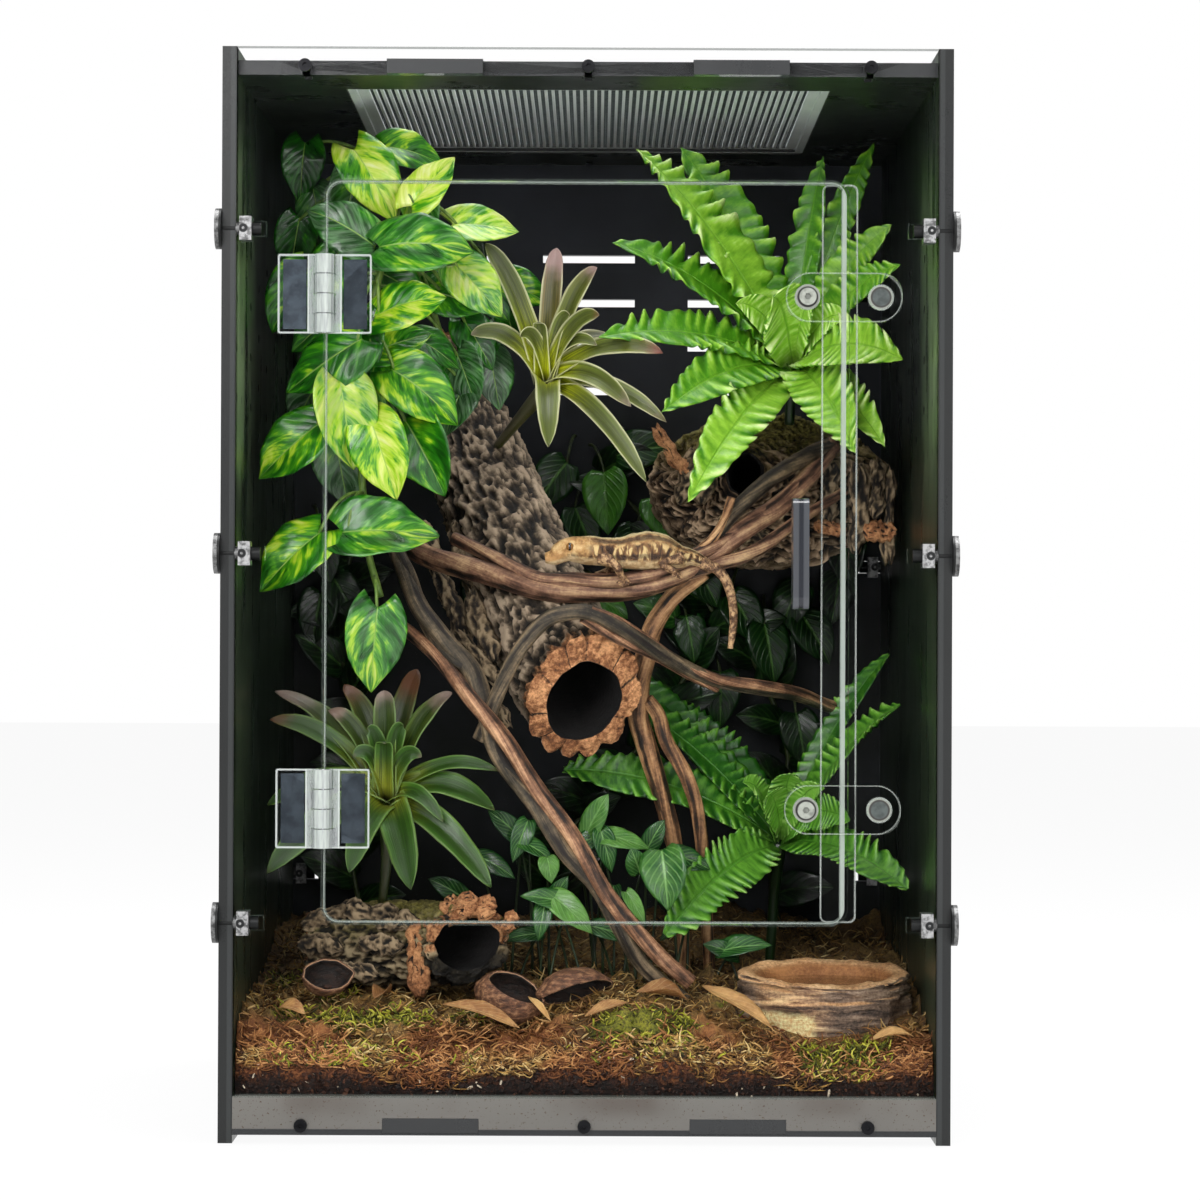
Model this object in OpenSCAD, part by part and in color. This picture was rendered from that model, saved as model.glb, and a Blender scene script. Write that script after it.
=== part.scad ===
// Front-opening reptile terrarium: black sheet cabinet, clear front with a hinged door, planted inside.
// Millimetres, +Z up. X is 0 at the middle, Z is 0 at the table; the box of the whole is centred in Y.

/* [Cabinet] */
// Width over the side panels
cabinet_w = 305; // [285:5:360]
// Depth of the side panels
cabinet_d = 305; // [290:5:360]
// Height of the side panels
cabinet_h = 457; // [445:2:520]
// Thickness of the black sheets
panel_t = 6; // [5:0.5:8]
// Thickness of the clear front sheet and the door
front_t = 6; // [5:0.5:8]
// Height of the base sheet above the table
base_lift = 4.5; // [3:0.5:12]
// Drop from the side panels' top edge to the roof sheet
roof_drop = 5; // [3:0.5:12]
// Width of the tabs that join the sheets
tab_w = 40; // [24:2:56]
// Distance of the front and back tabs from the middle
tab_x = 64; // [50:2:80]
// Clearance around a tab in its slot
slot_gap = 0.1; // [0.05:0.05:0.4]

/* [Ventilation] */
// Width of the roof vent
vent_w = 208; // [160:4:240]
// Depth of the roof vent
vent_d = 208; // [160:4:224]
// Distance of the roof vent from the front face
vent_setback = 46; // [30:2:60]
// Distance between the grille bars' centres
bar_pitch = 3.1; // [2.6:0.1:6]
// Width of one grille bar
bar_w = 1.3; // [0.8:0.1:2]
// Thickness of the grille sheet
grille_t = 1.5; // [1:0.25:3]
// Width of the grille's plain border
grille_border = 5; // [3:0.5:10]
// Flange of the vent frame on the roof sheet
flange_w = 7; // [5:0.5:12]
// Thickness of the vent frame's metal
frame_metal_t = 1.5; // [1:0.25:2.5]
// Diameter of the air holes in the side panels
air_hole_d = 4; // [2:0.5:8]
// Distance between columns of air holes
air_col_pitch = 38; // [26:2:44]
// Distance between rows of air holes
air_row_pitch = 22; // [14:1:26]
// Drop from the side panels' top edge to the first row of air holes
air_top_drop = 81; // [60:1:100]
// Width of the slots in the back panel
back_slot_w = 46; // [30:1:56]
// Height of the slots in the back panel
back_slot_h = 4; // [2:0.5:8]
// Distance between columns of back slots
back_slot_pitch = 72.5; // [62:0.5:80]
// Drop from the back panel's top edge to the first row of slots
back_slot_drop = 58; // [40:1:70]

/* [Door] */
// Width of the door opening
opening_w = 219; // [190:1:230]
// Height of the door opening
opening_h = 310; // [280:2:330]
// Height of the opening's lower edge above the table
opening_sill = 91.5; // [80:0.5:100]
// Corner radius of the opening
opening_r = 7; // [3:0.5:14]
// Saw gap beside the hinges, above and below the door
door_gap = 0.5; // [0.4:0.1:2]
// Gap on the latch side of the door
latch_gap = 1.5; // [1:0.1:3]
// Width of the strip that the door closes on
stop_w = 15; // [10:0.5:20]
// Thickness of the strip that the door closes on
stop_t = 3; // [2:0.5:6]
// How far the stop strip lies on the fixed sheet
stop_lap = 3.7; // [2:0.1:6]
// Thickness of the adhesive behind the stop strip
tape_t = 0.3; // [0.2:0.1:0.6]
// Width of the door pull
pull_w = 6.6; // [4:0.2:12]
// Height of the door pull
pull_h = 46; // [30:1:70]
// How far the door pull stands out
pull_out = 15; // [10:1:24]
// Distance of the pull from the door's latch edge
pull_inset = 16; // [10:1:30]
// Height of the pull's middle above the table
pull_z = 246; // [220:1:270]

/* [Hinges] */
// Width of an open hinge over both leaves
hinge_w = 39; // [34:1:50]
// Height of a hinge
hinge_h = 33; // [26:1:50]
// Outer diameter of the hinge barrel
barrel_d = 8; // [7:0.25:10]
// Diameter of the hinge pin
pin_d = 3; // [2:0.25:4]
// Thickness of a hinge leaf
leaf_t = 2.5; // [2:0.25:3]
// Thickness of the pad behind a hinge leaf
pad_t = 1; // [0.5:0.25:1.5]
// Width of the pad behind a hinge leaf
pad_w = 9.8; // [6:0.2:11]
// Clear border between the pad and the leaf's edge
pad_border = 2; // [1:0.25:4]
// Height of the upper hinge's middle above the table
upper_hinge_z = 353.5; // [330:1:365]
// Height of the lower hinge's middle above the table
lower_hinge_z = 139.5; // [125:1:160]
// Radial clearance of the pin in the door's knuckles
pin_gap = 0.05; // [0.03:0.01:0.1]

/* [Latches] */
// Length of a latch tab
latch_l = 48.4; // [44:0.2:56]
// Height of a latch tab
latch_h = 20.4; // [17:0.2:26]
// Thickness of a latch tab
latch_t = 3; // [2.5:0.25:5]
// Diameter of a latch magnet
magnet_d = 9.6; // [6:0.2:12]
// Thickness of a magnet in the fixed sheet
keeper_t = 3; // [1.5:0.25:4]
// Distance between a latch's pivot and its magnet
latch_reach = 30.6; // [27:0.2:33]
// Distance of the pivot from the door's latch edge
pivot_inset = 16.4; // [14:0.2:20]
// Height of the upper latch's middle above the table
upper_latch_z = 353; // [330:1:365]
// Height of the lower latch's middle above the table
lower_latch_z = 139.7; // [125:1:160]
// Diameter of the pivot screw
pivot_d = 4; // [3:0.25:5]
// Diameter of the pivot screw's head
pivot_head_d = 7.4; // [6:0.2:9]
// Diameter of the washer under the pivot screw's head
pivot_washer_d = 10.4; // [9:0.2:13]

/* [Fasteners] */
// Diameter of the side connector bolts
bolt_d = 5.8; // [4:0.2:6]
// Diameter of the side connector bolts' heads
bolt_head_d = 17; // [12:0.5:20]
// Height of the side connector bolts' heads
bolt_head_h = 2.7; // [2:0.1:4]
// Side of the square nuts on the connector bolts
side_nut_w = 10; // [8:0.5:13]
// Thickness of the square nuts on the connector bolts
side_nut_t = 5; // [3:0.25:6]
// Distance of the square nuts from the side panels
side_nut_inset = 1.5; // [1:0.25:6]
// Height of the lowest bolts above the table
bolt_low_z = 91.5; // [60:0.5:100]
// Height of the middle bolts above the table
bolt_mid_z = 245.5; // [200:0.5:280]
// Drop from the side panels' top edge to the top bolts
bolt_top_drop = 76; // [60:1:90]
// Diameter of the sheet screws
screw_d = 2.9; // [2:0.1:4]
// Diameter of the sheet screws' heads
screw_head_d = 5.5; // [5:0.1:8]
// Height of the sheet screws' heads
screw_head_h = 2; // [1:0.1:3]
// Side of the sheet screws' square nuts
sheet_nut_w = 5.4; // [4.8:0.1:5.8]
// Distance of the outer sheet screws from the middle
screw_x = 118; // [105:1:130]

/* [Planting] */
// Depth of the soil at the front
soil_h = 33; // [24:1:50]
// Rise of the soil from front to back
soil_rise = 24; // [10:1:40]
// Thickness of the moss on the soil
moss_t = 7; // [4:0.5:12]
// Outer diameter of the large cork tube
tube_d = 51; // [44:1:58]
// Wall of the cork tubes
cork_wall = 8; // [5:0.5:10]
// Thickness of the main branch's strands
branch_d = 11; // [8:0.5:14]
// Thickness of the thin branches
twig_d = 8; // [5:0.5:10]
// Thickness of a leaf at its midrib
leaf_rib_t = 1.6; // [1:0.1:2.5]
// Width of the low cork hide
low_hide_w = 48; // [40:1:54]
// Height of the low cork hide
low_hide_h = 40; // [34:1:46]
// Width of the cork ledge on the right
ledge_w = 108; // [90:1:112]
// Height of the cork ledge on the right
ledge_h = 72; // [60:1:84]
// Wall of the cork ledge on the right
ledge_wall = 23; // [18:1:26]
// Thickness of the climbing vine's stem
vine_d = 3.2; // [2.4:0.2:4.5]
// Length of a usual leaf of the climbing vine
pothos_leaf_l = 38; // [32:1:42]
// Width of the bromeliads' strap leaves
strap_w = 15; // [11:1:18]
// Width of the ferns' fronds
frond_w = 20; // [14:1:24]
// Thickness of the plants' crowns
crown_d = 9; // [7:0.5:11]
// Length of the leaves of the small ground plants
small_leaf_l = 19; // [14:1:22]
// Length of the leaves of the creepers at the back
creeper_leaf_l = 26; // [20:1:28]
// Height of the soil's surface over its front depth, where the plants' points are taken
soil_slump = 6.5; // [4:0.5:9]
// Length of the water dish
dish_l = 78; // [66:1:84]
// Height of the water dish
dish_h = 26; // [22:1:32]
// Diameter of the water basin
basin_d = 44; // [34:1:48]
// Depth of the water basin
basin_depth = 15; // [8:1:20]
// Length of the gecko from snout to hip
gecko_l = 74; // [66:1:80]

/* [Hidden] */
$fn = 48;
eps = 0.01;

// Places worked out from the cabinet
inner_w = cabinet_w - 2 * panel_t;
half_in = inner_w / 2;
back_y = cabinet_d - panel_t;
base_top = base_lift + panel_t;
base_mid = base_lift + panel_t / 2;
roof_z = cabinet_h - roof_drop - panel_t;
roof_mid = roof_z + panel_t / 2;
sheet_foot = base_lift - 1;
back_reach = cabinet_d - panel_t / 2 + bolt_head_d / 2;
y_shift = -(back_reach - pull_out) / 2;
side_tab_y = [cabinet_d * 0.25, cabinet_d * 0.75];
sheet_slot_l = 14;
sheet_nut_t = 2.4;
sheet_nut_inset = 4;
nut_gap = 0.1;
bolt_zs = [bolt_low_z, bolt_mid_z, cabinet_h - bolt_top_drop];
bolt_l = panel_t + side_nut_inset + side_nut_t + 4;
screw_xs = [-screw_x, 0, screw_x];

// Door, hinge and latch places
opening_top = opening_sill + opening_h;
door_left = -opening_w / 2 + door_gap;
door_right = opening_w / 2 - latch_gap;
axis_x = -opening_w / 2 + door_gap / 2;
axis_y = -(barrel_d / 2 + 0.5);
knuckles = 4;
knuckle_gap = 0.3;
knuckle_h = hinge_h / knuckles;
leaf_clear = 0.5;
pin_seat_gap = 0.01;
pivot_x = door_right - pivot_inset;
latch_face_gap = 0.25;
washer_t = 0.8;
pivot_head_h = 2;
pivot_gap = 0.05;
pivot_nut_d = 7.5;
pivot_nut_t = 2.4;
magnet_seat_gap = 0.05;

// ---- Shared shapes ----

module box(from, to) translate(from) cube(to - from);

module rod_x(d, l) rotate([0, 90, 0]) cylinder(d = d, h = l);

module rod_y(d, l) rotate([-90, 0, 0]) cylinder(d = d, h = l);

module rounded_rect(w, h, r) {
    union() {
        translate([r, 0]) square([w - 2 * r, h]);
        translate([0, r]) square([w, h - 2 * r]);
        for (x = [r, w - r], y = [r, h - r]) translate([x, y]) circle(r = r);
    }
}

// An upright sheet with rounded corners, its outer face at y = 0
module upright_plate(x, z, w, h, r, t) {
    translate([x, t, z]) rotate([90, 0, 0]) linear_extrude(t) rounded_rect(w, h, r);
}

// ---- Cabinet ----

// Slot through a sheet for a screw and its square nut, opening toward -Y at the origin
module sheet_t_slot(t) {
    w = screw_d + 0.3;
    box([-w / 2, -eps, -eps], [w / 2, sheet_slot_l, t + eps]);
    nut_w = sheet_nut_w + 2 * nut_gap;
    box([-nut_w / 2, sheet_nut_inset - nut_gap, -eps],
        [nut_w / 2, sheet_nut_inset + sheet_nut_t + nut_gap, t + eps]);
}

// One horizontal sheet with its tabs and screw slots, bottom face at z = 0
module horizontal_sheet() {
    difference() {
        union() {
            box([-half_in, front_t, 0], [half_in, back_y, panel_t]);
            for (s = [-1, 1]) {
                box([s * tab_x - tab_w / 2, 0, 0], [s * tab_x + tab_w / 2, cabinet_d, panel_t]);
                for (y = side_tab_y)
                    box([min(s * half_in, s * cabinet_w / 2), y - tab_w / 2, 0],
                        [max(s * half_in, s * cabinet_w / 2), y + tab_w / 2, panel_t]);
            }
        }
        for (x = screw_xs) {
            translate([x, front_t, 0]) sheet_t_slot(panel_t);
            translate([x, back_y, 0]) mirror([0, 1, 0]) sheet_t_slot(panel_t);
        }
    }
}

module base_panel() {
    color([0.14, 0.14, 0.15]) translate([0, 0, base_lift]) horizontal_sheet();
}

module roof_panel() {
    color([0.14, 0.14, 0.15]) difference() {
        translate([0, 0, roof_z]) horizontal_sheet();
        box([-vent_w / 2, vent_setback, roof_z - 1],
            [vent_w / 2, vent_setback + vent_d, roof_z + panel_t + 1]);
    }
}

// Slots in an upright sheet for the tabs of the base and the roof
module tab_slots(centres, from_y, to_y) {
    for (c = centres, z = [base_lift, roof_z])
        box([c - tab_w / 2 - slot_gap, from_y, z - slot_gap],
            [c + tab_w / 2 + slot_gap, to_y, z + panel_t + slot_gap]);
}

// Right side panel, outer face at x = cabinet_w / 2
module side_panel() {
    difference() {
        box([half_in, 0, 0], [cabinet_w / 2, cabinet_d, cabinet_h]);
        for (y = side_tab_y, z = [base_lift, roof_z])
            box([half_in - 1, y - tab_w / 2 - slot_gap, z - slot_gap],
                [cabinet_w / 2 + 1, y + tab_w / 2 + slot_gap, z + panel_t + slot_gap]);
        for (z = bolt_zs, y = [front_t / 2, cabinet_d - panel_t / 2])
            translate([half_in - 1, y, z]) rod_x(bolt_d + 0.4, panel_t + 2);
        air_holes();
    }
}

// Staggered air holes: every other column is half a pitch lower
module air_holes() {
    columns = 5;
    rows = 4;
    first_y = cabinet_d / 2 - air_col_pitch * (columns - 1) / 2 - 11;
    for (c = [0:columns - 1], r = [0:rows - 1])
        translate([half_in - 1, first_y + c * air_col_pitch,
                   cabinet_h - air_top_drop - (r + (c % 2) / 2) * air_row_pitch])
            rod_x(air_hole_d, panel_t + 2);
}

module left_side_panel() {
    color([0.30, 0.30, 0.31]) mirror([1, 0, 0]) side_panel();
}

module right_side_panel() {
    color([0.30, 0.30, 0.31]) side_panel();
}

// Slot at a side edge for a connector bolt and its square nut, seen from the right edge
module side_t_slot(t) {
    h = bolt_d + 0.3;
    reach = side_nut_inset + side_nut_t + 6;
    box([half_in - reach, -1, -h / 2], [half_in + 1, t + 1, h / 2]);
    nut_h = side_nut_w + 2 * nut_gap;
    box([half_in - side_nut_inset - side_nut_t - nut_gap, -1, -nut_h / 2],
        [half_in - side_nut_inset + nut_gap, t + 1, nut_h / 2]);
}

// Everything the front and back sheets share, outer face at y = 0
module upright_cuts(t) {
    for (s = [-1, 1], z = [base_lift, roof_z])
        box([s * tab_x - tab_w / 2 - slot_gap, -1, z - slot_gap],
            [s * tab_x + tab_w / 2 + slot_gap, t + 1, z + panel_t + slot_gap]);
    for (x = screw_xs, z = [base_mid, roof_mid]) translate([x, -1, z]) rod_y(screw_d + 0.3, t + 2);
    for (z = bolt_zs) translate([0, 0, z]) {
        side_t_slot(t);
        mirror([1, 0, 0]) side_t_slot(t);
    }
}

module back_panel() {
    columns = 3;
    rows = 4;
    color([0.10, 0.10, 0.12]) difference() {
        box([-half_in, back_y, sheet_foot], [half_in, cabinet_d, cabinet_h]);
        translate([0, cabinet_d, 0]) mirror([0, 1, 0]) upright_cuts(panel_t);
        for (c = [0:columns - 1], r = [0:rows - 1])
            translate([(c - 1) * back_slot_pitch, back_y - 1,
                       cabinet_h - back_slot_drop - r * air_row_pitch])
                box([-back_slot_w / 2, 0, -back_slot_h / 2], [back_slot_w / 2, panel_t + 2, back_slot_h / 2]);
    }
}

module front_panel() {
    color([0.78, 0.84, 0.86, 0.35]) difference() {
        box([-half_in, 0, sheet_foot], [half_in, front_t, cabinet_h]);
        translate([0, -1, 0])
            upright_plate(-opening_w / 2, opening_sill, opening_w, opening_h, opening_r, front_t + 2);
        upright_cuts(front_t);
        for (z = [upper_latch_z, lower_latch_z])
            translate([pivot_x + latch_reach, -eps, z])
                rod_y(magnet_d + 2 * magnet_seat_gap, keeper_t + magnet_seat_gap);
    }
}

// ---- Roof vent ----

// Metal frame: a flange on the roof sheet, a skirt in the opening and a lip under the grille
module vent_frame() {
    gap = 0.2;
    x0 = -vent_w / 2 + gap;
    y0 = vent_setback + gap;
    x1 = vent_w / 2 - gap;
    y1 = vent_setback + vent_d - gap;
    m = frame_metal_t;
    top = roof_z + panel_t;
    lip = 3.5;
    color([0.35, 0.36, 0.38]) difference() {
        union() {
            box([x0 - flange_w, y0 - flange_w, top], [x1 + flange_w, y1 + flange_w, top + m]);
            box([x0, y0, roof_z + 0.5], [x1, y1, top + eps]);
        }
        box([x0 + m, y0 + m, roof_z + 0.5 + m], [x1 - m, y1 - m, top + m + 1]);
        box([x0 + lip, y0 + lip, roof_z - 1], [x1 - lip, y1 - lip, top]);
    }
}

module roof_vent_grille() {
    gap = 0.2 + frame_metal_t + 0.2;
    w = vent_w - 2 * gap;
    d = vent_d - 2 * gap;
    slots = floor((w - 2 * grille_border) / bar_pitch);
    first = -(slots - 1) * bar_pitch / 2;
    color([0.45, 0.46, 0.48])
        translate([0, vent_setback + gap, roof_z + 0.5 + frame_metal_t])
            linear_extrude(grille_t) difference() {
                translate([-w / 2, 0]) square([w, d]);
                for (i = [0:slots - 1])
                    translate([first + i * bar_pitch - (bar_pitch - bar_w) / 2, grille_border])
                        square([bar_pitch - bar_w, d - 2 * grille_border]);
            }
}

// ---- Door ----

module door_panel() {
    r = opening_r - door_gap;
    color([0.80, 0.86, 0.88, 0.35]) difference() {
        upright_plate(door_left, opening_sill + door_gap, door_right - door_left,
                      opening_h - 2 * door_gap, r, front_t);
        for (z = [upper_latch_z, lower_latch_z])
            translate([pivot_x, -1, z]) rod_y(pivot_d + 2 * pivot_gap, front_t + 2);
    }
}

module door_stop_strip() {
    color([0.80, 0.86, 0.88, 0.5]) translate([0, front_t + tape_t, 0])
        upright_plate(opening_w / 2 + stop_lap - stop_w, opening_sill + door_gap, stop_w,
                      opening_h - 2 * door_gap, 3, stop_t);
}

// Upright tab with its two outer corners rounded
module door_pull() {
    r = 5;
    color([0.35, 0.36, 0.38, 0.8])
        translate([door_right - pull_inset - pull_w, 0, pull_z - pull_h / 2]) difference() {
            union() {
                box([0, -pull_out + r, 0], [pull_w, 0, pull_h]);
                box([0, -pull_out, r], [pull_w, -pull_out + r + eps, pull_h - r]);
                for (z = [r, pull_h - r]) translate([0, -pull_out + r, z]) rod_x(2 * r, pull_w);
            }
        }
}

// ---- Hinges, with the barrel's axis at x = 0, y = 0 and the middle at z = 0 ----

// side is -1 for the fixed leaf and 1 for the door's leaf; they hold every other knuckle
module hinge_leaf(side) {
    plate_y = -axis_y - pad_t - leaf_t;
    outer = side * hinge_w / 2;
    bore = side < 0 ? pin_d + 2 * pin_seat_gap : pin_d + 2 * pin_gap;
    difference() {
        union() {
            box([min(0, outer), plate_y, -hinge_h / 2], [max(0, outer), plate_y + leaf_t, hinge_h / 2]);
            for (k = [0:knuckles - 1]) if (k % 2 == (side < 0 ? 1 : 0))
                translate([0, 0, -hinge_h / 2 + k * knuckle_h + knuckle_gap / 2])
                    cylinder(d = barrel_d, h = knuckle_h - knuckle_gap);
        }
        for (k = [0:knuckles - 1]) if (k % 2 == (side < 0 ? 0 : 1))
            translate([0, 0, -hinge_h / 2 + k * knuckle_h - knuckle_gap / 2])
                cylinder(d = barrel_d + 2 * leaf_clear, h = knuckle_h + knuckle_gap);
        translate([0, 0, -hinge_h]) cylinder(d = bore, h = 2 * hinge_h);
    }
}

module hinge_pin() {
    cylinder(d = pin_d, h = hinge_h, center = true);
}

// Adhesive pad between a leaf and the sheet behind it
module hinge_pad(side) {
    x = hinge_w / 2 - pad_border - pad_w;
    mirror([side < 0 ? 1 : 0, 0, 0])
        box([x, -axis_y - pad_t, -hinge_h / 2 + pad_border], [x + pad_w, -axis_y, hinge_h / 2 - pad_border]);
}

module at_hinge(z) translate([axis_x, axis_y, z]) children();

module upper_hinge_frame_leaf() { color([0.86, 0.90, 0.92, 0.6]) at_hinge(upper_hinge_z) hinge_leaf(-1); }
module upper_hinge_door_leaf() { color([0.86, 0.90, 0.92, 0.6]) at_hinge(upper_hinge_z) hinge_leaf(1); }
module upper_hinge_pin() { color([0.90, 0.92, 0.94]) at_hinge(upper_hinge_z) hinge_pin(); }
module upper_hinge_frame_pad() { color([0.30, 0.32, 0.40]) at_hinge(upper_hinge_z) hinge_pad(-1); }
module upper_hinge_door_pad() { color([0.30, 0.32, 0.40]) at_hinge(upper_hinge_z) hinge_pad(1); }
module lower_hinge_frame_leaf() { color([0.86, 0.90, 0.92, 0.6]) at_hinge(lower_hinge_z) hinge_leaf(-1); }
module lower_hinge_door_leaf() { color([0.86, 0.90, 0.92, 0.6]) at_hinge(lower_hinge_z) hinge_leaf(1); }
module lower_hinge_pin() { color([0.90, 0.92, 0.94]) at_hinge(lower_hinge_z) hinge_pin(); }
module lower_hinge_frame_pad() { color([0.30, 0.32, 0.40]) at_hinge(lower_hinge_z) hinge_pad(-1); }
module lower_hinge_door_pad() { color([0.30, 0.32, 0.40]) at_hinge(lower_hinge_z) hinge_pad(1); }

// ---- Latches, with the pivot's axis at x = 0, z = 0 and the door's face at y = 0 ----

module latch_tab() {
    over = (latch_l - latch_reach) / 2;
    translate([0, -latch_face_gap - latch_t, 0]) difference() {
        translate([-over, 0, -latch_h / 2])
            upright_plate(0, 0, latch_l, latch_h, min(latch_h / 2 - 0.5, over), latch_t);
        translate([0, -1, 0]) rod_y(pivot_d + 2 * pivot_gap, latch_t + 2);
        translate([latch_reach, -1, 0]) rod_y(magnet_d + 2 * magnet_seat_gap, latch_t + 2);
    }
}

module latch_magnet() {
    translate([latch_reach, -latch_face_gap - latch_t, 0]) rod_y(magnet_d, latch_t);
}

// Screw through the tab and the door, with a washer under its head and a nut inside
module latch_pivot() {
    front = -latch_face_gap - latch_t - 0.1 - washer_t;
    union() {
        translate([0, front - pivot_head_h, 0]) difference() {
            rod_y(pivot_head_d, pivot_head_h);
            translate([0, -eps, 0]) rotate([-90, 0, 0]) cylinder(d = 2.9, h = 1.2, $fn = 6);
        }
        translate([0, front - eps, 0]) rod_y(pivot_d, front_t + pivot_nut_t - front + eps);
    }
    translate([0, front + 0.02, 0]) difference() {
        rod_y(pivot_washer_d, washer_t - 0.02);
        translate([0, -1, 0]) rod_y(pivot_d + 0.2, washer_t + 2);
    }
    translate([0, front_t + 0.05, 0]) difference() {
        rod_y(pivot_nut_d, pivot_nut_t - 0.05);
        translate([0, -1, 0]) rod_y(pivot_d + 0.06, pivot_nut_t + 2);
    }
}

module keeper_magnet() {
    translate([latch_reach, 0, 0]) rod_y(magnet_d, keeper_t);
}

module at_latch(z) translate([pivot_x, 0, z]) children();

module upper_latch_tab() { color([0.84, 0.90, 0.92, 0.5]) at_latch(upper_latch_z) latch_tab(); }
module upper_latch_magnet() { color([0.20, 0.20, 0.22]) at_latch(upper_latch_z) latch_magnet(); }
module upper_latch_pivot() { color([0.75, 0.75, 0.76]) at_latch(upper_latch_z) latch_pivot(); }
module upper_keeper_magnet() { color([0.20, 0.20, 0.22]) at_latch(upper_latch_z) keeper_magnet(); }
module lower_latch_tab() { color([0.84, 0.90, 0.92, 0.5]) at_latch(lower_latch_z) latch_tab(); }
module lower_latch_magnet() { color([0.20, 0.20, 0.22]) at_latch(lower_latch_z) latch_magnet(); }
module lower_latch_pivot() { color([0.75, 0.75, 0.76]) at_latch(lower_latch_z) latch_pivot(); }
module lower_keeper_magnet() { color([0.20, 0.20, 0.22]) at_latch(lower_latch_z) keeper_magnet(); }

// ---- Fasteners ----

// Connector bolts, three on each upright edge of the side panels
module side_connector_bolts() {
    color([0.72, 0.72, 0.73]) for (s = [0, 1], y = [front_t / 2, cabinet_d - panel_t / 2], z = bolt_zs)
        mirror([s, 0, 0]) translate([cabinet_w / 2, y, z]) difference() {
            union() {
                rod_x(bolt_head_d, bolt_head_h);
                translate([-bolt_l, 0, 0]) rod_x(bolt_d, bolt_l + eps);
            }
            translate([bolt_head_h - 1.5, 0, 0]) rotate([0, 90, 0]) cylinder(d = 4.6, h = 2, $fn = 6);
        }
}

module side_square_nuts() {
    color([0.80, 0.80, 0.80]) for (s = [0, 1], y = [front_t / 2, cabinet_d - panel_t / 2], z = bolt_zs)
        mirror([s, 0, 0]) translate([half_in - side_nut_inset - side_nut_t, y, z]) difference() {
            box([0, -side_nut_w / 2, -side_nut_w / 2], [side_nut_t, side_nut_w / 2, side_nut_w / 2]);
            translate([-1, 0, 0]) rod_x(bolt_d + 0.1, side_nut_t + 2);
        }
}

// One sheet screw along +Y, its head standing on y = 0
module sheet_screw(t) {
    difference() {
        union() {
            translate([0, -screw_head_h, 0]) rod_y(screw_head_d, screw_head_h);
            translate([0, -eps, 0]) rod_y(screw_d, t + sheet_nut_inset + sheet_nut_t + 2);
        }
        translate([0, -screw_head_h - eps, 0]) rotate([-90, 0, 0]) cylinder(d = 2.3, h = 1, $fn = 6);
    }
}

module front_sheet_screws() {
    color([0.10, 0.10, 0.10])
        for (x = screw_xs, z = [base_mid, roof_mid]) translate([x, 0, z]) sheet_screw(front_t);
}

module back_sheet_screws() {
    color([0.10, 0.10, 0.10]) for (x = screw_xs, z = [base_mid, roof_mid])
        translate([x, cabinet_d, z]) mirror([0, 1, 0]) sheet_screw(panel_t);
}

module sheet_square_nuts() {
    color([0.60, 0.60, 0.60]) for (x = screw_xs, z = [base_mid, roof_mid], end = [0, 1])
        translate([x, end == 0 ? front_t : back_y, z]) mirror([0, end, 0])
            translate([0, sheet_nut_inset, 0]) difference() {
                box([-sheet_nut_w / 2, 0, -sheet_nut_w / 2], [sheet_nut_w / 2, sheet_nut_t, sheet_nut_w / 2]);
                translate([0, -1, 0]) rod_y(screw_d + 0.1, sheet_nut_t + 2);
            }
}

// ---- Planting: shapes swept along hand-placed points ----

// The points below are for the standard tank; spot() moves them to the tank in use
// The standard tank's half width, front, back, soil and roof
standard_tank = [146.5, 6, 299, 50, 446];
soil_level = base_top + soil_h + soil_slump;
fit_x = half_in / standard_tank[0];
fit_y = (back_y - front_t) / (standard_tank[2] - standard_tank[1]);
fit_z = (roof_z - soil_level) / (standard_tank[4] - standard_tank[3]);
function spot(p) = [p[0] * fit_x, front_t + (p[1] - standard_tank[1]) * fit_y,
                    soil_level + (p[2] - standard_tank[3]) * fit_z];
function spots(list) = [for (p = list) spot(p)];

function unit(v) = v / norm(v);
function curve_at(p, i, t) = let (
    before = p[max(i - 1, 0)], a = p[i], b = p[i + 1], after = p[min(i + 2, len(p) - 1)])
    0.5 * (2 * a + (b - before) * t + (2 * before - 5 * a + 4 * b - after) * t * t
           + (3 * a - before - 3 * b + after) * t * t * t);
// A smooth curve through the points, with the given steps in each span
function smooth(p, steps) = [for (i = [0:len(p) - 2], j = [0:steps - 1]) curve_at(p, i, j / steps), p[len(p) - 1]];
function along(p, i) = unit(p[min(i + 1, len(p) - 1)] - p[max(i - 1, 0)]);
// A bow from a to b that swings out by the bend at its middle
function bow(a, b, bend, steps) = [for (i = [0:steps]) let (t = i / steps) a + (b - a) * t + bend * 4 * t * (1 - t)];

// Ellipse rings across a path; wide and high hold half sizes, and the rings' height points to face
function rings(p, wide, high, sides, face) = [for (i = [0:len(p) - 1]) let (
    t = along(p, i), s = unit(cross(t, face)), u = cross(s, t))
    for (k = [0:sides - 1]) p[i] + s * wide[i] * cos(360 * k / sides) + u * high[i] * sin(360 * k / sides)];
function skin_faces(count, sides, from, flip) = [for (i = [0:count - 2], k = [0:sides - 1], half = [0, 1]) let (
    a = from + i * sides + k, b = from + i * sides + (k + 1) % sides, c = a + sides, d = b + sides,
    tri = half == 0 ? [a, b, c] : [b, d, c]) flip ? [tri[2], tri[1], tri[0]] : tri];

module sweep(p, wide, high, sides, face) {
    count = len(p);
    polyhedron(rings(p, wide, high, sides, face), concat(
        skin_faces(count, sides, 0, false),
        [[for (k = [sides - 1:-1:0]) k]],
        [[for (k = [0:sides - 1]) (count - 1) * sides + k]]));
}

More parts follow.
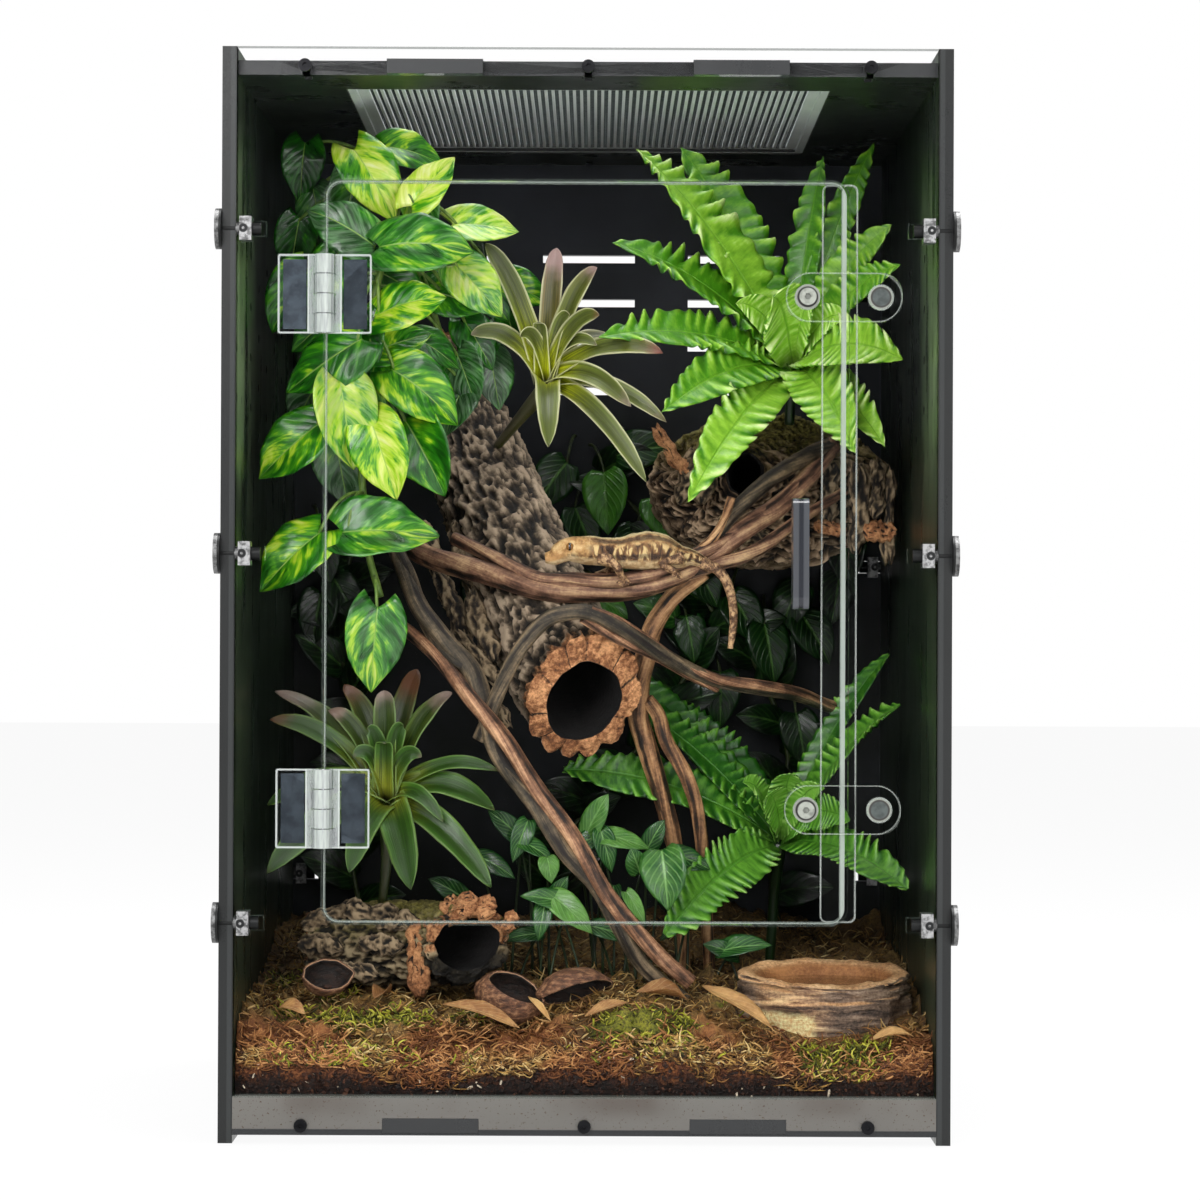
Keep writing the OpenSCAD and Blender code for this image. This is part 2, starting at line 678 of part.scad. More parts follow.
// A tube along a path, its bore shifted from the middle by the offset; the bark is a little lumpy
module cork_tube(p, wide, high, wall, sides, face, bore_shift = [0, 0, 0]) {
    count = len(p);
    outer_w = [for (i = [0:count - 1]) wide * (1 + 0.04 * sin(i * 97))];
    outer_h = [for (i = [0:count - 1]) high * (1 + 0.04 * cos(i * 71))];
    inner_w = [for (i = [0:count - 1]) wide - wall];
    inner_h = [for (i = [0:count - 1]) high - wall];
    inner_p = [for (q = p) q + bore_shift];
    far = count * sides;
    last = (count - 1) * sides;
    polyhedron(concat(rings(p, outer_w, outer_h, sides, face), rings(inner_p, inner_w, inner_h, sides, face)), concat(
        skin_faces(count, sides, 0, false),
        skin_faces(count, sides, far, true),
        [for (k = [0:sides - 1], half = [0, 1]) let (n = (k + 1) % sides)
            half == 0 ? [k, far + k, n] : [n, far + k, far + n]],
        [for (k = [0:sides - 1], half = [0, 1]) let (a = last + k, b = last + (k + 1) % sides)
            half == 0 ? [a, b, far + a] : [b, far + b, far + a]]));
}

// One woody strand, a little thinner toward its end
module strand(p, d, steps = 2, taper = 0.7) {
    path = smooth(p, steps);
    r = [for (i = [0:len(path) - 1]) d / 2 * (1 - (1 - taper) * i / (len(path) - 1))];
    sweep(path, r, r, 8, [0.1, 1, 0.1]);
}

// Small burls along a strand
module knots(p, d) {
    for (i = [0:len(p) - 2]) {
        m = (p[i] + p[i + 1]) / 2;
        hull() {
            translate(p[i]) sphere(d = d, $fn = 6);
            translate(m) sphere(d = d * 0.7, $fn = 6);
        }
    }
}

// A thin round stem through the points
module stem(p, d) {
    for (i = [0:len(p) - 2]) hull() {
        translate(p[i]) sphere(d = d, $fn = 6);
        translate(p[i + 1]) sphere(d = d, $fn = 6);
    }
}

heart_shape = [0.30, 0.92, 1.00, 0.82, 0.45, 0.06];
strap_shape = [0.62, 0.85, 1.00, 0.95, 0.75, 0.42, 0.06];
frond_shape = [0.22, 0.60, 0.90, 1.00, 0.88, 0.55, 0.08];

// A leaf from its base to its tip, w wide, its upper side to face
module leaf(a, b, w, bend, shape, face) {
    path = bow(a, b, bend, len(shape) - 1);
    sweep(path, shape * w / 2, [for (s = shape) leaf_rib_t / 2 * (0.45 + 0.55 * s)], 4, face);
}

// ---- Ground ----

function share_y(y) = (y - front_t) / (back_y - front_t);
function soil_z(x, y) = base_top + soil_h + soil_rise * share_y(y)
    + 2.2 * sin(x / half_in * 250 + 30) + 1.8 * sin(x / half_in * 430 + share_y(y) * 300);
function moss_z(x, y) = soil_z(x, y) + moss_t * (1 + 0.25 * sin(x / half_in * 610 + share_y(y) * 520));
ground_gap = 0.3;

// A closed slab between two height grids, at x = xs[i] and y = ys[j]
module height_slab(xs, ys, low, high) {
    nx = len(xs);
    ny = len(ys);
    top = nx * ny;
    function at(i, j) = i * ny + j;
    quads = [for (i = [0:nx - 2], j = [0:ny - 2]) [at(i, j), at(i, j + 1), at(i + 1, j + 1), at(i + 1, j)]];
    edge = concat([for (i = [0:nx - 2]) [at(i + 1, 0), at(i, 0)]],
                  [for (j = [0:ny - 2]) [at(nx - 1, j + 1), at(nx - 1, j)]],
                  [for (i = [nx - 1:-1:1]) [at(i - 1, ny - 1), at(i, ny - 1)]],
                  [for (j = [ny - 1:-1:1]) [at(0, j - 1), at(0, j)]]);
    polyhedron(
        concat([for (i = [0:nx - 1], j = [0:ny - 1]) [xs[i], ys[j], low[i][j]]],
               [for (i = [0:nx - 1], j = [0:ny - 1]) [xs[i], ys[j], high[i][j]]]),
        concat(
            [for (q = quads) [q[0], q[2], q[1]]], [for (q = quads) [q[0], q[3], q[2]]],
            [for (q = quads) [top + q[0], top + q[1], top + q[2]]], [for (q = quads) [top + q[0], top + q[2], top + q[3]]],
            [for (e = edge) [e[0], e[1], top + e[1]]], [for (e = edge) [e[0], top + e[1], top + e[0]]]));
}

function span(from, to, steps) = [for (i = [0:steps]) from + (to - from) * i / steps];

module substrate_soil() {
    xs = span(-half_in + ground_gap, half_in - ground_gap, 12);
    ys = span(front_t + ground_gap, back_y - ground_gap, 11);
    color([0.24, 0.14, 0.08])
        height_slab(xs, ys, [for (x = xs) [for (y = ys) base_top]], [for (x = xs) [for (y = ys) soil_z(x, y)]]);
}

// The moss covers the soil but for the bed of the water dish
module moss_mat() {
    xs = span(-half_in + ground_gap, half_in - ground_gap, 12);
    ys = span(front_t + ground_gap, back_y - ground_gap, 11);
    color([0.50, 0.52, 0.20]) difference() {
        height_slab(xs, ys, [for (x = xs) [for (y = ys) soil_z(x, y) + ground_gap]],
                    [for (x = xs) [for (y = ys) moss_z(x, y)]]);
        translate(dish_foot()) linear_extrude(dish_h) polygon(dish_ring(1.03));
    }
}

// A point on the moss, lifted by h
function on_moss(x, y, h) = let (p = spot([x, y, 0])) [p[0], p[1], moss_z(p[0], p[1]) + h];

litter_leaves = [[-40, 30, 20], [-18, 22, -15], [8, 28, 40], [48, 26, 10], [64, 34, -30], [-70, 36, 65], [36, 44, 120]];

module leaf_litter() {
    color([0.45, 0.28, 0.12]) for (l = litter_leaves) {
        turn = [cos(l[2]), sin(l[2])] * 12;
        a = on_moss(l[0] - turn[0], l[1] - turn[1] / 2, 0.4);
        b = on_moss(l[0] + turn[0], l[1] + turn[1] / 2, 0.8);
        leaf(a, b, 11, [0, 0, 1.5], heart_shape, [0, 0, 1]);
    }
}

// Half of a hollow spindle-shaped pod, open upward
module pod(l, r, wall) {
    steps = 8;
    function edge(rr, ll) = [for (i = [0:steps]) [rr * sin(180 * i / steps), ll * (i / steps - 0.5)]];
    rotate([0, 90, 0]) difference() {
        rotate_extrude() polygon(edge(r, l));
        rotate_extrude() polygon(edge(r - wall, l - 4 * wall));
        box([-2 * r, -2 * r, -l], [0, 2 * r, l]);
    }
}

seed_pod_places = [[-110, 44, 28, 32], [-34, 34, -24, 34], [-4, 42, 12, 34]];

module seed_pods() {
    pod_r = 8;
    color([0.42, 0.26, 0.15]) for (p = seed_pod_places)
        translate(on_moss(p[0], p[1], pod_r - 2.5)) rotate([0, 0, p[2]]) pod(p[3], pod_r, 1.6);
}

dish_sides = 18;
dish_depth_share = 0.86;
// Each level: share of the height, share of the outline
dish_levels = [[0, 0.97], [0.35, 1.00], [0.62, 0.96], [0.68, 0.86], [0.95, 0.82], [1, 0.78]];

// The dish stands in the soil, a little pressed in
function dish_foot() = let (p = spot([104, 66, 0])) [p[0], p[1], soil_z(p[0], p[1]) - 3];
// The dish's uneven outline, at the given share of its full size
function dish_ring(share) = [for (k = [0:dish_sides - 1]) let (
    a = -360 * k / dish_sides, r = share * dish_l / 2.1 * (1 + 0.025 * sin(k * 131) + 0.02 * cos(k * 67)))
    [r * cos(a), r * dish_depth_share * sin(a)]];

// Rock-like bowl: stacked uneven rings with a round basin, open upward
module water_dish() {
    last = len(dish_levels) - 1;
    color([0.68, 0.52, 0.36]) translate(dish_foot()) difference() {
        polyhedron(
            [for (level = dish_levels, q = dish_ring(level[1])) [q[0], q[1], level[0] * dish_h]],
            concat(skin_faces(last + 1, dish_sides, 0, false), [[for (k = [dish_sides - 1:-1:0]) k]],
                   [[for (k = [0:dish_sides - 1]) last * dish_sides + k]]));
        translate([0, 2, dish_h - basin_depth]) cylinder(d = basin_d, h = basin_depth + 1);
    }
}

// ---- Cork ----

large_tube_path = [[-78, 272, 344], [-62, 240, 317], [-44, 196, 281], [-27, 150, 243], [-11, 112, 208], [-1, 80, 182]];
low_hide_path = [[-122, 100, 70], [-94, 92, 73], [-66, 79, 74], [-42, 62, 73]];
ledge_path = [[86, 297.5, 279], [85, 250, 279], [83, 200, 279], [82, 152, 279]];

module cork_tube_large() {
    color([0.50, 0.40, 0.30]) cork_tube(smooth(spots(large_tube_path), 2), tube_d / 2, tube_d / 2, cork_wall, 14, [0, 0, 1]);
}

module cork_hide_low() {
    color([0.55, 0.45, 0.33]) cork_tube(smooth(spots(low_hide_path), 2), low_hide_w / 2, low_hide_h / 2, cork_wall * 0.75, 14, [0, 0, 1]);
}

module cork_ledge_right() {
    color([0.42, 0.34, 0.24]) cork_tube(smooth(spots(ledge_path), 2), ledge_w / 2, ledge_h / 2, ledge_wall, 14, [0, 0, 1],
        ledge_wall * [-8, 0, 6] / 23);
}

// ---- Branches ----

main_a = [[-82, 150, 254], [-71, 138, 246], [-47, 116, 238], [-20, 96, 229], [3, 90, 227], [25, 88, 231],
          [40, 92, 236], [53, 98, 243], [70, 106, 257], [90, 124, 272], [112, 148, 299]];
main_b = [[-60, 134, 252], [-40, 113, 242], [-22, 97, 233], [-8, 92, 233], [14, 86, 228], [36, 88, 232],
          [58, 99, 248], [84, 116, 267], [104, 138, 290]];
main_c = [[30, 90, 232], [54, 95, 240], [76, 103, 248], [96, 122, 262], [118, 150, 276]];

module main_branch() {
    color([0.55, 0.38, 0.26]) union() {
        strand(spots(main_a), branch_d);
        strand(spots(main_b), branch_d * 0.68);
        strand(spots(main_c), branch_d * 0.6);
        knots(spots(main_a), branch_d * 0.95);
    }
}

twist_a = [[-90, 118, 268], [-81, 100, 240], [-74, 88, 222], [-62, 80, 207], [-48, 70, 194], [-34, 64, 172],
           [-24, 58, 150], [-6, 54, 124], [8, 52, 100], [26, 54, 80], [48, 58, 62], [58, 60, 48]];
twist_b = [[-80, 92, 212], [-64, 76, 198], [-52, 68, 184], [-40, 60, 160], [-20, 52, 136], [-10, 50, 118],
           [4, 48, 105], [12, 50, 88], [22, 58, 70], [34, 62, 52]];

module left_twisted_branch() {
    color([0.50, 0.34, 0.23]) union() {
        strand(spots(twist_a), twig_d, 1);
        strand(spots(twist_b), twig_d * 0.85, 1);
        knots(spots(twist_a), twig_d * 0.9);
    }
}

fork_a = [[52, 98, 240], [39, 102, 229], [31, 104, 216], [28, 106, 204], [25, 108, 190], [24, 110, 176],
          [27, 112, 165], [34, 116, 140], [40, 120, 110], [44, 124, 54]];
fork_b = [[27, 107, 183], [32, 110, 176], [36, 112, 164], [46, 114, 146], [52, 118, 120], [56, 122, 54]];

module fork_branch() {
    color([0.60, 0.42, 0.28]) union() {
        strand(spots(fork_a), branch_d * 0.85);
        strand(spots(fork_b), twig_d * 0.75);
        knots(spots(fork_a), branch_d * 0.8);
    }
}

arch_a = [[-46, 70, 166], [-36, 64, 190], [-28, 60, 206], [-18, 58, 218], [-8, 58, 222], [2, 60, 222],
          [13, 64, 217], [26, 72, 209], [40, 82, 200], [57, 92, 192], [76, 104, 188], [96, 122, 184], [114, 146, 178]];
arch_b = [[-2, 62, 219], [14, 68, 210], [30, 78, 203], [46, 88, 194], [58, 96, 188]];

module arched_branch() {
    color([0.40, 0.30, 0.20]) union() {
        strand(spots(arch_a), twig_d * 0.85, 1);
        strand(spots(arch_b), twig_d * 0.6, 1);
        knots(spots(arch_a), twig_d * 0.8);
    }
}

// ---- Plants ----

// Each entry: middle, direction of the tip in degrees seen from the front, share of the leaf length
pothos_leaves = [
    [[-94, 72, 408], -50, 1.105], [[-79, 92, 420], -15, 1], [[-68, 80, 404], 25, 1], [[-46, 95, 391], -60, 0.895],
    [[-108, 70, 386], 145, 1.053], [[-70, 66, 380], 5, 1.263], [[-80, 64, 357], 35, 1.053], [[-106, 62, 333], -90, 0.947],
    [[-121, 60, 326], 225, 0.895], [[-76, 68, 326], -40, 1.105], [[-101, 58, 303], -75, 1], [[-88, 66, 285], -100, 0.947],
    [[-68, 78, 284], -60, 1.053], [[-126, 62, 284], 215, 0.895], [[-84, 62, 254], 0, 1.105], [[-124, 62, 240], 225, 0.947],
    [[-89, 64, 204], -95, 0.947], [[-112, 96, 360], -110, 0.895], [[-60, 100, 350], -30, 0.895]];
pothos_stem = [[-100, 150, 428], [-84, 110, 412], [-86, 84, 392], [-92, 74, 365], [-98, 72, 335], [-100, 72, 305],
               [-98, 74, 275], [-96, 74, 250], [-90, 72, 228]];
pothos_root = [[-66, 244, 337], [-82, 224, 388], [-98, 186, 424], [-100, 150, 428]];

module pothos_vine() {
    color([0.25, 0.55, 0.12]) union() {
        stem(spots(pothos_stem), vine_d);
        stem(spots(pothos_root), vine_d * 1.125);
        for (i = [0:len(pothos_leaves) - 1]) {
            l = pothos_leaves[i];
            c = spot(l[0]);
            length = l[2] * pothos_leaf_l;
            dir = [cos(l[1]), 0.18, sin(l[1])] * length / 2;
            joint_at = spot(pothos_stem[min(8, 1 + floor(max(0, 412 - l[0][2]) / 27))]);
            leaf(c - dir, c + dir, length * 0.72, [0, -3, 0], heart_shape, [0.15, -1, 0.25]);
            stem([c - dir * 0.9, joint_at], vine_d / 2);
        }
    }
}

// Rosette of strap leaves from one heart to the tips
module rosette(heart, tips, w, lift, shape) {
    for (i = [0:len(tips) - 1]) {
        tip = tips[i];
        dir = unit(tip - heart);
        base = heart + dir * 2;
        leaf(base, tip, w, [0, -2, lift], shape, unit([-dir[0] * 0.6, -1, 0.9]));
        stem([heart, heart + dir * w * 0.6], crown_d * 4 / 9);
    }
}

upper_bromeliad_heart = [-19, 116, 322];
upper_bromeliad_tips = [[-15, 112, 384], [5, 100, 376], [-44, 124, 381], [-59, 100, 352], [34, 92, 338], [34, 82, 308],
                        [28, 78, 280], [-18, 76, 292], [-46, 84, 308], [16, 140, 366], [-6, 84, 352]];

module upper_bromeliad() {
    color([0.62, 0.60, 0.42]) union() {
        rosette(spot(upper_bromeliad_heart), spots(upper_bromeliad_tips), strap_w, strap_w * 0.6, strap_shape);
        stem(spots([upper_bromeliad_heart, [-24, 132, 300], [-34, 154, 268]]), crown_d);
    }
}

lower_bromeliad_heart = [-88, 90, 138];
lower_bromeliad_tips = [[-107, 92, 191], [-81, 102, 196], [-61, 104, 183], [-137, 92, 182], [-138, 74, 172],
                        [-40, 92, 152], [-38, 74, 140], [-75, 52, 104], [-46, 62, 106], [-136, 62, 112], [-138, 66, 142],
                        [-110, 52, 116]];

module lower_bromeliad() {
    color([0.45, 0.50, 0.32]) union() {
        rosette(spot(lower_bromeliad_heart), spots(lower_bromeliad_tips), strap_w, strap_w * 0.6, strap_shape);
        stem(spots([lower_bromeliad_heart, [-88, 92, 112], [-90, 92, 92]]), crown_d);
    }
}

upper_fern_heart = [92, 136, 328];
upper_fern_tips = [[28, 120, 428], [42, 140, 430], [95, 146, 430], [132, 130, 424], [135, 104, 395], [136, 84, 375],
                   [136, 64, 333], [12, 112, 386], [8, 92, 347], [36, 78, 303], [46, 68, 275], [113, 74, 290], [127, 84, 292]];

module upper_fern() {
    color([0.40, 0.70, 0.15]) union() {
        rosette(spot(upper_fern_heart), spots(upper_fern_tips), frond_w, frond_w * 0.4, frond_shape);
        stem(spots([upper_fern_heart, [92, 142, 308]]), crown_d * 8 / 9);
    }
}

lower_fern_heart = [78, 138, 124];
lower_fern_tips = [[-8, 122, 146], [30, 168, 196], [54, 172, 200], [114, 148, 206], [124, 106, 186], [136, 82, 112],
                   [30, 88, 88], [20, 130, 160], [104, 90, 100]];

module lower_fern() {
    color([0.28, 0.58, 0.15]) union() {
        rosette(spot(lower_fern_heart), spots(lower_fern_tips), frond_w, frond_w * 0.4, frond_shape);
        stem(spots([lower_fern_heart, [80, 142, 96], [82, 146, 58]]), crown_d * 8 / 9);
    }
}

// Each entry: foot on the ground, top of the stem, direction of the leaves in degrees
ground_stems = [[[2, 108], [4, 110, 128], 30], [[30, 102], [34, 100, 106], -80], [[-14, 98], [-13, 98, 98], -60],
                [[-36, 96], [-38, 92, 110], 200], [[14, 92], [12, 92, 112], 150], [[44, 92], [46, 90, 92], -30]];

module ground_foliage() {
    color([0.22, 0.48, 0.18]) union() for (g = ground_stems) {
        foot = on_moss(g[0][0], g[0][1], -4);
        top = spot(g[1]);
        stem([foot, (foot + top) / 2 + [2, 1, 0], top], 2);
        for (turn = [0, 110, -110]) {
            dir = [cos(g[2] + turn), -0.2, sin(g[2] + turn) * 0.6];
            leaf(top, top + dir * small_leaf_l, small_leaf_l * 0.63, [0, 0, 2], heart_shape, [0, -1, 0.8]);
        }
    }
}

// Creeper along the back panel, with leaves to both sides of its stem
creeper_a = [[96, 290, 66], [90, 288, 110], [100, 288, 150], [84, 288, 196], [60, 288, 226], [34, 288, 262], [6, 288, 292]];
creeper_b = [[-20, 290, 64], [-14, 288, 104], [14, 288, 140], [40, 288, 176], [62, 288, 214]];
creeper_c = [[-110, 290, 64], [-118, 288, 110], [-112, 288, 160], [-124, 288, 210], [-116, 288, 260]];

module creeper(p) {
    path = smooth(p, 2);
    stem(path, vine_d * 0.94);
    for (i = [1:len(path) - 1]) {
        turn = i % 2 == 0 ? 35 : 150;
        dir = [cos(turn), -0.5, sin(turn)] * creeper_leaf_l;
        leaf(path[i], path[i] + dir, creeper_leaf_l * 0.65, [0, -3, 2], heart_shape, [0, -1, 0.3]);
    }
}

module back_wall_foliage() {
    color([0.12, 0.32, 0.12]) union() {
        creeper(spots(creeper_a));
        creeper(spots(creeper_b));
        creeper(spots(creeper_c));
    }
}

// ---- Gecko on the main branch ----

gecko_spine = [[-18, 84, 245], [-9, 84, 248.5], [-1, 84, 248], [6, 84, 247.5], [15, 84, 249], [24, 85, 249.5],
               [34, 87, 248.5], [43, 89, 246], [50, 91, 243]];
gecko_half_w = [2.2, 6.2, 6.6, 5.0, 6.6, 7.4, 6.8, 5.2, 3.4];
gecko_half_h = [1.8, 4.8, 5.6, 4.8, 6.6, 7.6, 7.0, 5.4, 3.4];
gecko_tail = [[50, 91, 243], [57, 90, 240], [63, 91, 232], [66, 93, 220], [66, 94, 205]];
// Each limb: body end, elbow or knee, foot
gecko_limbs = [[[7, 80, 245], [12, 75, 240], [4, 78, 233]], [[7, 88, 245], [12, 94, 241], [2, 95, 235]],
               [[42, 84, 244], [33, 78, 243], [36, 80, 238]], [[42, 94, 244], [34, 100, 242], [40, 99, 241]]];

module gecko() {
    size = gecko_l / 74;
    seat = spot(gecko_spine[5]) - [0, 0, 10 * size];
    function placed(p) = seat + (spot(p) - seat) * size;
    spine = [for (p = gecko_spine) placed(p)];
    tail = smooth([for (p = gecko_tail) placed(p)], 2);
    color([0.72, 0.55, 0.36]) union() {
        sweep(spine, gecko_half_w * size, gecko_half_h * size, 10, [0, 0, 1]);
        tail_r = [for (i = [0:len(tail) - 1]) (3.2 - 2 * i / (len(tail) - 1)) * size];
        sweep(tail, tail_r, tail_r, 8, [0.1, 1, 0.1]);
        for (limb = gecko_limbs) {
            hull() {
                translate(placed(limb[0])) sphere(d = 5 * size, $fn = 8);
                translate(placed(limb[1])) sphere(d = 3.6 * size, $fn = 8);
            }
            hull() {
                translate(placed(limb[1])) sphere(d = 3.6 * size, $fn = 8);
                translate(placed(limb[2])) sphere(d = 3.2 * size, $fn = 8);
            }
        }
    }
}

// ---- The whole, centred in Y ----

module centred() translate([0, y_shift, 0]) children();

centred() base_panel();
centred() roof_panel();
centred() left_side_panel();
centred() right_side_panel();
centred() back_panel();
centred() front_panel();
centred() vent_frame();
centred() roof_vent_grille();
centred() door_panel();
centred() door_stop_strip();
centred() door_pull();
centred() upper_hinge_frame_leaf();
centred() upper_hinge_door_leaf();
centred() upper_hinge_pin();
centred() upper_hinge_frame_pad();
centred() upper_hinge_door_pad();
centred() lower_hinge_frame_leaf();
centred() lower_hinge_door_leaf();
centred() lower_hinge_pin();
centred() lower_hinge_frame_pad();
centred() lower_hinge_door_pad();
centred() upper_latch_tab();
centred() upper_latch_magnet();
centred() upper_latch_pivot();
centred() upper_keeper_magnet();
centred() lower_latch_tab();
centred() lower_latch_magnet();
centred() lower_latch_pivot();
centred() lower_keeper_magnet();
centred() side_connector_bolts();
centred() side_square_nuts();
centred() front_sheet_screws();
centred() back_sheet_screws();
centred() sheet_square_nuts();
centred() substrate_soil();
centred() moss_mat();
centred() leaf_litter();
centred() seed_pods();
centred() water_dish();
centred() cork_tube_large();
centred() cork_hide_low();
centred() cork_ledge_right();
centred() main_branch();
centred() left_twisted_branch();
centred() fork_branch();
centred() arched_branch();
centred() pothos_vine();
centred() upper_bromeliad();
centred() lower_bromeliad();
centred() upper_fern();
centred() lower_fern();
centred() ground_foliage();
centred() back_wall_foliage();
centred() gecko();
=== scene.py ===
"""Planted front-opening terrarium: the looks of cabinet and planting, laid out as a Blender add-on."""

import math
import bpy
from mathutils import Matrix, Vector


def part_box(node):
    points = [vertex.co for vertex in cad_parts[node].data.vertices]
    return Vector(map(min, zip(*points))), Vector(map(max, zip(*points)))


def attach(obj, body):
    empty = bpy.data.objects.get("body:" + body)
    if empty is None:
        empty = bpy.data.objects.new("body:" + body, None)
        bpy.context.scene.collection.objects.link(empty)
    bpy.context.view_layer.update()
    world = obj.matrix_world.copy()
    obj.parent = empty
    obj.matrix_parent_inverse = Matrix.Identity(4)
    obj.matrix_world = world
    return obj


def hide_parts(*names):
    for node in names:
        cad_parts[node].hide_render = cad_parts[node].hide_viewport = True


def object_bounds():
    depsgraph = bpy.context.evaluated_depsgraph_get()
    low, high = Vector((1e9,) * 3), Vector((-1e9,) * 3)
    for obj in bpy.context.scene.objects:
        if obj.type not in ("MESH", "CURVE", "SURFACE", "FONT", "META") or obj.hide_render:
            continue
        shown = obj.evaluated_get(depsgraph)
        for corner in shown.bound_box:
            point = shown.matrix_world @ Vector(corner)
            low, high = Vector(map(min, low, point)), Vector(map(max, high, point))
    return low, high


bl_info = {
    "name": "Planted Terrarium",
    "version": (1, 0, 0),
    "blender": (4, 5, 0),
    "location": "View3D > Sidebar > Terrarium",
    "description": "Finishes a black and clear terrarium cabinet and plants it",
    "category": "Add Mesh",
}

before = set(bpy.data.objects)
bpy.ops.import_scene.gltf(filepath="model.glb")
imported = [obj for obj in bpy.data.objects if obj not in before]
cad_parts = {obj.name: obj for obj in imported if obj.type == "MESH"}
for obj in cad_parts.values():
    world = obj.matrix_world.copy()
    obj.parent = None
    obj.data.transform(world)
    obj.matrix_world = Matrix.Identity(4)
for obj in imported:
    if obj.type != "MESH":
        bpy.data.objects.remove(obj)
CAD_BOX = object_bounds()

import bpy
import numpy as np
from bpy.props import FloatProperty, FloatVectorProperty, IntProperty, PointerProperty
from mathutils import Matrix, Vector, noise

MM = 0.001
# In metres: the front sheet's outer face, and the right side panel's inner face
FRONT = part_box("front_panel")[0].y
SIDE_INNER = -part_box("left_side_panel")[1].x
# In millimetres: the base's top, half the inside width, and both inner faces behind the front face
BASE_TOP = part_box("base_panel")[1].z / MM
INSIDE = {
    "half": SIDE_INNER / MM,
    "front": (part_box("front_panel")[1].y - FRONT) / MM,
    "back": (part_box("back_panel")[0].y - FRONT) / MM,
}


# ---- Places, curves and soft noise ----

def at(x, depth, z):
    """A place in the tank from millimetres; depth runs back from the front face."""
    return np.array([x * MM, FRONT + depth * MM, z * MM])


def places(points):
    return np.array([at(*p) for p in points])


def unit(v):
    v = np.asarray(v, float)
    return v / np.maximum(np.linalg.norm(v, axis=-1, keepdims=True), 1e-12)


def curve(points, count):
    """Evenly spaced points on a smooth curve through the given ones."""
    p = np.asarray(points, float)
    ends = np.vstack([2 * p[0] - p[1], p, 2 * p[-1] - p[-2]])
    fine = []
    for i in range(len(p) - 1):
        a, b, c, d = ends[i:i + 4]
        for t in np.linspace(0, 1, 24, endpoint=False):
            fine.append(0.5 * (2 * b + (c - a) * t + (2 * a - 5 * b + 4 * c - d) * t * t
                               + (3 * b - a - 3 * c + d) * t ** 3))
    return evenly(np.array(fine + [p[-1]]), count)


def evenly(path, count):
    run = np.concatenate([[0], np.cumsum(np.linalg.norm(np.diff(path, axis=0), axis=1))])
    want = np.linspace(0, run[-1], count)
    return np.stack([np.interp(want, run, path[:, k]) for k in range(3)], axis=1)


def bow(a, b, bend, count):
    """A curve from a to b that swings out by bend at its middle."""
    t = np.linspace(0, 1, count)[:, None]
    return np.asarray(a) + (np.asarray(b) - a) * t + np.asarray(bend) * 4 * t * (1 - t)


def length_of(path):
    return float(np.linalg.norm(np.diff(path, axis=0), axis=1).sum())


def value_at(shares, values):
    """Reads evenly spaced values, or a single one, at shares of their run."""
    values = np.atleast_1d(np.asarray(values, float))
    return np.interp(shares, np.linspace(0, 1, len(values)), values)


def spread(values, count):
    """The values drawn out evenly over the given number of points."""
    return value_at(np.linspace(0, 1, count), values)


def reader(shares, rows):
    """Reads a table of so many rows at shares of its length, between its rows."""
    run = np.clip(shares, 0, 1) * (rows - 1)
    low = np.minimum(run.astype(int), rows - 2)
    part = (run - low)[:, None]
    return lambda table: table[low] * (1 - part) + table[low + 1] * part


def shift_of(seed):
    return Vector((seed * 7.31 + 3, seed * 3.17 - 8, seed * 5.73 + 1))


def rough(points, size, detail=3, seed=0.0):
    """Soft noise, about -1 to 1, with features of the given size in metres."""
    points = np.asarray(points)
    shift = shift_of(seed)
    out = [noise.fractal(Vector(p) + shift, 1.0, 2.0, detail) for p in points.reshape(-1, 3) / size]
    return np.array(out).reshape(points.shape[:-1])


def plates(points, size, seed=0.0):
    """0 in the cracks between plates of the given size, and up to about 1 in their middles."""
    points = np.asarray(points)
    shift = shift_of(seed)
    out = []
    for p in points.reshape(-1, 3) / size:
        near = noise.voronoi(Vector(p) + shift)[0]
        out.append(near[1] - near[0])
    return np.array(out).reshape(points.shape[:-1])


# ---- Modelling with operators ----

def deselect():
    bpy.ops.object.select_all(action="DESELECT")


def activate(obj):
    deselect()
    obj.select_set(True)
    bpy.context.view_layer.objects.active = obj


def edit(obj, *steps):
    """Runs the steps in edit mode, with everything selected at the start."""
    activate(obj)
    bpy.ops.object.mode_set(mode="EDIT")
    bpy.ops.mesh.select_all(action="SELECT")
    for step in steps:
        step()
    bpy.ops.object.mode_set(mode="OBJECT")


def apply_modifier(obj, kind, **settings):
    activate(obj)
    modifier = obj.modifiers.new(kind.lower(), kind)
    for key, value in settings.items():
        setattr(modifier, key, value)
    bpy.ops.object.modifier_apply(modifier=modifier.name)


def settle(obj):
    """Moves the object's place, turn and size into its mesh."""
    activate(obj)
    bpy.ops.object.transform_apply(location=True, rotation=True, scale=True)


def points_of(mesh):
    points = np.zeros(len(mesh.vertices) * 3)
    mesh.vertices.foreach_get("co", points)
    return points.reshape(-1, 3)


def move_points(mesh, points):
    mesh.vertices.foreach_set("co", points.ravel())


def extrude(x, y, z):
    bpy.ops.mesh.extrude_region_move(TRANSFORM_OT_translate={"value": (x, y, z)})


def take(obj):
    """The points and faces of a master piece, which is then removed."""
    mesh = obj.data
    points, faces = points_of(mesh), [list(p.vertices) for p in mesh.polygons]
    bpy.data.objects.remove(obj)
    bpy.data.meshes.remove(mesh)
    return points, faces


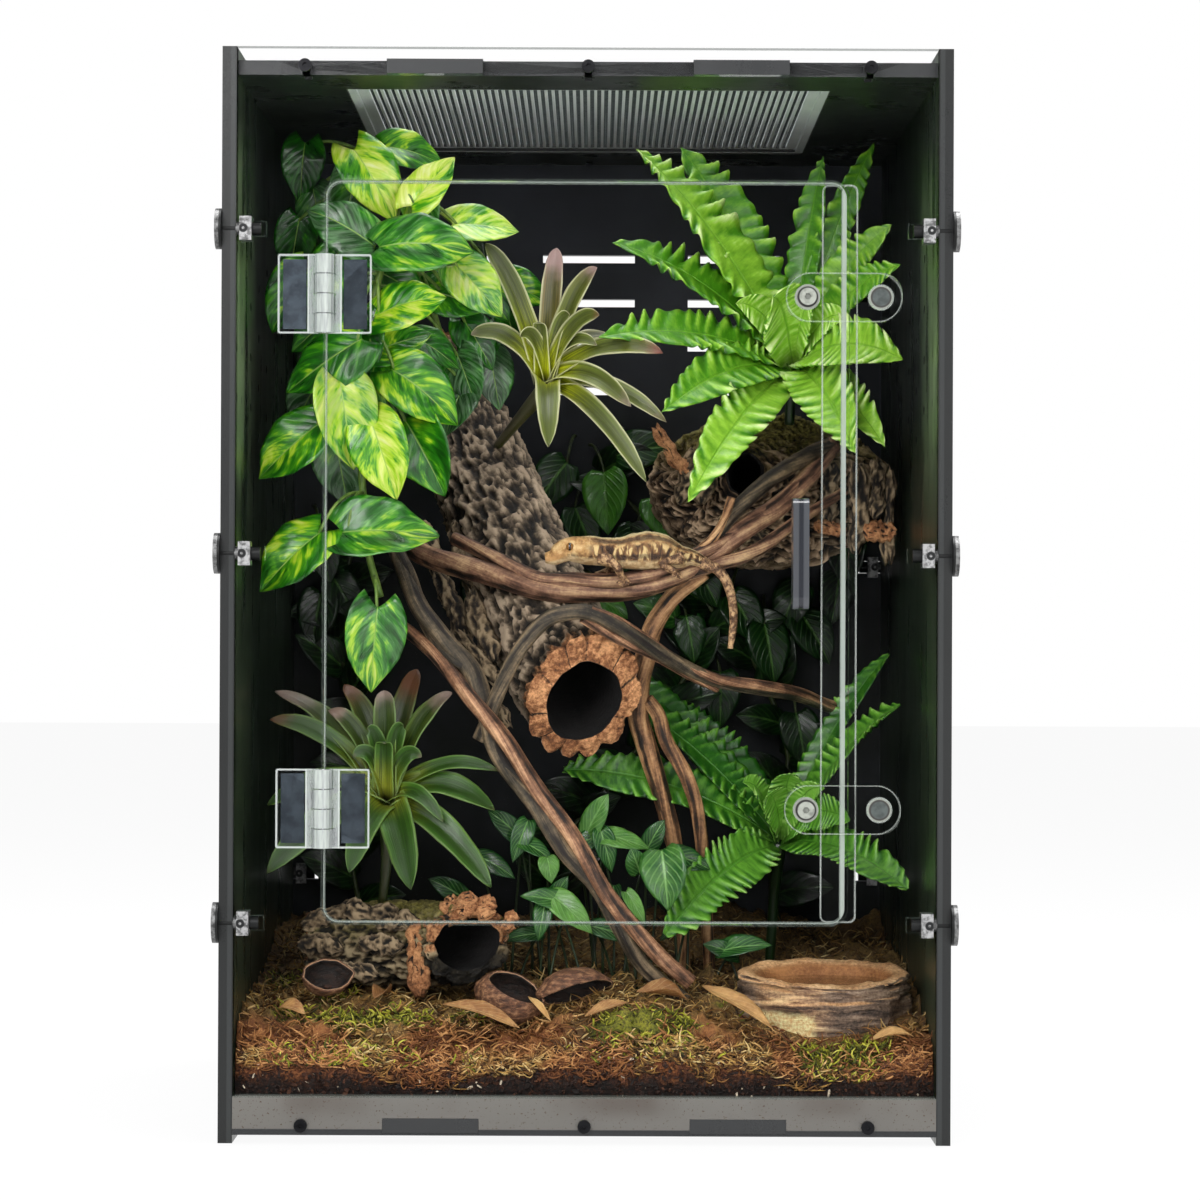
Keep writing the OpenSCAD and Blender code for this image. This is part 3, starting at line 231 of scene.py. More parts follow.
def blade(rows, cols, thick=0.06):
    """Master leaf blade: 1 wide in X, 0 to 1 long in Y, with its thickness in Z."""
    deselect()
    bpy.ops.mesh.primitive_grid_add(x_subdivisions=cols, y_subdivisions=rows, size=1, location=(0, 0.5, 0))
    obj = bpy.context.object
    settle(obj)
    apply_modifier(obj, "SOLIDIFY", thickness=thick, offset=0, use_rim=True)
    return take(obj)


def rod(rows, sides):
    """Master rod: a ring 1 in radius about Y, cut into rows from 0 to 1, with closed ends."""
    deselect()
    bpy.ops.mesh.primitive_cylinder_add(vertices=sides, radius=1, depth=1, end_fill_type="TRIFAN",
                                        location=(0, 0.5, 0), rotation=(-math.pi / 2, 0, 0))
    obj = bpy.context.object
    settle(obj)
    if rows > 1:
        mesh = obj.data
        height = points_of(mesh)[:, 1]
        long_edges = [e.index for e in mesh.edges if abs(height[e.vertices[0]] - height[e.vertices[1]]) > 0.5]

        def cut():
            bpy.ops.mesh.select_mode(type="EDGE")
            bpy.ops.mesh.select_all(action="DESELECT")
            bpy.ops.object.mode_set(mode="OBJECT")
            for index in long_edges:
                mesh.edges[index].select = True
            bpy.ops.object.mode_set(mode="EDIT")
            bpy.ops.mesh.subdivide_edgering(number_cuts=rows - 1, interpolation="LINEAR", smoothness=0)
            bpy.ops.mesh.select_mode(type="VERT")
        edit(obj, cut)
    return take(obj)


def crumb(detail):
    """Master lump: a small round-ish ball, 1 in radius."""
    deselect()
    bpy.ops.mesh.primitive_ico_sphere_add(subdivisions=detail, radius=1)
    return take(bpy.context.object)


def frames_along(path, face=(0, 0, 1)):
    """Tangent, side and face direction at each point of a path, turning as little as possible."""
    tangent = unit(np.gradient(path, axis=0))
    side = unit(np.cross(tangent[0], np.asarray(face, float)))
    sides = []
    for t in tangent:
        side = unit(side - t * np.dot(side, t))
        sides.append(side)
    sides = np.array(sides)
    return tangent, sides, np.cross(sides, tangent)


POINT_VALUES = ("across", "along", "tone", "mark")


class Bunch:
    """Copies of masters, each laid at its own place, gathered into the mesh of one piece."""

    def __init__(self):
        self.points, self.faces, self.values, self.slots = [], [], [], []
        self.count = 0

    def add(self, points, faces, across=0.0, along=0.0, tone=0.0, mark=0.0, slot=0):
        """across and along run over each copy; tone is one number for the copy; mark is free."""
        n = len(points)
        self.points.append(points)
        self.faces += [[i + self.count for i in f] for f in faces]
        self.values.append(np.stack([np.broadcast_to(v, (n,)) for v in (across, along, tone, mark)], axis=1))
        self.slots += [slot] * len(faces)
        self.count += n

    def lay(self, master, path, wide, high=None, face=(0, 0, 1), twist=0.0, shape=None, **values):
        """Bends a copy of the master along the path; wide and high are millimetres, over its length."""
        points, faces = master
        rows = len(path)
        tangent, side, up = frames_along(path, face)
        if np.any(twist):
            roll = spread(twist, rows)[:, None]
            side, up = side * np.cos(roll) + up * np.sin(roll), up * np.cos(roll) - side * np.sin(roll)
        x, y, z = points.T
        if shape is not None:
            x, y, z = shape(x, y, z)
        at_row = reader(y, rows)
        over = lambda sizes: np.interp(y, np.linspace(0, 1, rows), spread(np.asarray(sizes) * MM, rows))
        width = over(wide)
        height = width if high is None else over(high)
        laid = at_row(path) + at_row(side) * (x * width)[:, None] + at_row(up) * (z * height)[:, None]
        laid = laid + at_row(tangent) * ((y - np.clip(y, 0, 1))[:, None] * length_of(path))
        self.add(laid, faces, across=points[:, 0], along=np.clip(points[:, 1], 0, 1), **values)

    def repaint(self, **columns):
        """Gives the last copy other values at its points."""
        for key, column in columns.items():
            self.values[-1][:, POINT_VALUES.index(key)] = column

    def plant(self, name, finishes, slot, *nodes, smooth=True, outward=True):
        """Makes the piece, with its point values and its finishes, and plants it."""
        mesh = bpy.data.meshes.new(name)
        mesh.from_pydata(np.vstack(self.points).tolist(), [], self.faces)
        mesh.polygons.foreach_set("material_index", self.slots)
        mesh.polygons.foreach_set("use_smooth", [smooth] * len(self.faces))
        for finish in finishes if isinstance(finishes, list) else [finishes]:
            mesh.materials.append(finish)
        give_values(mesh, zip(POINT_VALUES, np.vstack(self.values).T))
        mesh.validate()
        obj = bpy.data.objects.new(name, mesh)
        bpy.context.scene.collection.objects.link(obj)
        if outward:
            face_outward(obj)
        plant(obj, slot, *nodes)


def give_values(mesh, pairs):
    """Adds named numbers to a mesh's points."""
    for key, values in pairs:
        values = np.array(values, np.float32)
        mesh.attributes.new(key, "FLOAT", "POINT").data.foreach_set("value", values)


def face_outward(obj):
    """Turns the faces of a closed piece outward."""
    edit(obj, lambda: bpy.ops.mesh.normals_make_consistent(inside=False))


def plant(obj, slot, *nodes):
    """Gives a piece its body and hides the nodes it stands for; its slot is not used."""
    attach(obj, "cabinet")
    if nodes:
        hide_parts(*nodes)


def dress(obj, points, finish, slot, node, **values):
    """Finishes a piece that was modelled in place: its points, its values, its skin and its node."""
    mesh = obj.data
    move_points(mesh, points)
    give_values(mesh, values.items())
    face_outward(obj)
    mesh.polygons.foreach_set("use_smooth", [True] * len(mesh.polygons))
    mesh.materials.append(finish)
    plant(obj, slot, node)


# ---- Shader maths ----

def rgb(red, green, blue):
    """A colour from 0 to 255 levels, as the linear values that sockets take."""
    def linear(c):
        c /= 255
        return c / 12.92 if c <= 0.04045 else ((c + 0.055) / 1.055) ** 2.4
    return (linear(red), linear(green), linear(blue), 1.0)


def colour_of(value):
    """Three levels become a colour; a finished colour or a link stays as it is."""
    return rgb(*value) if isinstance(value, (tuple, list)) and len(value) == 3 else value


def dim(levels, share):
    return [c * share for c in levels]


def between(first, second):
    return [(p + q) / 2 for p, q in zip(first, second)]


class Value:
    """A number that varies over a surface; its operators add Math nodes."""

    def __init__(self, finish, socket):
        self.finish, self.socket = finish, socket

    def math(self, operation, *others, swap=False):
        terms = [self, *others]
        if swap:
            terms.reverse()
        return self.finish.node("Math", dict(enumerate(terms)), operation=operation)

    def __add__(self, other):
        return self.math("ADD", other)

    def __sub__(self, other):
        return self.math("SUBTRACT", other)

    def __rsub__(self, other):
        return self.math("SUBTRACT", other, swap=True)

    def __mul__(self, other):
        return self.math("MULTIPLY", other)

    def __truediv__(self, other):
        return self.math("DIVIDE", other)

    def __pow__(self, other):
        return self.math("POWER", other)

    __radd__ = __add__
    __rmul__ = __mul__

    def over(self, other):
        return self.math("MAXIMUM", other)

    def size(self):
        return self.math("ABSOLUTE")

    def step(self, low, high):
        """Rises softly from 0 at low to 1 at high; low may be the greater."""
        ends = {"Value": self, "From Min": low, "From Max": high}
        return self.finish.node("MapRange", ends, interpolation_type="SMOOTHSTEP")

    def line(self, low, high):
        """Rises evenly from 0 at low to 1 at high."""
        return self.finish.node("MapRange", {"Value": self, "From Min": low, "From Max": high})


class Finish:
    """A material, or another node tree, built from nodes."""

    def __init__(self, name, tree=None):
        if tree is None:
            self.material = bpy.data.materials.new(name)
            self.material.use_nodes = True
            tree = self.material.node_tree
        self.tree = tree
        self.tree.nodes.clear()
        self.kept = {}

    def node(self, kind, sockets=None, output=0, stops=(), **settings):
        """Adds one node with its settings, then the values or links of its sockets."""
        node = self.tree.nodes.new("ShaderNode" + kind)
        for key, value in settings.items():
            setattr(node, key, value)
        if stops:
            ramp = node.color_ramp
            while len(ramp.elements) < len(stops):
                ramp.elements.new(0.5)
            for element, (place, colour) in zip(ramp.elements, stops):
                element.position = place
                element.color = colour_of(colour)
        for key, value in (sockets or {}).items():
            if isinstance(value, Value):
                self.tree.links.new(value.socket, node.inputs[key])
            else:
                node.inputs[key].default_value = value
        return Value(self, node.outputs[output] if node.outputs else None)

    def keep(self, key, make):
        if key not in self.kept:
            self.kept[key] = make()
        return self.kept[key]

    def place(self):
        return self.keep("place", lambda: self.node("TexCoord", output="Object"))

    def part(self, key, whole, name):
        split = self.keep(key, lambda: self.node("SeparateXYZ", {0: whole()}))
        return Value(self, split.socket.node.outputs[name])

    def axis(self, name):
        return self.part("split", self.place, name)

    def normal(self, name):
        return self.part("normal", lambda: self.node("NewGeometry", output="Normal"), name)

    def point(self, name):
        """One of the piece's own values at each point."""
        make = lambda: self.node("Attribute", output="Fac", attribute_name=name, attribute_type="GEOMETRY")
        return self.keep("point " + name, make)

    def points(self, *names):
        return [self.point(name) for name in names]

    def rays(self, *kinds):
        """1 for rays of the given kinds, and 0 for the rest."""
        outputs = self.node("LightPath").socket.node.outputs
        first, *others = [Value(self, outputs[f"Is {kind} Ray"]) for kind in kinds]
        for other in others:
            first = first.over(other)
        return first

    def vector(self, x, y, z):
        return self.node("CombineXYZ", {0: x, 1: y, 2: z})

    def stretch(self, x, y, z):
        """Object coordinates, scaled along each axis."""
        return self.node("Mapping", {"Vector": self.place(), "Scale": (x, y, z)})

    def noise(self, size, detail=3.0, roughness=0.55, distortion=0.0, vector=None):
        """Cloudy noise with features of the given size in metres, from 0 to 1."""
        sockets = {"Vector": vector or self.place(), "Scale": 1 / size, "Detail": detail,
                   "Roughness": roughness, "Distortion": distortion}
        return self.node("TexNoise", sockets)

    def cells(self, size, vector=None):
        """Distance from the middles of scattered cells of the given size."""
        return self.node("TexVoronoi", {"Vector": vector or self.place(), "Scale": 1 / size}, "Distance")

    def mix(self, first, second, share):
        """One colour turning into another."""
        sockets = {0: share, 6: colour_of(first), 7: colour_of(second)}
        return self.node("Mix", sockets, output=2, data_type="RGBA", clamp_factor=True)

    def ramp(self, share, *stops):
        return self.node("ValToRGB", {0: share}, stops=stops)

    def bump(self, height, depth, strength=1.0):
        """Relief of the given depth in metres."""
        return self.node("Bump", {"Height": height, "Distance": depth, "Strength": strength})

    def surface(self, colour, roughness, bump=None, **sockets):
        """The whole material; sockets are named as on the shader, with _ for a space."""
        values = {"Base Color": colour_of(colour), "Roughness": roughness}
        if bump is not None:
            values["Normal"] = bump
        values.update({key.replace("_", " "): value for key, value in sockets.items()})
        self.node("OutputMaterial", {"Surface": self.node("BsdfPrincipled", values)})
        return self.material


def put_on(finish, *nodes):
    """Gives CAD nodes a finish."""
    for name in nodes:
        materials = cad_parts[name].data.materials
        materials.clear()
        materials.append(finish)


# ---- Cabinet finishes ----

def black_sheet_finish(look):
    """Satin black plastic sheet: fine grain, handling marks, painted green reflection inside, greyer cut
    edges.
    """
    f = Finish("black_sheet")
    front = f.normal("Y").size().step(0.6, 0.9)
    top = f.normal("Z").size().step(0.6, 0.9) * f.axis("Z").step(0.2, 0.21)
    cut = front.over(top * 0.6)
    grain = f.noise(0.0004, 2, 0.6)
    marks = f.noise(0.03, 4, 0.6, vector=f.stretch(1, 1, 0.25))
    across = f.axis("X").size()
    half = SIDE_INNER
    inside = f.normal("X").size().step(0.5, 0.9) * across.step(half + 0.0006, half + 0.0003)
    # Painted reflection: a pale green sheen on the inner side faces near the front, high up and low down.
    lit = f.axis("Z").step(0.25, 0.32) * f.axis("Z").step(0.43, 0.39).over(f.axis("Z").step(0.17, 0.1))
    lit = (lit * 0.75 + 0.1) * f.axis("Y").step(FRONT + 0.1, FRONT + 0.03)
    wall = f.mix((40, 50, 40), (150, 172, 130), (marks * 1.3 - 0.15).step(0.25, 0.7) * lit)
    # Painted reflection: the ceiling is tinted dark green.
    ceiling = f.normal("Z").size().step(0.5, 0.9) * f.axis("Z").step(0.4, 0.41)
    colour = f.mix(look.sheet_colour[:] + (1,), (40, 54, 42), ceiling)
    colour = f.mix(colour, wall, inside)
    pitch = 0.0208
    from_middle = lambda key, shift: ((f.axis(key) / pitch + shift).math("FRACT") - 0.5) ** 2
    holes = (from_middle("Y", 0.3) + from_middle("Z", 0.55)).step(0.009, 0.006)
    holes = holes * f.axis("Z").step(0.27, 0.28) * f.axis("Y").step(0.02, 0.01)
    colour = f.mix(colour, (6, 7, 7), holes * inside * 0.9)
    strip = across.step(half + 0.0026, half + 0.0022) * across.step(half + 0.0003, half + 0.0007)
    sheet = f.mix((36, 37, 37), (52, 54, 54), strip)
    edge = f.mix((54, 55, 56), sheet, across.step(half - 0.0003, half))
    colour = f.mix(colour, edge, cut * 0.9)
    rough = marks.line(0.3, 0.7) * 0.12 + grain * 0.08 + 0.2
    return f.surface(colour, rough, f.bump(grain, 0.00006, 0.4), Specular_IOR_Level=0.3)


def back_sheet_finish():
    """The back panel's blue-black plastic, lighter and bluer towards the top as painted light."""
    f = Finish("back_sheet")
    cloud = f.noise(0.05, 3, 0.5)
    grain = f.noise(0.0005, 2, 0.6)
    # Painted light: the panel grows lighter and bluer towards the top.
    high = f.axis("Z").step(0.2, 0.42)
    colour = f.mix((18, 22, 19), (60, 62, 70), cloud.step(0.35, 0.7) * 0.4 + high * 0.6)
    return f.surface(colour, grain * 0.1 + 0.34, f.bump(grain, 0.00005, 0.4), Specular_IOR_Level=0.2)


def clear_finish(name, tint, lines=None, milk=0.0, band=None):
    """Clear acrylic: nearly unseen on its face, with painted highlights at its cut edges and along polished
    arrises.
    """
    f = Finish(name)
    cut = 1 - f.normal("Y").size().step(0.3, 0.8)
    gloss = f.node("Fresnel", {"IOR": 1.45})
    film = f.noise(0.08, 3, 0.6, vector=f.stretch(1, 1, 0.3))
    # Painted highlight: the cut edges show as a pale, nearly opaque sheen.
    alpha = (film.step(0.45, 0.8) * 0.0006 + milk + gloss * gloss * 0.17).over(cut * 0.6)
    colour = tint
    if lines is not None:
        # Painted highlight lines, drawn pale and nearly opaque.
        highlight_mask = lines(f)
        alpha = alpha.over(highlight_mask)
        colour = f.mix(colour, (186, 194, 186), highlight_mask)
    if band is not None:
        # Painted reflection: a grey veil over the foot of the front sheet, with specks of soil seen through
        # it.
        low = f.axis("Z").step(band + 0.0006, band - 0.0006)
        specks = f.noise(0.0012, 2, 0.7).step(0.62, 0.7)
        cloud = f.mix((106, 103, 98), (88, 81, 75), film.step(0.4, 0.6) * f.axis("Z").step(0.008, 0.017))
        colour = f.mix(colour, f.mix(cloud, (76, 60, 48), specks), low)
        # Painted shadow: the very foot of the sheet is darkened.
        foot = corners("front_panel")[0][1]
        colour = f.mix(colour, (34, 36, 38), f.axis("Z").step(foot + 0.0028, foot + 0.0022))
        alpha = alpha.over(low * 0.94)
    return f.surface(colour, film * 0.03 + 0.02, None, Alpha=alpha, IOR=1.49)


def outline(f, low, high, radius, width, bright):
    """A painted highlight line just inside a rounded rectangle in X and Z, given by its corners in metres."""
    half = [(b - a) / 2 - radius for a, b in zip(low, high)]
    x, z = [((f.axis(key) - (low[k] + high[k]) / 2).size() - half[k]).over(0.0) for k, key in enumerate("XZ")]
    away = (x * x + z * z) ** 0.5
    inner, fade = radius - width, width * 0.3
    return away.step(inner - fade, inner + fade) * away.step(radius + fade, radius) * bright


def reach_from(f, x, z):
    """Distance from a line along Y, seen from the front."""
    return ((f.axis("X") - x) ** 2 + (f.axis("Z") - z) ** 2) ** 0.5


def corners(node):
    low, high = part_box(node)
    return (low.x, low.z), (high.x, high.z)


def grown(box, by):
    return tuple(v - by for v in box[0]), tuple(v + by for v in box[1])


def metal_finish(name, levels, rough):
    """Machined metal with fine turning marks and dulled patches."""
    f = Finish(name)
    marks = f.noise(0.0008, 3, 0.7, vector=f.stretch(1, 4, 1))
    dull = f.noise(0.004, 3, 0.6)
    colour = rgb(*levels)
    tone = f.mix(colour, tuple(dim(colour[:3], 0.6)) + (1,), dull.step(0.45, 0.75))
    return f.surface(tone, marks * 0.15 + rough, f.bump(marks, 0.00004, 0.5), Metallic=1.0)


def finish_door(look):
    """The clear front sheet with the door's saw cut, the door and its stop strip."""
    door, stop = corners("door_panel"), corners("door_stop_strip")
    corner = look.door_corner
    glass = (120, 132, 124)

    # Painted highlight lines: round the door and along its right edge, at the saw cut, and round the stop
    # strip.
    def door_highlights(f):
        ring = outline(f, *door, corner, 0.0005, 0.5)
        right = f.axis("X").step(door[1][0] - 0.0021, door[1][0] - 0.0016)
        return ring.over(right * 0.62 * f.normal("Y").size().step(0.3, 0.8))
    kerf_highlight = lambda f: outline(f, *grown(door, 0.001), corner + 0.001, 0.0005, 0.12)
    stop_highlights = lambda f: outline(f, *stop, 0.003, 0.0006, 0.4)
    put_on(clear_finish("clear_front", glass, kerf_highlight, band=look.reflection_band_top), "front_panel")
    put_on(clear_finish("clear_door", glass, door_highlights), "door_panel")
    put_on(clear_finish("clear_stop", (190, 196, 192), stop_highlights, 0.003), "door_stop_strip")


def finish_side(side):
    """The upper or lower latch and hinge."""
    tab = corners(side + "_latch_tab")
    discs = [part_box(f"{side}_latch_{part}") for part in ("magnet", "pivot")]
    spots = [((low.x + high.x) / 2, (low.z + high.z) / 2) for low, high in discs]

    # Painted highlight lines round the tab and round the holes for its discs.
    def tab_highlights(f):
        highlight_mask = outline(f, *tab, (tab[1][1] - tab[0][1]) / 2, 0.0004, 0.2)
        for spot in spots:
            away = reach_from(f, *spot)
            highlight_mask = highlight_mask.over(away.step(0.0046, 0.0049) * away.step(0.0055, 0.0052) * 0.35)
        return highlight_mask
    put_on(clear_finish(side + "_latch_clear", (200, 208, 200), tab_highlights), side + "_latch_tab")
    for part, spot, face in zip(("magnet", "pivot"), spots, ((76, 84, 82), (158, 162, 152))):
        put_on(disc_finish(side + "_" + part, face, spot), f"{side}_latch_{part}")
    hinge = clear_finish(side + "_hinge_clear", (196, 200, 204), hinge_highlights(side), 0.003)
    put_on(hinge, side + "_hinge_frame_leaf", side + "_hinge_door_leaf")
    put_on(pad_finish(side), side + "_hinge_frame_pad", side + "_hinge_door_pad")


def finish_cabinet(look):
    """Puts the cabinet's finishes on its CAD nodes."""
    put_on(black_sheet_finish(look), "base_panel", "roof_panel", "left_side_panel", "right_side_panel")
    put_on(back_sheet_finish(), "back_panel")
    finish_door(look)
    finish_side("upper")
    finish_side("lower")
    put_on(smoke_finish(), "door_pull")
    put_on(vent_finish(look), "vent_frame", "roof_vent_grille")
    put_on(disc_finish("keeper_magnet", (110, 112, 120)), "upper_keeper_magnet", "lower_keeper_magnet")
    put_on(metal_finish("bright_steel", (205, 206, 208), 0.18), "upper_hinge_pin", "lower_hinge_pin")
    put_on(zinc_finish("bolt_steel", 124, True), "side_connector_bolts")
    put_on(zinc_finish("nut_steel", 168, False), "side_square_nuts")
    put_on(metal_finish("black_steel", (38, 38, 40), 0.3), "front_sheet_screws", "back_sheet_screws")
    put_on(metal_finish("blackened_nuts", (10, 10, 11), 0.6), "sheet_square_nuts")


def hinge_highlights(side):
    """Painted highlight lines at the rims of both hinge leaves, and a painted sheen and glint along the
    barrel.
    """
    lows, highs = zip(*[corners(f"{side}_hinge_{part}_leaf") for part in ("frame", "door")])
    low, high = [min(v) for v in zip(*lows)], [max(v) for v in zip(*highs)]
    pin = sum(corner.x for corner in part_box(side + "_hinge_pin")) / 2
    knuckles = 4

    def lines(f):
        rim = outline(f, low, high, 0.0013, 0.0007, 0.6)
        barrel = (f.axis("X") - pin).size()
        # Painted sheen over the barrel, streaked and broken at the knuckle joints.
        core = barrel.step(0.0038, 0.0026) * 0.9
        barrel_sheen = barrel.step(0.0072, 0.0068) * 0.5
        glint = barrel.step(0.0064, 0.0066) * barrel.step(0.0072, 0.007) * 0.8
        streak = f.noise(0.0012, 2, 0.6, vector=f.stretch(1, 1, 0.1)).line(0.25, 0.7)
        knuckle = ((f.axis("Z") - low[1]) * (knuckles / (high[1] - low[1]))).math("FRACT")
        joint = knuckle.step(0.95, 0.98).over(knuckle.step(0.04, 0.01)) * barrel.step(0.005, 0.0046)
        return rim.over(glint).over(core.over(barrel_sheen) * (streak * 0.5 + 0.5) * (1 - joint * 0.7))
    return lines


def pad_finish(side):
    """Blue-grey adhesive pad seen through the hinge leaf."""
    f = Finish(side + "_hinge_pad")
    cloud = f.noise(0.006, 3, 0.6)
    bubbles = f.cells(0.0016).step(0.32, 0.12)
    colour = f.mix((50, 57, 64), (72, 80, 88), cloud.step(0.3, 0.7))
    colour = f.mix(colour, (92, 98, 106), bubbles * 0.2)
    return f.surface(colour, 0.85, f.bump(cloud, 0.00005, 0.4), Specular_IOR_Level=0.1)


def smoke_finish():
    """Dark smoked acrylic of the door pull."""
    f = Finish("smoke_acrylic")
    face = f.normal("Y").size().step(0.5, 0.9)
    film = f.noise(0.01, 2, 0.5, vector=f.stretch(1, 1, 0.2))
    low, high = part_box("door_pull")
    groove = (f.axis("X") - (low.x + high.x) / 2).size().step(0.0014, 0.0006)
    colour = f.mix((84, 86, 92), (72, 74, 78), face)
    colour = f.mix(colour, (38, 40, 46), groove)
    return f.surface(colour, film * 0.08 + 0.1, Alpha=face * 0.04 + 0.92)


def vent_finish(look):
    """Grey painted metal of the vent, with a fine orange-peel skin and painted shade on its slots' end walls.
    """
    f = Finish("vent_metal")
    skin = f.noise(0.0006, 2, 0.5)
    dust = f.noise(0.02, 4, 0.6)
    colour = f.mix(look.vent_colour[:] + (1,), (236, 240, 240), dust.step(0.4, 0.75) * 0.5)
    colour = f.mix(colour, (112, 116, 116), f.normal("Z").step(0.3, 0.7))
    # Painted shade: the end walls of the slots, which the light from above would show bright, are darkened.
    ends = f.normal("Y").size().step(0.5, 0.8) * f.axis("Y").step(CAD_BOX[0][1] + 0.03, CAD_BOX[0][1] + 0.04)
    colour = f.mix(colour, (30, 32, 32), ends)
    return f.surface(colour, skin * 0.1 + 0.4, f.bump(skin, 0.00004, 0.5))


def disc_finish(name, face, middle=None):
    """Plated disc: a scuffed face inside a painted-shade groove and a painted-highlight rim when its middle
    is given.
    """
    f = Finish(name)
    scuffs = f.noise(0.0009, 4, 0.7)
    patch = f.noise(0.003, 2, 0.5)
    colour = f.mix(face, dim(face, 0.75), patch.step(0.35, 0.7))
    if middle is not None:
        away = reach_from(f, *middle)
        # Painted shade in the groove, then a painted highlight on the rim.
        colour = f.mix(colour, (52, 50, 48), away.step(0.0034, 0.0037))
        colour = f.mix(colour, (140, 144, 134), away.step(0.0042, 0.0045))
    return f.surface(colour, scuffs * 0.3 + 0.35, f.bump(scuffs, 0.00003, 0.5), Metallic=0.2)


# Heights of the side nuts' middles, in metres
NUT_HEIGHTS = (0.0915, 0.2455, CAD_BOX[1][2] - 0.076)


def zinc_finish(name, level, threaded):
    """Worn zinc; as painted shade, bolts are dark in the sheets and at the thread's end, nuts round their
    holes.
    """
    f = Finish(name)
    across = f.axis("X").size()
    half = SIDE_INNER
    nut_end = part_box("side_square_nuts")[1].x
    worn = f.noise(0.0025, 4, 0.7)
    colour = f.mix([level * 0.5] * 3, [level] * 3, worn.step(0.36, 0.6))
    # Painted shade where the bolt lies in the sheet and past the nut.
    in_sheet = across.step(half + 0.0072, half + 0.0068) * across.step(half + 0.0001, half + 0.0004)
    hidden_shade = in_sheet.over(across.step(nut_end - 0.0047, nut_end - 0.0052)) if threaded else in_sheet
    colour = f.mix(colour, (24, 25, 25), hidden_shade)
    for z in () if threaded else NUT_HEIGHTS:
        # Painted shade in the nut's hole.
        away = ((f.axis("Z") - z) ** 2 + (across - nut_end + 0.0016) ** 2) ** 0.5
        colour = f.mix(colour, (30, 31, 32), away.step(0.0021, 0.0016) * away.step(0.0004, 0.0007))
    return f.surface(colour, worn * 0.3 + 0.3, f.bump(worn, 0.0002, 0.6), Metallic=0.55)


def build_gauze():
    """Fine wire gauze lying over the vent's slots."""
    low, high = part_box("roof_vent_grille")
    wires = Bunch()
    wire = rod(1, 4)
    pitch, thick = 1.3 * MM, 0.16
    for across in (True, False):
        first, last = (low.x, high.x) if across else (low.y, high.y)
        z = high.z + thick * MM * (0.9 if across else 2.1)
        for k in range(int((last - first) / pitch)):
            place = first + pitch * (k + 0.5)
            start, end = ((place, low.y), (place, high.y)) if across else ((low.x, place), (high.x, place))
            wires.lay(wire, np.array([(*start, z), (*end, z)]), thick, tone=0.5)
    wires.plant("vent_gauze", metal_finish("gauze_wire", (92, 98, 98), 0.45), "vent_metal", outward=False)


# ---- Stage ----

def stage_finish(name, colour, white):
    """Pale matt surface that shows white to the camera and in glass and metal."""
    f = Finish(name)
    matt = f.node("BsdfDiffuse", {"Color": colour})
    bright = f.node("Emission", {"Color": (1, 1, 1, 1), "Strength": 1.0})
    share = f.rays("Camera", "Glossy", "Transmission") * white
    f.node("OutputMaterial", {"Surface": f.node("MixShader", {0: share, 1: matt, 2: bright})})
    return f.material


def build_world(level):
    """Even soft light all round, which shows white to the camera and through glass."""
    world = bpy.data.worlds.new("studio")
    bpy.context.scene.world = world
    world.use_nodes = True
    f = Finish("studio", world.node_tree)
    soft = f.node("Background", {"Color": (0.97, 0.98, 1.0, 1), "Strength": level})
    white = f.node("Background", {"Color": (1, 1, 1, 1), "Strength": 1.0})
    both = f.node("MixShader", {0: f.rays("Camera", "Transmission"), 1: soft, 2: white})
    f.node("OutputWorld", {"Surface": both})


def softbox(name, place, target, size, power):
    """A rectangular area light at a place, facing its target."""
    data = bpy.data.lights.new(name, "AREA")
    data.shape = "RECTANGLE"
    data.size, data.size_y = size
    data.energy = power
    lamp = bpy.data.objects.new(name, data)
    bpy.context.scene.collection.objects.link(lamp)
    aim = (Vector(target) - Vector(place)).to_track_quat("-Z", "Y").to_matrix().to_4x4()
    lamp.matrix_world = Matrix.Translation(Vector(place)) @ aim


class TERRARIUM_OT_stage(bpy.types.Operator):
    """Adds the floor, backdrop, lights and camera"""

    bl_idname = "terrarium.stage"
    bl_label = "Stage, Lights and Camera"

    def execute(self, context):
        look = context.scene.terrarium_look
        context.scene.view_settings.view_transform = "Standard"
        deselect()
        bpy.ops.mesh.primitive_plane_add(size=12, location=(0, 0, -0.0003))
        floor = context.object
        floor.name = "floor"
        settle(floor)
        floor.data.materials.append(stage_finish("floor_white", (0.86, 0.86, 0.86, 1), look.floor_white))
        build_world(look.world_level)
        softbox("key", (-0.75, -1.9, 1.15), (0, 0, 0.22), (1.1, 1.1), look.key_power)
        softbox("fill", (0.95, -1.8, 0.6), (0, 0, 0.22), (1.0, 1.2), look.fill_power)
        softbox("top", (0.1, 0.05, 1.5), (0, 0, 0.3), (0.9, 0.9), look.top_power)
        camera = bpy.data.cameras.new("camera")
        camera.sensor_width = 36
        camera.lens = look.lens
        camera.clip_start = 0.05
        eye = bpy.data.objects.new("camera", camera)
        context.scene.collection.objects.link(eye)
        eye.matrix_world = camera_turn()
        context.scene.camera = eye
        return {"FINISHED"}


def camera_turn():
    """The camera's matrix: level with the tank's middle, a hair off square."""
    pitch, yaw, roll = 0.0063, -0.0015, 0.0040
    turn = lambda angle, axis: np.array(Matrix.Rotation(angle, 3, axis))
    base = turn(roll, "Y") @ turn(-pitch, "X") @ turn(-yaw, "Z")
    right, forward, up = base
    axes = Matrix(np.stack([right, up, -forward], axis=1).tolist()).to_4x4()
    return Matrix.Translation((0.0035155, -1.64183, 0.217232)) @ axes


# ---- Ground ----

SOIL_DEPTH = 33.0
MOSS_DEPTH = 7.0
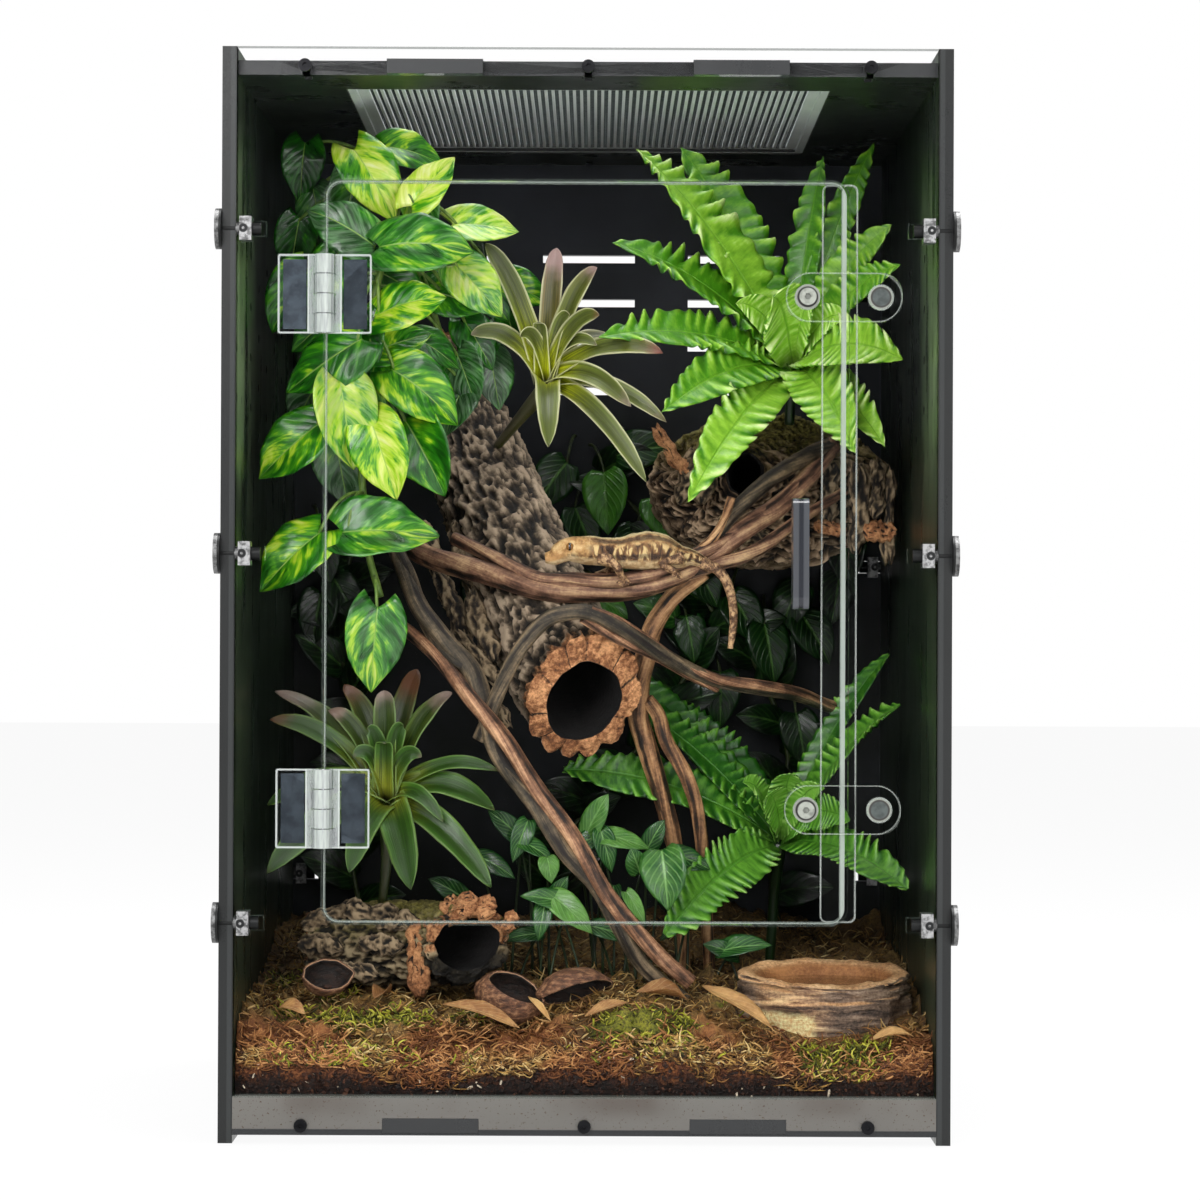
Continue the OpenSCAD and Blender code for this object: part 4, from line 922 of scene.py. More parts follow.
# Each green clump of moss: its place and its reach
GREEN_CLUMPS = (
    (-108, 26, 13), (-92, 24, 13), (-76, 22, 11), (-124, 34, 10), (10, 15, 9), (26, 14, 11), (40, 17, 8),
    (98, 10, 9), (112, 12, 9), (124, 11, 6), (-132, 98, 16), (-108, 60, 10), (-50, 36, 8), (-6, 60, 8),
    (62, 46, 8))


def depth_share(depth):
    """0 at the front sheet's inner face and 1 at the back panel's."""
    return (depth - INSIDE["front"]) / (INSIDE["back"] - INSIDE["front"])


def near_front(depth):
    """1 at the front sheet, falling to 0 a little behind it."""
    return np.clip(1 - (depth - INSIDE["front"]) / 8, 0, 1)


def ground(x, depth):
    """Height of the soil in millimetres; it slumps a little towards the front sheet."""
    share, turn = depth_share(depth), x / INSIDE["half"]
    waves = 2.2 * np.sin(np.radians(turn * 250 + 30)) + 1.8 * np.sin(np.radians(turn * 430 + share * 300))
    dip = 7 * np.exp(-((x - 104) / 40) ** 2 - ((depth - 22) / 18) ** 2)
    return BASE_TOP + SOIL_DEPTH + 24 * share + waves - 11 * np.exp((INSIDE["front"] - depth) / 9) - dip


def bareness(x, depth):
    """How bare the soil lies at a place near the front sheet."""
    spot = lambda middle, reach: np.exp(-((x - middle) / reach) ** 2)
    spots = spot(-22, 30) + 0.9 * spot(62, 14) + 0.7 * spot(20, 12)
    return np.clip(spots, 0, 1) * np.clip((17 - depth) / 7, 0, 1)


def moss_top(x, depth):
    swell = 1 + 0.25 * np.sin(np.radians(x / INSIDE["half"] * 610 + depth_share(depth) * 520))
    return ground(x, depth) + MOSS_DEPTH * swell * (1 - 0.95 * bareness(x, depth))


def on_moss(x, depth, lift=0.0):
    return at(x, depth, moss_top(x, depth) + lift)


def greenness(x, depth):
    """How green the moss is at a place, from the clumps."""
    best = np.zeros(np.shape(x))
    for cx, cy, r in GREEN_CLUMPS:
        best = np.maximum(best, np.exp(-((x - cx) ** 2 + (1.6 * (depth - cy)) ** 2) / (r * r)))
    return best


def soil_finish():
    """Damp coir and bark soil: nearly black below, rusty and fibrous at its top."""
    f = Finish("soil")
    grain = f.noise(0.0016, 5, 0.75)
    clods = f.noise(0.009, 4, 0.65)
    top = (f.axis("Z") + clods * 0.018).step(0.031, 0.045)
    dark = f.ramp(grain, (0.36, (10, 4, 2)), (0.5, (28, 13, 6)), (0.62, (58, 28, 14)))
    rust = f.ramp(grain, (0.36, (42, 19, 8)), (0.5, (118, 62, 26)), (0.64, (184, 118, 64)))
    colour = f.mix(dark, rust, top)
    flecks = f.cells(0.005, vector=f.stretch(1, 1, 1.4)).step(0.16, 0.08) * f.noise(0.004, 1).step(0.55, 0.6)
    colour = f.mix(colour, (206, 188, 160), flecks)
    return f.surface(colour, 0.85, f.bump(grain + clods * 0.6, 0.0022, 1.0))


def crumb_finish():
    """Loose bits of bark, coir and husk, each with a shade of its own."""
    f = Finish("soil_crumbs")
    tone = f.point("tone")
    grain = f.noise(0.0009, 3, 0.7)
    colour = f.ramp(tone, (0.0, (14, 7, 4)), (0.35, (46, 24, 13)), (0.66, (112, 62, 30)),
                    (0.85, (160, 104, 58)), (0.97, (222, 206, 180)))
    colour = f.mix(colour, (18, 10, 6), grain.step(0.55, 0.35) * 0.6)
    return f.surface(colour, 0.8, f.bump(grain, 0.0004, 0.8))


def moss_finish(name, strands):
    """Sphagnum and cushion moss: straw gold, green in clumps, rusty with husk at the front, darkened by
    painted shade.
    """
    f = Finish(name)
    tone, green = f.points("tone", "mark")
    grain = f.noise(0.0013, 4, 0.7)
    patch = f.noise(0.016, 3, 0.6)
    shade = tone * 0.75 + grain * 0.5 - 0.12
    gold = f.ramp(shade, (0.1, (74, 46, 18)), (0.34, (140, 98, 42)), (0.6, (196, 154, 80)),
                  (0.9, (236, 208, 144)))
    fresh = f.ramp(shade, (0.1, (56, 62, 12)), (0.38, (124, 128, 22)), (0.64, (182, 180, 44)),
                   (0.95, (220, 212, 100)))
    colour = f.mix(gold, fresh, (green + patch * 0.35 - 0.17).step(0.25, 0.6))
    # Painted shade: the strands darken towards their roots, and the mat under them darkens in patches.
    depth = f.point("along").step(0.0, 0.6) * 0.85 + 0.15 if strands else grain.step(0.3, 0.6) * 0.44 + 0.1
    colour = f.mix((30, 20, 9), colour, depth)
    husk = f.ramp(shade, (0.1, (58, 27, 11)), (0.4, (126, 68, 29)), (0.9, (212, 146, 86)))
    rusty = f.axis("Y").step(FRONT + 0.034, FRONT + 0.012) * f.noise(0.03, 2, 0.5).step(0.4, 0.5)
    colour = f.mix(colour, husk, rusty * green.step(0.3, 0.1) * 0.8)
    # Painted shade: the moss darkens towards the back of the tank.
    back = f.axis("Y").step(-0.1, -0.03)
    colour = f.mix(colour, (24, 20, 8), back * 0.4)
    return f.surface(colour, 0.75, f.bump(grain, 0.0012, 0.7))


def bed(name, columns, rows, margin):
    """A thick sheet over the tank's floor: its object, its points, which are low, and where they lie."""
    drop = 0.03
    deselect()
    middle = at(0, (INSIDE["front"] + INSIDE["back"]) / 2, 0)
    bpy.ops.mesh.primitive_grid_add(x_subdivisions=columns, y_subdivisions=rows, size=1, location=middle)
    obj = bpy.context.object
    obj.name = name
    obj.scale = ((2 * INSIDE["half"] - margin) * MM, (INSIDE["back"] - INSIDE["front"] - margin) * MM, 1)
    settle(obj)
    edit(obj, lambda: extrude(0, 0, -drop))
    points = points_of(obj.data)
    x, y, z = points.T
    return obj, points, z < -drop / 2, x / MM, (y - FRONT) / MM, np.stack([x, y, x * 0], axis=1)


def build_soil():
    """A block of soil with a lumpy top, which reaches down to the base."""
    obj, points, low, x, y, flat = bed("soil_block", 190, 130, 0.6)
    high = ground(x, y) * MM + rough(flat, 0.012, 4, 1) * 0.0028 + rough(flat, 0.003, 3, 2) * 0.0012
    points[:, 2] = np.where(low, BASE_TOP * MM, high)
    # The front face stands back a little, so that loose bits show against the clear sheet
    points[:, 1] += near_front(y) * (1.7 + 0.5 * rough(flat, 0.006, 2, 3)) * MM
    dress(obj, points, soil_finish(), "soil", "substrate_soil")


def scatter_crumbs(count):
    """Loose bits of soil: two in three lie against the front sheet, the others on top."""
    rng = np.random.default_rng(11)
    ball, faces = crumb(1)
    nearest = FRONT + (INSIDE["front"] + 0.15) * MM
    bits = Bunch()
    for k in range(count):
        x = rng.uniform(-INSIDE["half"] + 2, INSIDE["half"] - 2)
        size = rng.uniform(0.45, 1.5) * (1.7 if rng.random() < 0.12 else 1) * MM
        if k % 3:
            depth = INSIDE["front"] + rng.uniform(0.5, 1.6) + size / MM * 0.5
            z = rng.uniform(BASE_TOP + 1, ground(x, INSIDE["front"] + 0.5) + 0.6)
        else:
            depth = INSIDE["front"] + 1.6 + rng.exponential(9)
            z = ground(x, depth) + 0.5
        axes = unit(rng.normal(size=(3, 3))) * (np.array([[1], [0.7], [0.5]]) * size)
        shade = rng.random() ** 1.3
        if k % 3:
            share = np.clip((z - 24) / 12, 0, 1)
            shade = shade * (0.5 + 0.3 * share) + 0.3 * share
        if rng.random() < 0.02:
            shade = 1.0
        laid = ball @ axes + at(x, depth, z)
        laid[:, 1] = np.maximum(laid[:, 1], nearest)
        bits.add(laid, faces, tone=shade)
    bits.plant("soil_crumbs", crumb_finish(), "soil", smooth=False)


def build_moss():
    """The lumpy moss mat, pressed flat under the dish and thin at the front sheet."""
    obj, points, low, x, y, flat = bed("moss_mat_surface", 210, 170, 1.0)
    clumps, fine = rough(flat, 0.013, 3, 5), rough(flat, 0.0035, 3, 6)
    bare, soil = bareness(x, y), ground(x, y)
    high = moss_top(x, y) + (clumps * 6.0 + fine * 2.6 - 2.4) * (1 - bare) - 2.5 * bare
    edge = np.clip((y - INSIDE["front"]) / 7, 0, 1)
    high = soil + (high - soil) * np.maximum(edge, 0.45)
    from_dish = np.hypot((x - DISH[0]) / 42, (y - DISH[1] + 8) / 42)
    high = np.where(from_dish < 1.02, np.minimum(high, soil + 1), high)
    floor = soil - 3
    points[:, 2] = np.where(low, floor, np.maximum(high, floor + 0.5)) * MM
    points[:, 1] += near_front(y) * (1.6 + 1.2 * clumps) * MM
    dress(obj, points, moss_finish("moss_mat", False), "moss", "moss_mat",
          tone=0.35 + 0.3 * clumps, mark=greenness(x, y), along=x * 0 + 1)


def strew_strands(name, count, front, fibre, rng):
    """Curling moss strands on the mat; in front they grow denser, and half of them edge the soil there."""
    least = at(-(INSIDE["half"] - 1), INSIDE["front"] + 0.7, 22)
    most = at(INSIDE["half"] - 1, INSIDE["back"] - 1, math.inf)
    strands, made = Bunch(), 0
    while made < count:
        x = rng.uniform(-INSIDE["half"] + 3, INSIDE["half"] - 3)
        depth = INSIDE["front"] + 1.2 + (rng.exponential(24) if front else rng.uniform(40, 260))
        if depth > INSIDE["back"] - 6:
            continue
        in_dish = np.hypot((x - DISH[0]) / 42, (depth - DISH[1] + 6) / 41) < 0.98
        if in_dish or rng.random() < bareness(x, depth) * 1.1:
            continue
        green = greenness(np.array(x), np.array(depth)) > rng.uniform(0.15, 0.9)
        edge = front and rng.random() < 0.5
        growth = 0.25 + 0.75 * (rough(np.array([x * MM, depth * MM, 0]), 0.02, 2, 9) + 0.5)
        thin = not edge and rng.random() > growth
        if thin and not green:
            continue
        made += 1
        foot = on_moss(x, depth, rng.uniform(-3.5, 0.4))
        hanging = False
        if edge:
            hang = min(7, 30 * max(0.0, float(rough(np.array([x * MM, 0.0, 0.0]), 0.024, 2, 31))))
            foot[1] = FRONT + (INSIDE["front"] + rng.uniform(0.8, 2.4)) * MM
            drop = rng.uniform(-2 - hang, 7)
            foot[2] = (ground(x, INSIDE["front"]) + drop) * MM
            hanging = drop < -2
        reach = rng.uniform(3, 9.5) * MM * (0.75 if green else 1.0)
        lean = rng.uniform(0, 2 * np.pi)
        rise = rng.uniform(0.25, 1.1) if green else rng.uniform(-0.1, 0.75)
        way = unit([np.cos(lean), np.sin(lean) * 0.7, rise])
        curl = unit(rng.normal(size=3)) * reach * rng.uniform(0.1, 0.4)
        path = np.clip(bow(foot, foot + way * reach, curl, 5), least, most)
        wide = rng.uniform(0.2, 0.5) * (1.2 if green else 1)
        shade = rng.random() * (0.55 if hanging else 1)
        strands.lay(fibre, path, np.array([1, 1.1, 0.9, 0.35]) * wide, face=(0.1, 0.2, 1),
                    tone=shade, mark=float(green and not hanging))
    strands.plant(name, moss_finish(name, True), "moss", outward=False)


# ---- Leaf litter, pods and dish ----

DISH = (104, 66)
# Each dry leaf: its two ends (a height of None rests it on the moss), its width and its shade
DRY_LEAVES = (
    ((-60, 20, 56), (-27, 11, 47), 7, 0.5), ((50, 32, 63), (79, 12, 47), 10, 0.7),
    ((-24, 24, 59), (-14, 11, 50), 3.2, 1.0), ((22, 36, None), (44, 40, None), 9, 0.4),
    ((-130, 28, None), (-118, 22, None), 7, 0.55), ((0, 16, None), (18, 20, None), 6, 0.5),
    ((-90, 40, None), (-84, 56, None), 8, 0.3), ((120, 12, None), (138, 14, None), 6, 0.85))


def dry_leaf_finish():
    """Dry curled leaf: tan and brown blotches, with a pale midrib and side veins."""
    f = Finish("dry_leaf")
    tone = f.point("tone")
    across, along = f.point("across").size(), f.point("along")
    blotch = f.noise(0.006, 4, 0.65)
    colour = f.ramp(blotch * 0.6 + tone * 0.4, (0.2, (84, 50, 26)), (0.45, (144, 98, 52)),
                    (0.65, (196, 152, 92)), (0.85, (218, 184, 126)))
    ribs = ((along - across * 0.8) * 44).math("SINE").step(0.75, 1.0)
    rib = across.step(0.03, 0.01).over(ribs * 0.4)
    colour = f.mix(colour, (224, 194, 140), rib * 0.5)
    return f.surface(colour, 0.62, f.bump(blotch + rib * 0.5, 0.0006, 0.8))


def oval_leaf(fold, curl):
    """Shape of a simple leaf: pointed at both ends, folded at its midrib, its edges curling."""
    def shape(x, y, z):
        wide = np.interp(y, [0, 0.08, 0.25, 0.5, 0.75, 0.92, 1], [0.06, 0.35, 0.82, 1, 0.74, 0.28, 0])
        out = np.abs(x) * wide
        lift = fold * out + curl * out * out * 4 * (0.4 + y)
        return x * wide, y, z * (0.4 + 0.6 * wide) + lift
    return shape


class TERRARIUM_OT_ground(bpy.types.Operator):
    """Lays the soil, the moss and its strands"""

    bl_idname = "terrarium.ground"
    bl_label = "Soil and Moss"

    def execute(self, context):
        look = context.scene.terrarium_look
        build_soil()
        scatter_crumbs(look.crumbs)
        build_moss()
        rng, fibre = np.random.default_rng(23), rod(4, 3)
        strew_strands("moss_strands_front", look.moss_strands, True, fibre, rng)
        strew_strands("moss_strands_back", look.moss_strands // 2, False, fibre, rng)
        return {"FINISHED"}


class TERRARIUM_OT_litter(bpy.types.Operator):
    """Scatters the dry leaves and the open seed pods"""

    bl_idname = "terrarium.litter"
    bl_label = "Leaf Litter and Pods"

    def execute(self, context):
        rng = np.random.default_rng(31)
        master = blade(14, 6, 0.05)
        leaves = Bunch()
        for first, last, wide, tone in DRY_LEAVES:
            a, b = (on_moss(x, depth, 2.5) if z is None else at(x, depth, z) for x, depth, z in (first, last))
            path = bow(a, b, (0, -0.001, rng.uniform(0.0005, 0.002)), 15)
            leaves.lay(master, path, wide, face=(0, -0.5, 1), twist=(0, rng.uniform(-0.6, 0.6)),
                       shape=oval_leaf(0.3, rng.uniform(0.1, 0.5)), tone=tone)
        leaves.plant("dry_leaves", dry_leaf_finish(), "dry_leaf", "leaf_litter")
        build_pods()
        return {"FINISHED"}


def pod_finish():
    """Woody pod: reddish brown skin outside, nearly black inside, and a pale worn rim."""
    f = Finish("seed_pod")
    inner = f.point("mark")
    grain = f.noise(0.0025, 5, 0.7, vector=f.stretch(0.5, 1.4, 1.4))
    skin = f.ramp(grain, (0.36, (58, 34, 20)), (0.5, (108, 70, 46)), (0.64, (166, 122, 86)))
    inside = f.ramp(grain, (0.4, (14, 8, 5)), (0.6, (44, 26, 16)))
    colour = f.mix(skin, inside, inner.step(0.55, 0.75))
    rim = inner.step(0.3, 0.45) * inner.step(0.7, 0.55)
    colour = f.mix(colour, (188, 148, 112), rim * 0.8)
    return f.surface(colour, 0.6, f.bump(grain, 0.0014, 1.0))


# Each pod: its place, its turn, length and radius, how it tips, and how high it is cut open
PODS = (
    ((-110, 40, 66), 24, 23, 8.5, (0.95, -0.3), 0.1), ((-32, 27, 58.5), -14, 31, 11.5, (0.5, 0.26), 0.56),
    ((-4, 32, 61), 10, 34, 9.5, (2.72, 0.1), 0.12))


def pod_shell(k, place, turn, long, radius, tip, cut):
    """One pod: a stretched ball, cut open above, given a wall and roughened; and which points are inside."""
    deselect()
    bpy.ops.mesh.primitive_uv_sphere_add(segments=36, ring_count=24, radius=1, rotation=(0, math.pi / 2, 0))
    obj = bpy.context.object
    settle(obj)
    edit(obj, lambda: bpy.ops.mesh.bisect(plane_co=(0, 0, cut), plane_no=(0.3, 0.1, 1), clear_outer=True))
    points = points_of(obj.data)
    along = points[:, 0]
    points[:, 1:] *= (1 - 0.35 * along ** 4)[:, None]
    points *= np.array([long / 2, radius, radius]) * MM
    points += rough(points, 0.006, 3, 40 + k)[:, None] * 0.0008 * unit(points)
    move_points(obj.data, points)
    outer = len(points)
    apply_modifier(obj, "SOLIDIFY", thickness=0.0013, offset=-1)
    points, faces = take(obj)
    turns = ((math.radians(turn), "Z"), (tip[0], "X"), (tip[1], "Y"))
    first, second, third = (Matrix.Rotation(angle, 3, axis) for angle, axis in turns)
    return points @ np.array(first @ second @ third).T + at(*place), faces, np.arange(len(points)) >= outer


def build_pods():
    """The open pods, and a few seeds in the first two."""
    shells = Bunch()
    for k, pod in enumerate(PODS):
        points, faces, inside = pod_shell(k, *pod)
        shells.add(points, faces, tone=k / len(PODS), mark=inside)
    shells.plant("seed_pod_shells", pod_finish(), "seed_pod", "seed_pods")
    seeds = Bunch()
    rng = np.random.default_rng(37)
    ball, faces = crumb(2)
    for place, _, long, *_ in PODS[:2]:
        for _ in range(5):
            off = np.array([rng.uniform(-0.2, 0.2) * long, rng.uniform(-2, 3), rng.uniform(-6, -4)]) * MM
            seed = ball * np.array([1.6, 1.2, 1.0]) * MM * rng.uniform(0.7, 1.2)
            seeds.add(seed + (at(*place) + off), faces, tone=rng.random() * 0.5)
    seeds.plant("pod_seeds", crumb_finish(), "seed_pod", outward=False)


def dish_finish():
    """Cast-resin rock: layered strata, tan on top, a pale block low in front, and greyer at both sides."""
    f = Finish("resin_rock")
    strata = f.noise(0.006, 5, 0.65, 0.5, vector=f.stretch(0.24, 0.24, 1.8))
    grain = f.noise(0.0013, 4, 0.65)
    patch = f.noise(0.012, 3, 0.6)
    side = f.ramp(strata * 0.8 + grain * 0.2, (0.38, (62, 46, 37)), (0.47, (140, 106, 80)),
                  (0.54, (204, 165, 122)), (0.64, (255, 222, 168)))
    x = f.axis("X") + patch * 0.012 - 0.006
    grey = f.ramp(strata * 0.7 + grain * 0.3, (0.4, (53, 44, 37)), (0.52, (121, 102, 88)),
                  (0.62, (174, 153, 135)))
    side = f.mix(side, grey, x.step(0.096, 0.108).over(x.step(0.078, 0.070)) * 0.85)
    pale = x.step(0.099, 0.096) * x.step(0.073, 0.076) * (f.axis("Z") + patch * 0.004).step(0.054, 0.051)
    side = f.mix(side, f.ramp(grain, (0.36, (226, 180, 116)), (0.6, (255, 244, 182))), pale * 0.9)
    top = f.ramp(grain * 0.6 + patch * 0.4, (0.38, (169, 118, 74)), (0.5, (218, 167, 114)),
                 (0.62, (255, 213, 160)))
    colour = f.mix(side, top, f.normal("Z").step(0.35, 0.8) * 0.85)
    basin = f.ramp(grain * 0.5 + patch * 0.5, (0.38, (142, 90, 51)), (0.62, (204, 144, 90)))
    colour = f.mix(colour, basin, f.point("mark"))
    return f.surface(colour, 0.6, f.bump(strata * 1.4 + grain * 0.4, 0.0016, 1.0))


def water_finish():
    """A thin sheet of still water over the basin's floor."""
    f = Finish("dish_water")
    ripple = f.noise(0.02, 2, 0.4)
    colour = f.mix((150, 106, 68), (176, 130, 88), ripple.step(0.35, 0.65))
    return f.surface(colour, 0.04, f.bump(ripple, 0.0006, 0.25), Alpha=ripple * 0.05 + 0.35, IOR=1.33)


# The dish rises up its outside, over its rim and down into its basin: (height share, outline share)
DISH_LEVELS = (
    (0.12, 0.95), (0.3, 0.97), (0.42, 0.98), (0.5, 0.94), (0.58, 0.955), (0.7, 0.96), (0.8, 0.93),
    (0.88, 0.97), (0.96, 0.96), (1.0, 0.92), (0.99, 0.84), (0.96, 0.78), (0.86, 0.73), (0.7, 0.69),
    (0.6, 0.62), (0.56, 0.44), (0.55, 0.22), (0.55, 0.03))


def climb():
    """Draws the selected circle up through the dish's levels."""
    before, share = 0.0, 0.97
    bpy.ops.transform.resize(value=(share, share, 1))
    for height, wide in DISH_LEVELS:
        extrude(0, 0, height - before)
        bpy.ops.transform.resize(value=(wide / share, wide / share, 1))
        before, share = height, wide


def build_rock(low, high):
    """The dish: a circle drawn up and in, then broken into crags and ledges."""
    size, centre = high - low, (low + high) / 2
    deselect()
    bpy.ops.mesh.primitive_circle_add(vertices=96, radius=1, fill_type="NGON", location=(0, 0, 0))
    obj = bpy.context.object
    obj.name = "rock_water_dish"
    edit(obj, climb)
    edit(obj, lambda: bpy.ops.mesh.subdivide(number_cuts=1, smoothness=0.2))
    points = points_of(obj.data)
    angle = np.arctan2(points[:, 1], points[:, 0])
    reach = np.hypot(points[:, 0], points[:, 1])
    height = points[:, 2].copy()
    around = lambda wide, tall: np.stack([np.cos(angle) * wide, np.sin(angle) * wide, height * tall], axis=1)
    crags = rough(around(1, 0.2), 0.45, 3, 51)
    steps = rough(around(0.8, 5), 0.5, 3, 52)
    ledges = rough(around(0.5, 11), 0.5, 2, 54)
    outer = np.clip((reach - 0.72) / 0.15, 0, 1)
    bulge = 1 + outer * (0.05 * crags + (0.06 * steps + 0.035 * ledges) * (height < 0.97))
    rim = np.exp(-((reach - 0.88) / 0.09) ** 2) * (height > 0.7)
    points[:, 0] *= size.x / 2 / 0.985 * bulge
    points[:, 1] *= size.y / 2 / 0.985 * bulge
    uneven = rim * 0.0014 * rough(around(1, 0.2), 0.3, 3, 53)
    points[:, 2] = height * size.z + uneven - (height > 0.9) * 0.0009
    # The rim leans towards the front, and the foot reaches down
    lean = np.clip(height - 0.3, 0, 1) * (points[:, 1] * 0.16 - 0.0052)
    points[:, 2] += lean - 0.02 * np.clip(0.34 - height, 0, 1)
    points += np.array([centre.x, centre.y, low.z])
    points[:, :2] = np.clip(points[:, :2], np.array(low)[:2], np.array(high)[:2])
    mark = (reach < 0.79) * np.clip((0.985 - height) / 0.08, 0, 1) * (height > 0.2)
    dress(obj, points, dish_finish(), "resin_rock", "water_dish", mark=mark)


def build_water(low, high):
    """The thin disc of water in the dish."""
    size, centre = high - low, (low + high) / 2
    deselect()
    bpy.ops.mesh.primitive_circle_add(vertices=64, radius=0.0272, fill_type="NGON",
                                      location=(centre.x, centre.y, low.z + size.z * 0.68))
    water = bpy.context.object
    water.name = "dish_water"
    water.scale = (1, size.y / size.x, 1)
    settle(water)
    edit(water, lambda: extrude(0, 0, -0.0012))
    face_outward(water)
    water.data.materials.append(water_finish())
    plant(water, "resin_rock")


class TERRARIUM_OT_dish(bpy.types.Operator):
    """Builds the rock-like water dish and its water"""

    bl_idname = "terrarium.dish"
    bl_label = "Water Dish"

    def execute(self, context):
        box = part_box("water_dish")
        build_rock(*box)
        build_water(*box)
        return {"FINISHED"}


# ---- Cork and branches ----

def bark_finish(name, deep, outer, light, cut_low, cut_high, moss_line=None):
    """Cork bark: crumbly ridges over dark pits, orange-tan where it is cut, and moss above a height."""
    f = Finish(name)
    crack, kind = f.points("tone", "mark")
    grain = f.noise(0.0022, 5, 0.75)
    patch = f.noise(0.016, 4, 0.6)
    # Pits dark and ridges pale: partly the bark's own colour, partly painted shade and highlight.
    shade = crack * 0.62 + grain * 0.42 + patch * 0.24 - 0.12
    colour = f.ramp(shade, (0.28, dim(deep, 0.35)), (0.42, deep), (0.56, outer), (0.74, light))
    if moss_line:
        up = (f.axis("Z") + patch * 0.03 - 0.015).step(*moss_line) * (crack + grain).step(0.5, 0.9)
        moss = f.ramp(grain, (0.34, (40, 38, 10)), (0.52, (110, 104, 38)), (0.68, (168, 158, 76)))
        colour = f.mix(colour, moss, up * 0.9)
    tan = f.ramp(grain * 0.6 + patch * 0.4, (0.38, dim(cut_low, 0.6)), (0.46, cut_low),
                 (0.52, between(cut_low, cut_high)), (0.6, cut_high))
    # Dark cracks on the cut face, partly painted shade.
    tan = f.mix((34, 20, 12), tan, (crack + grain * 0.5).step(0.3, 0.56))
    colour = f.mix(colour, tan, (kind + grain * 0.3 - 0.15).step(0.35, 0.6))
    # Painted shade: the bore of a tube is nearly black.
    bore = f.ramp(grain, (0.3, (3, 2, 2)), (0.7, (16, 10, 8)))
    colour = f.mix(colour, bore, f.point("along").step(0.4, 0.8))
    return f.surface(colour, 0.85, f.bump(grain + patch * 0.3, 0.0012, 1.0))


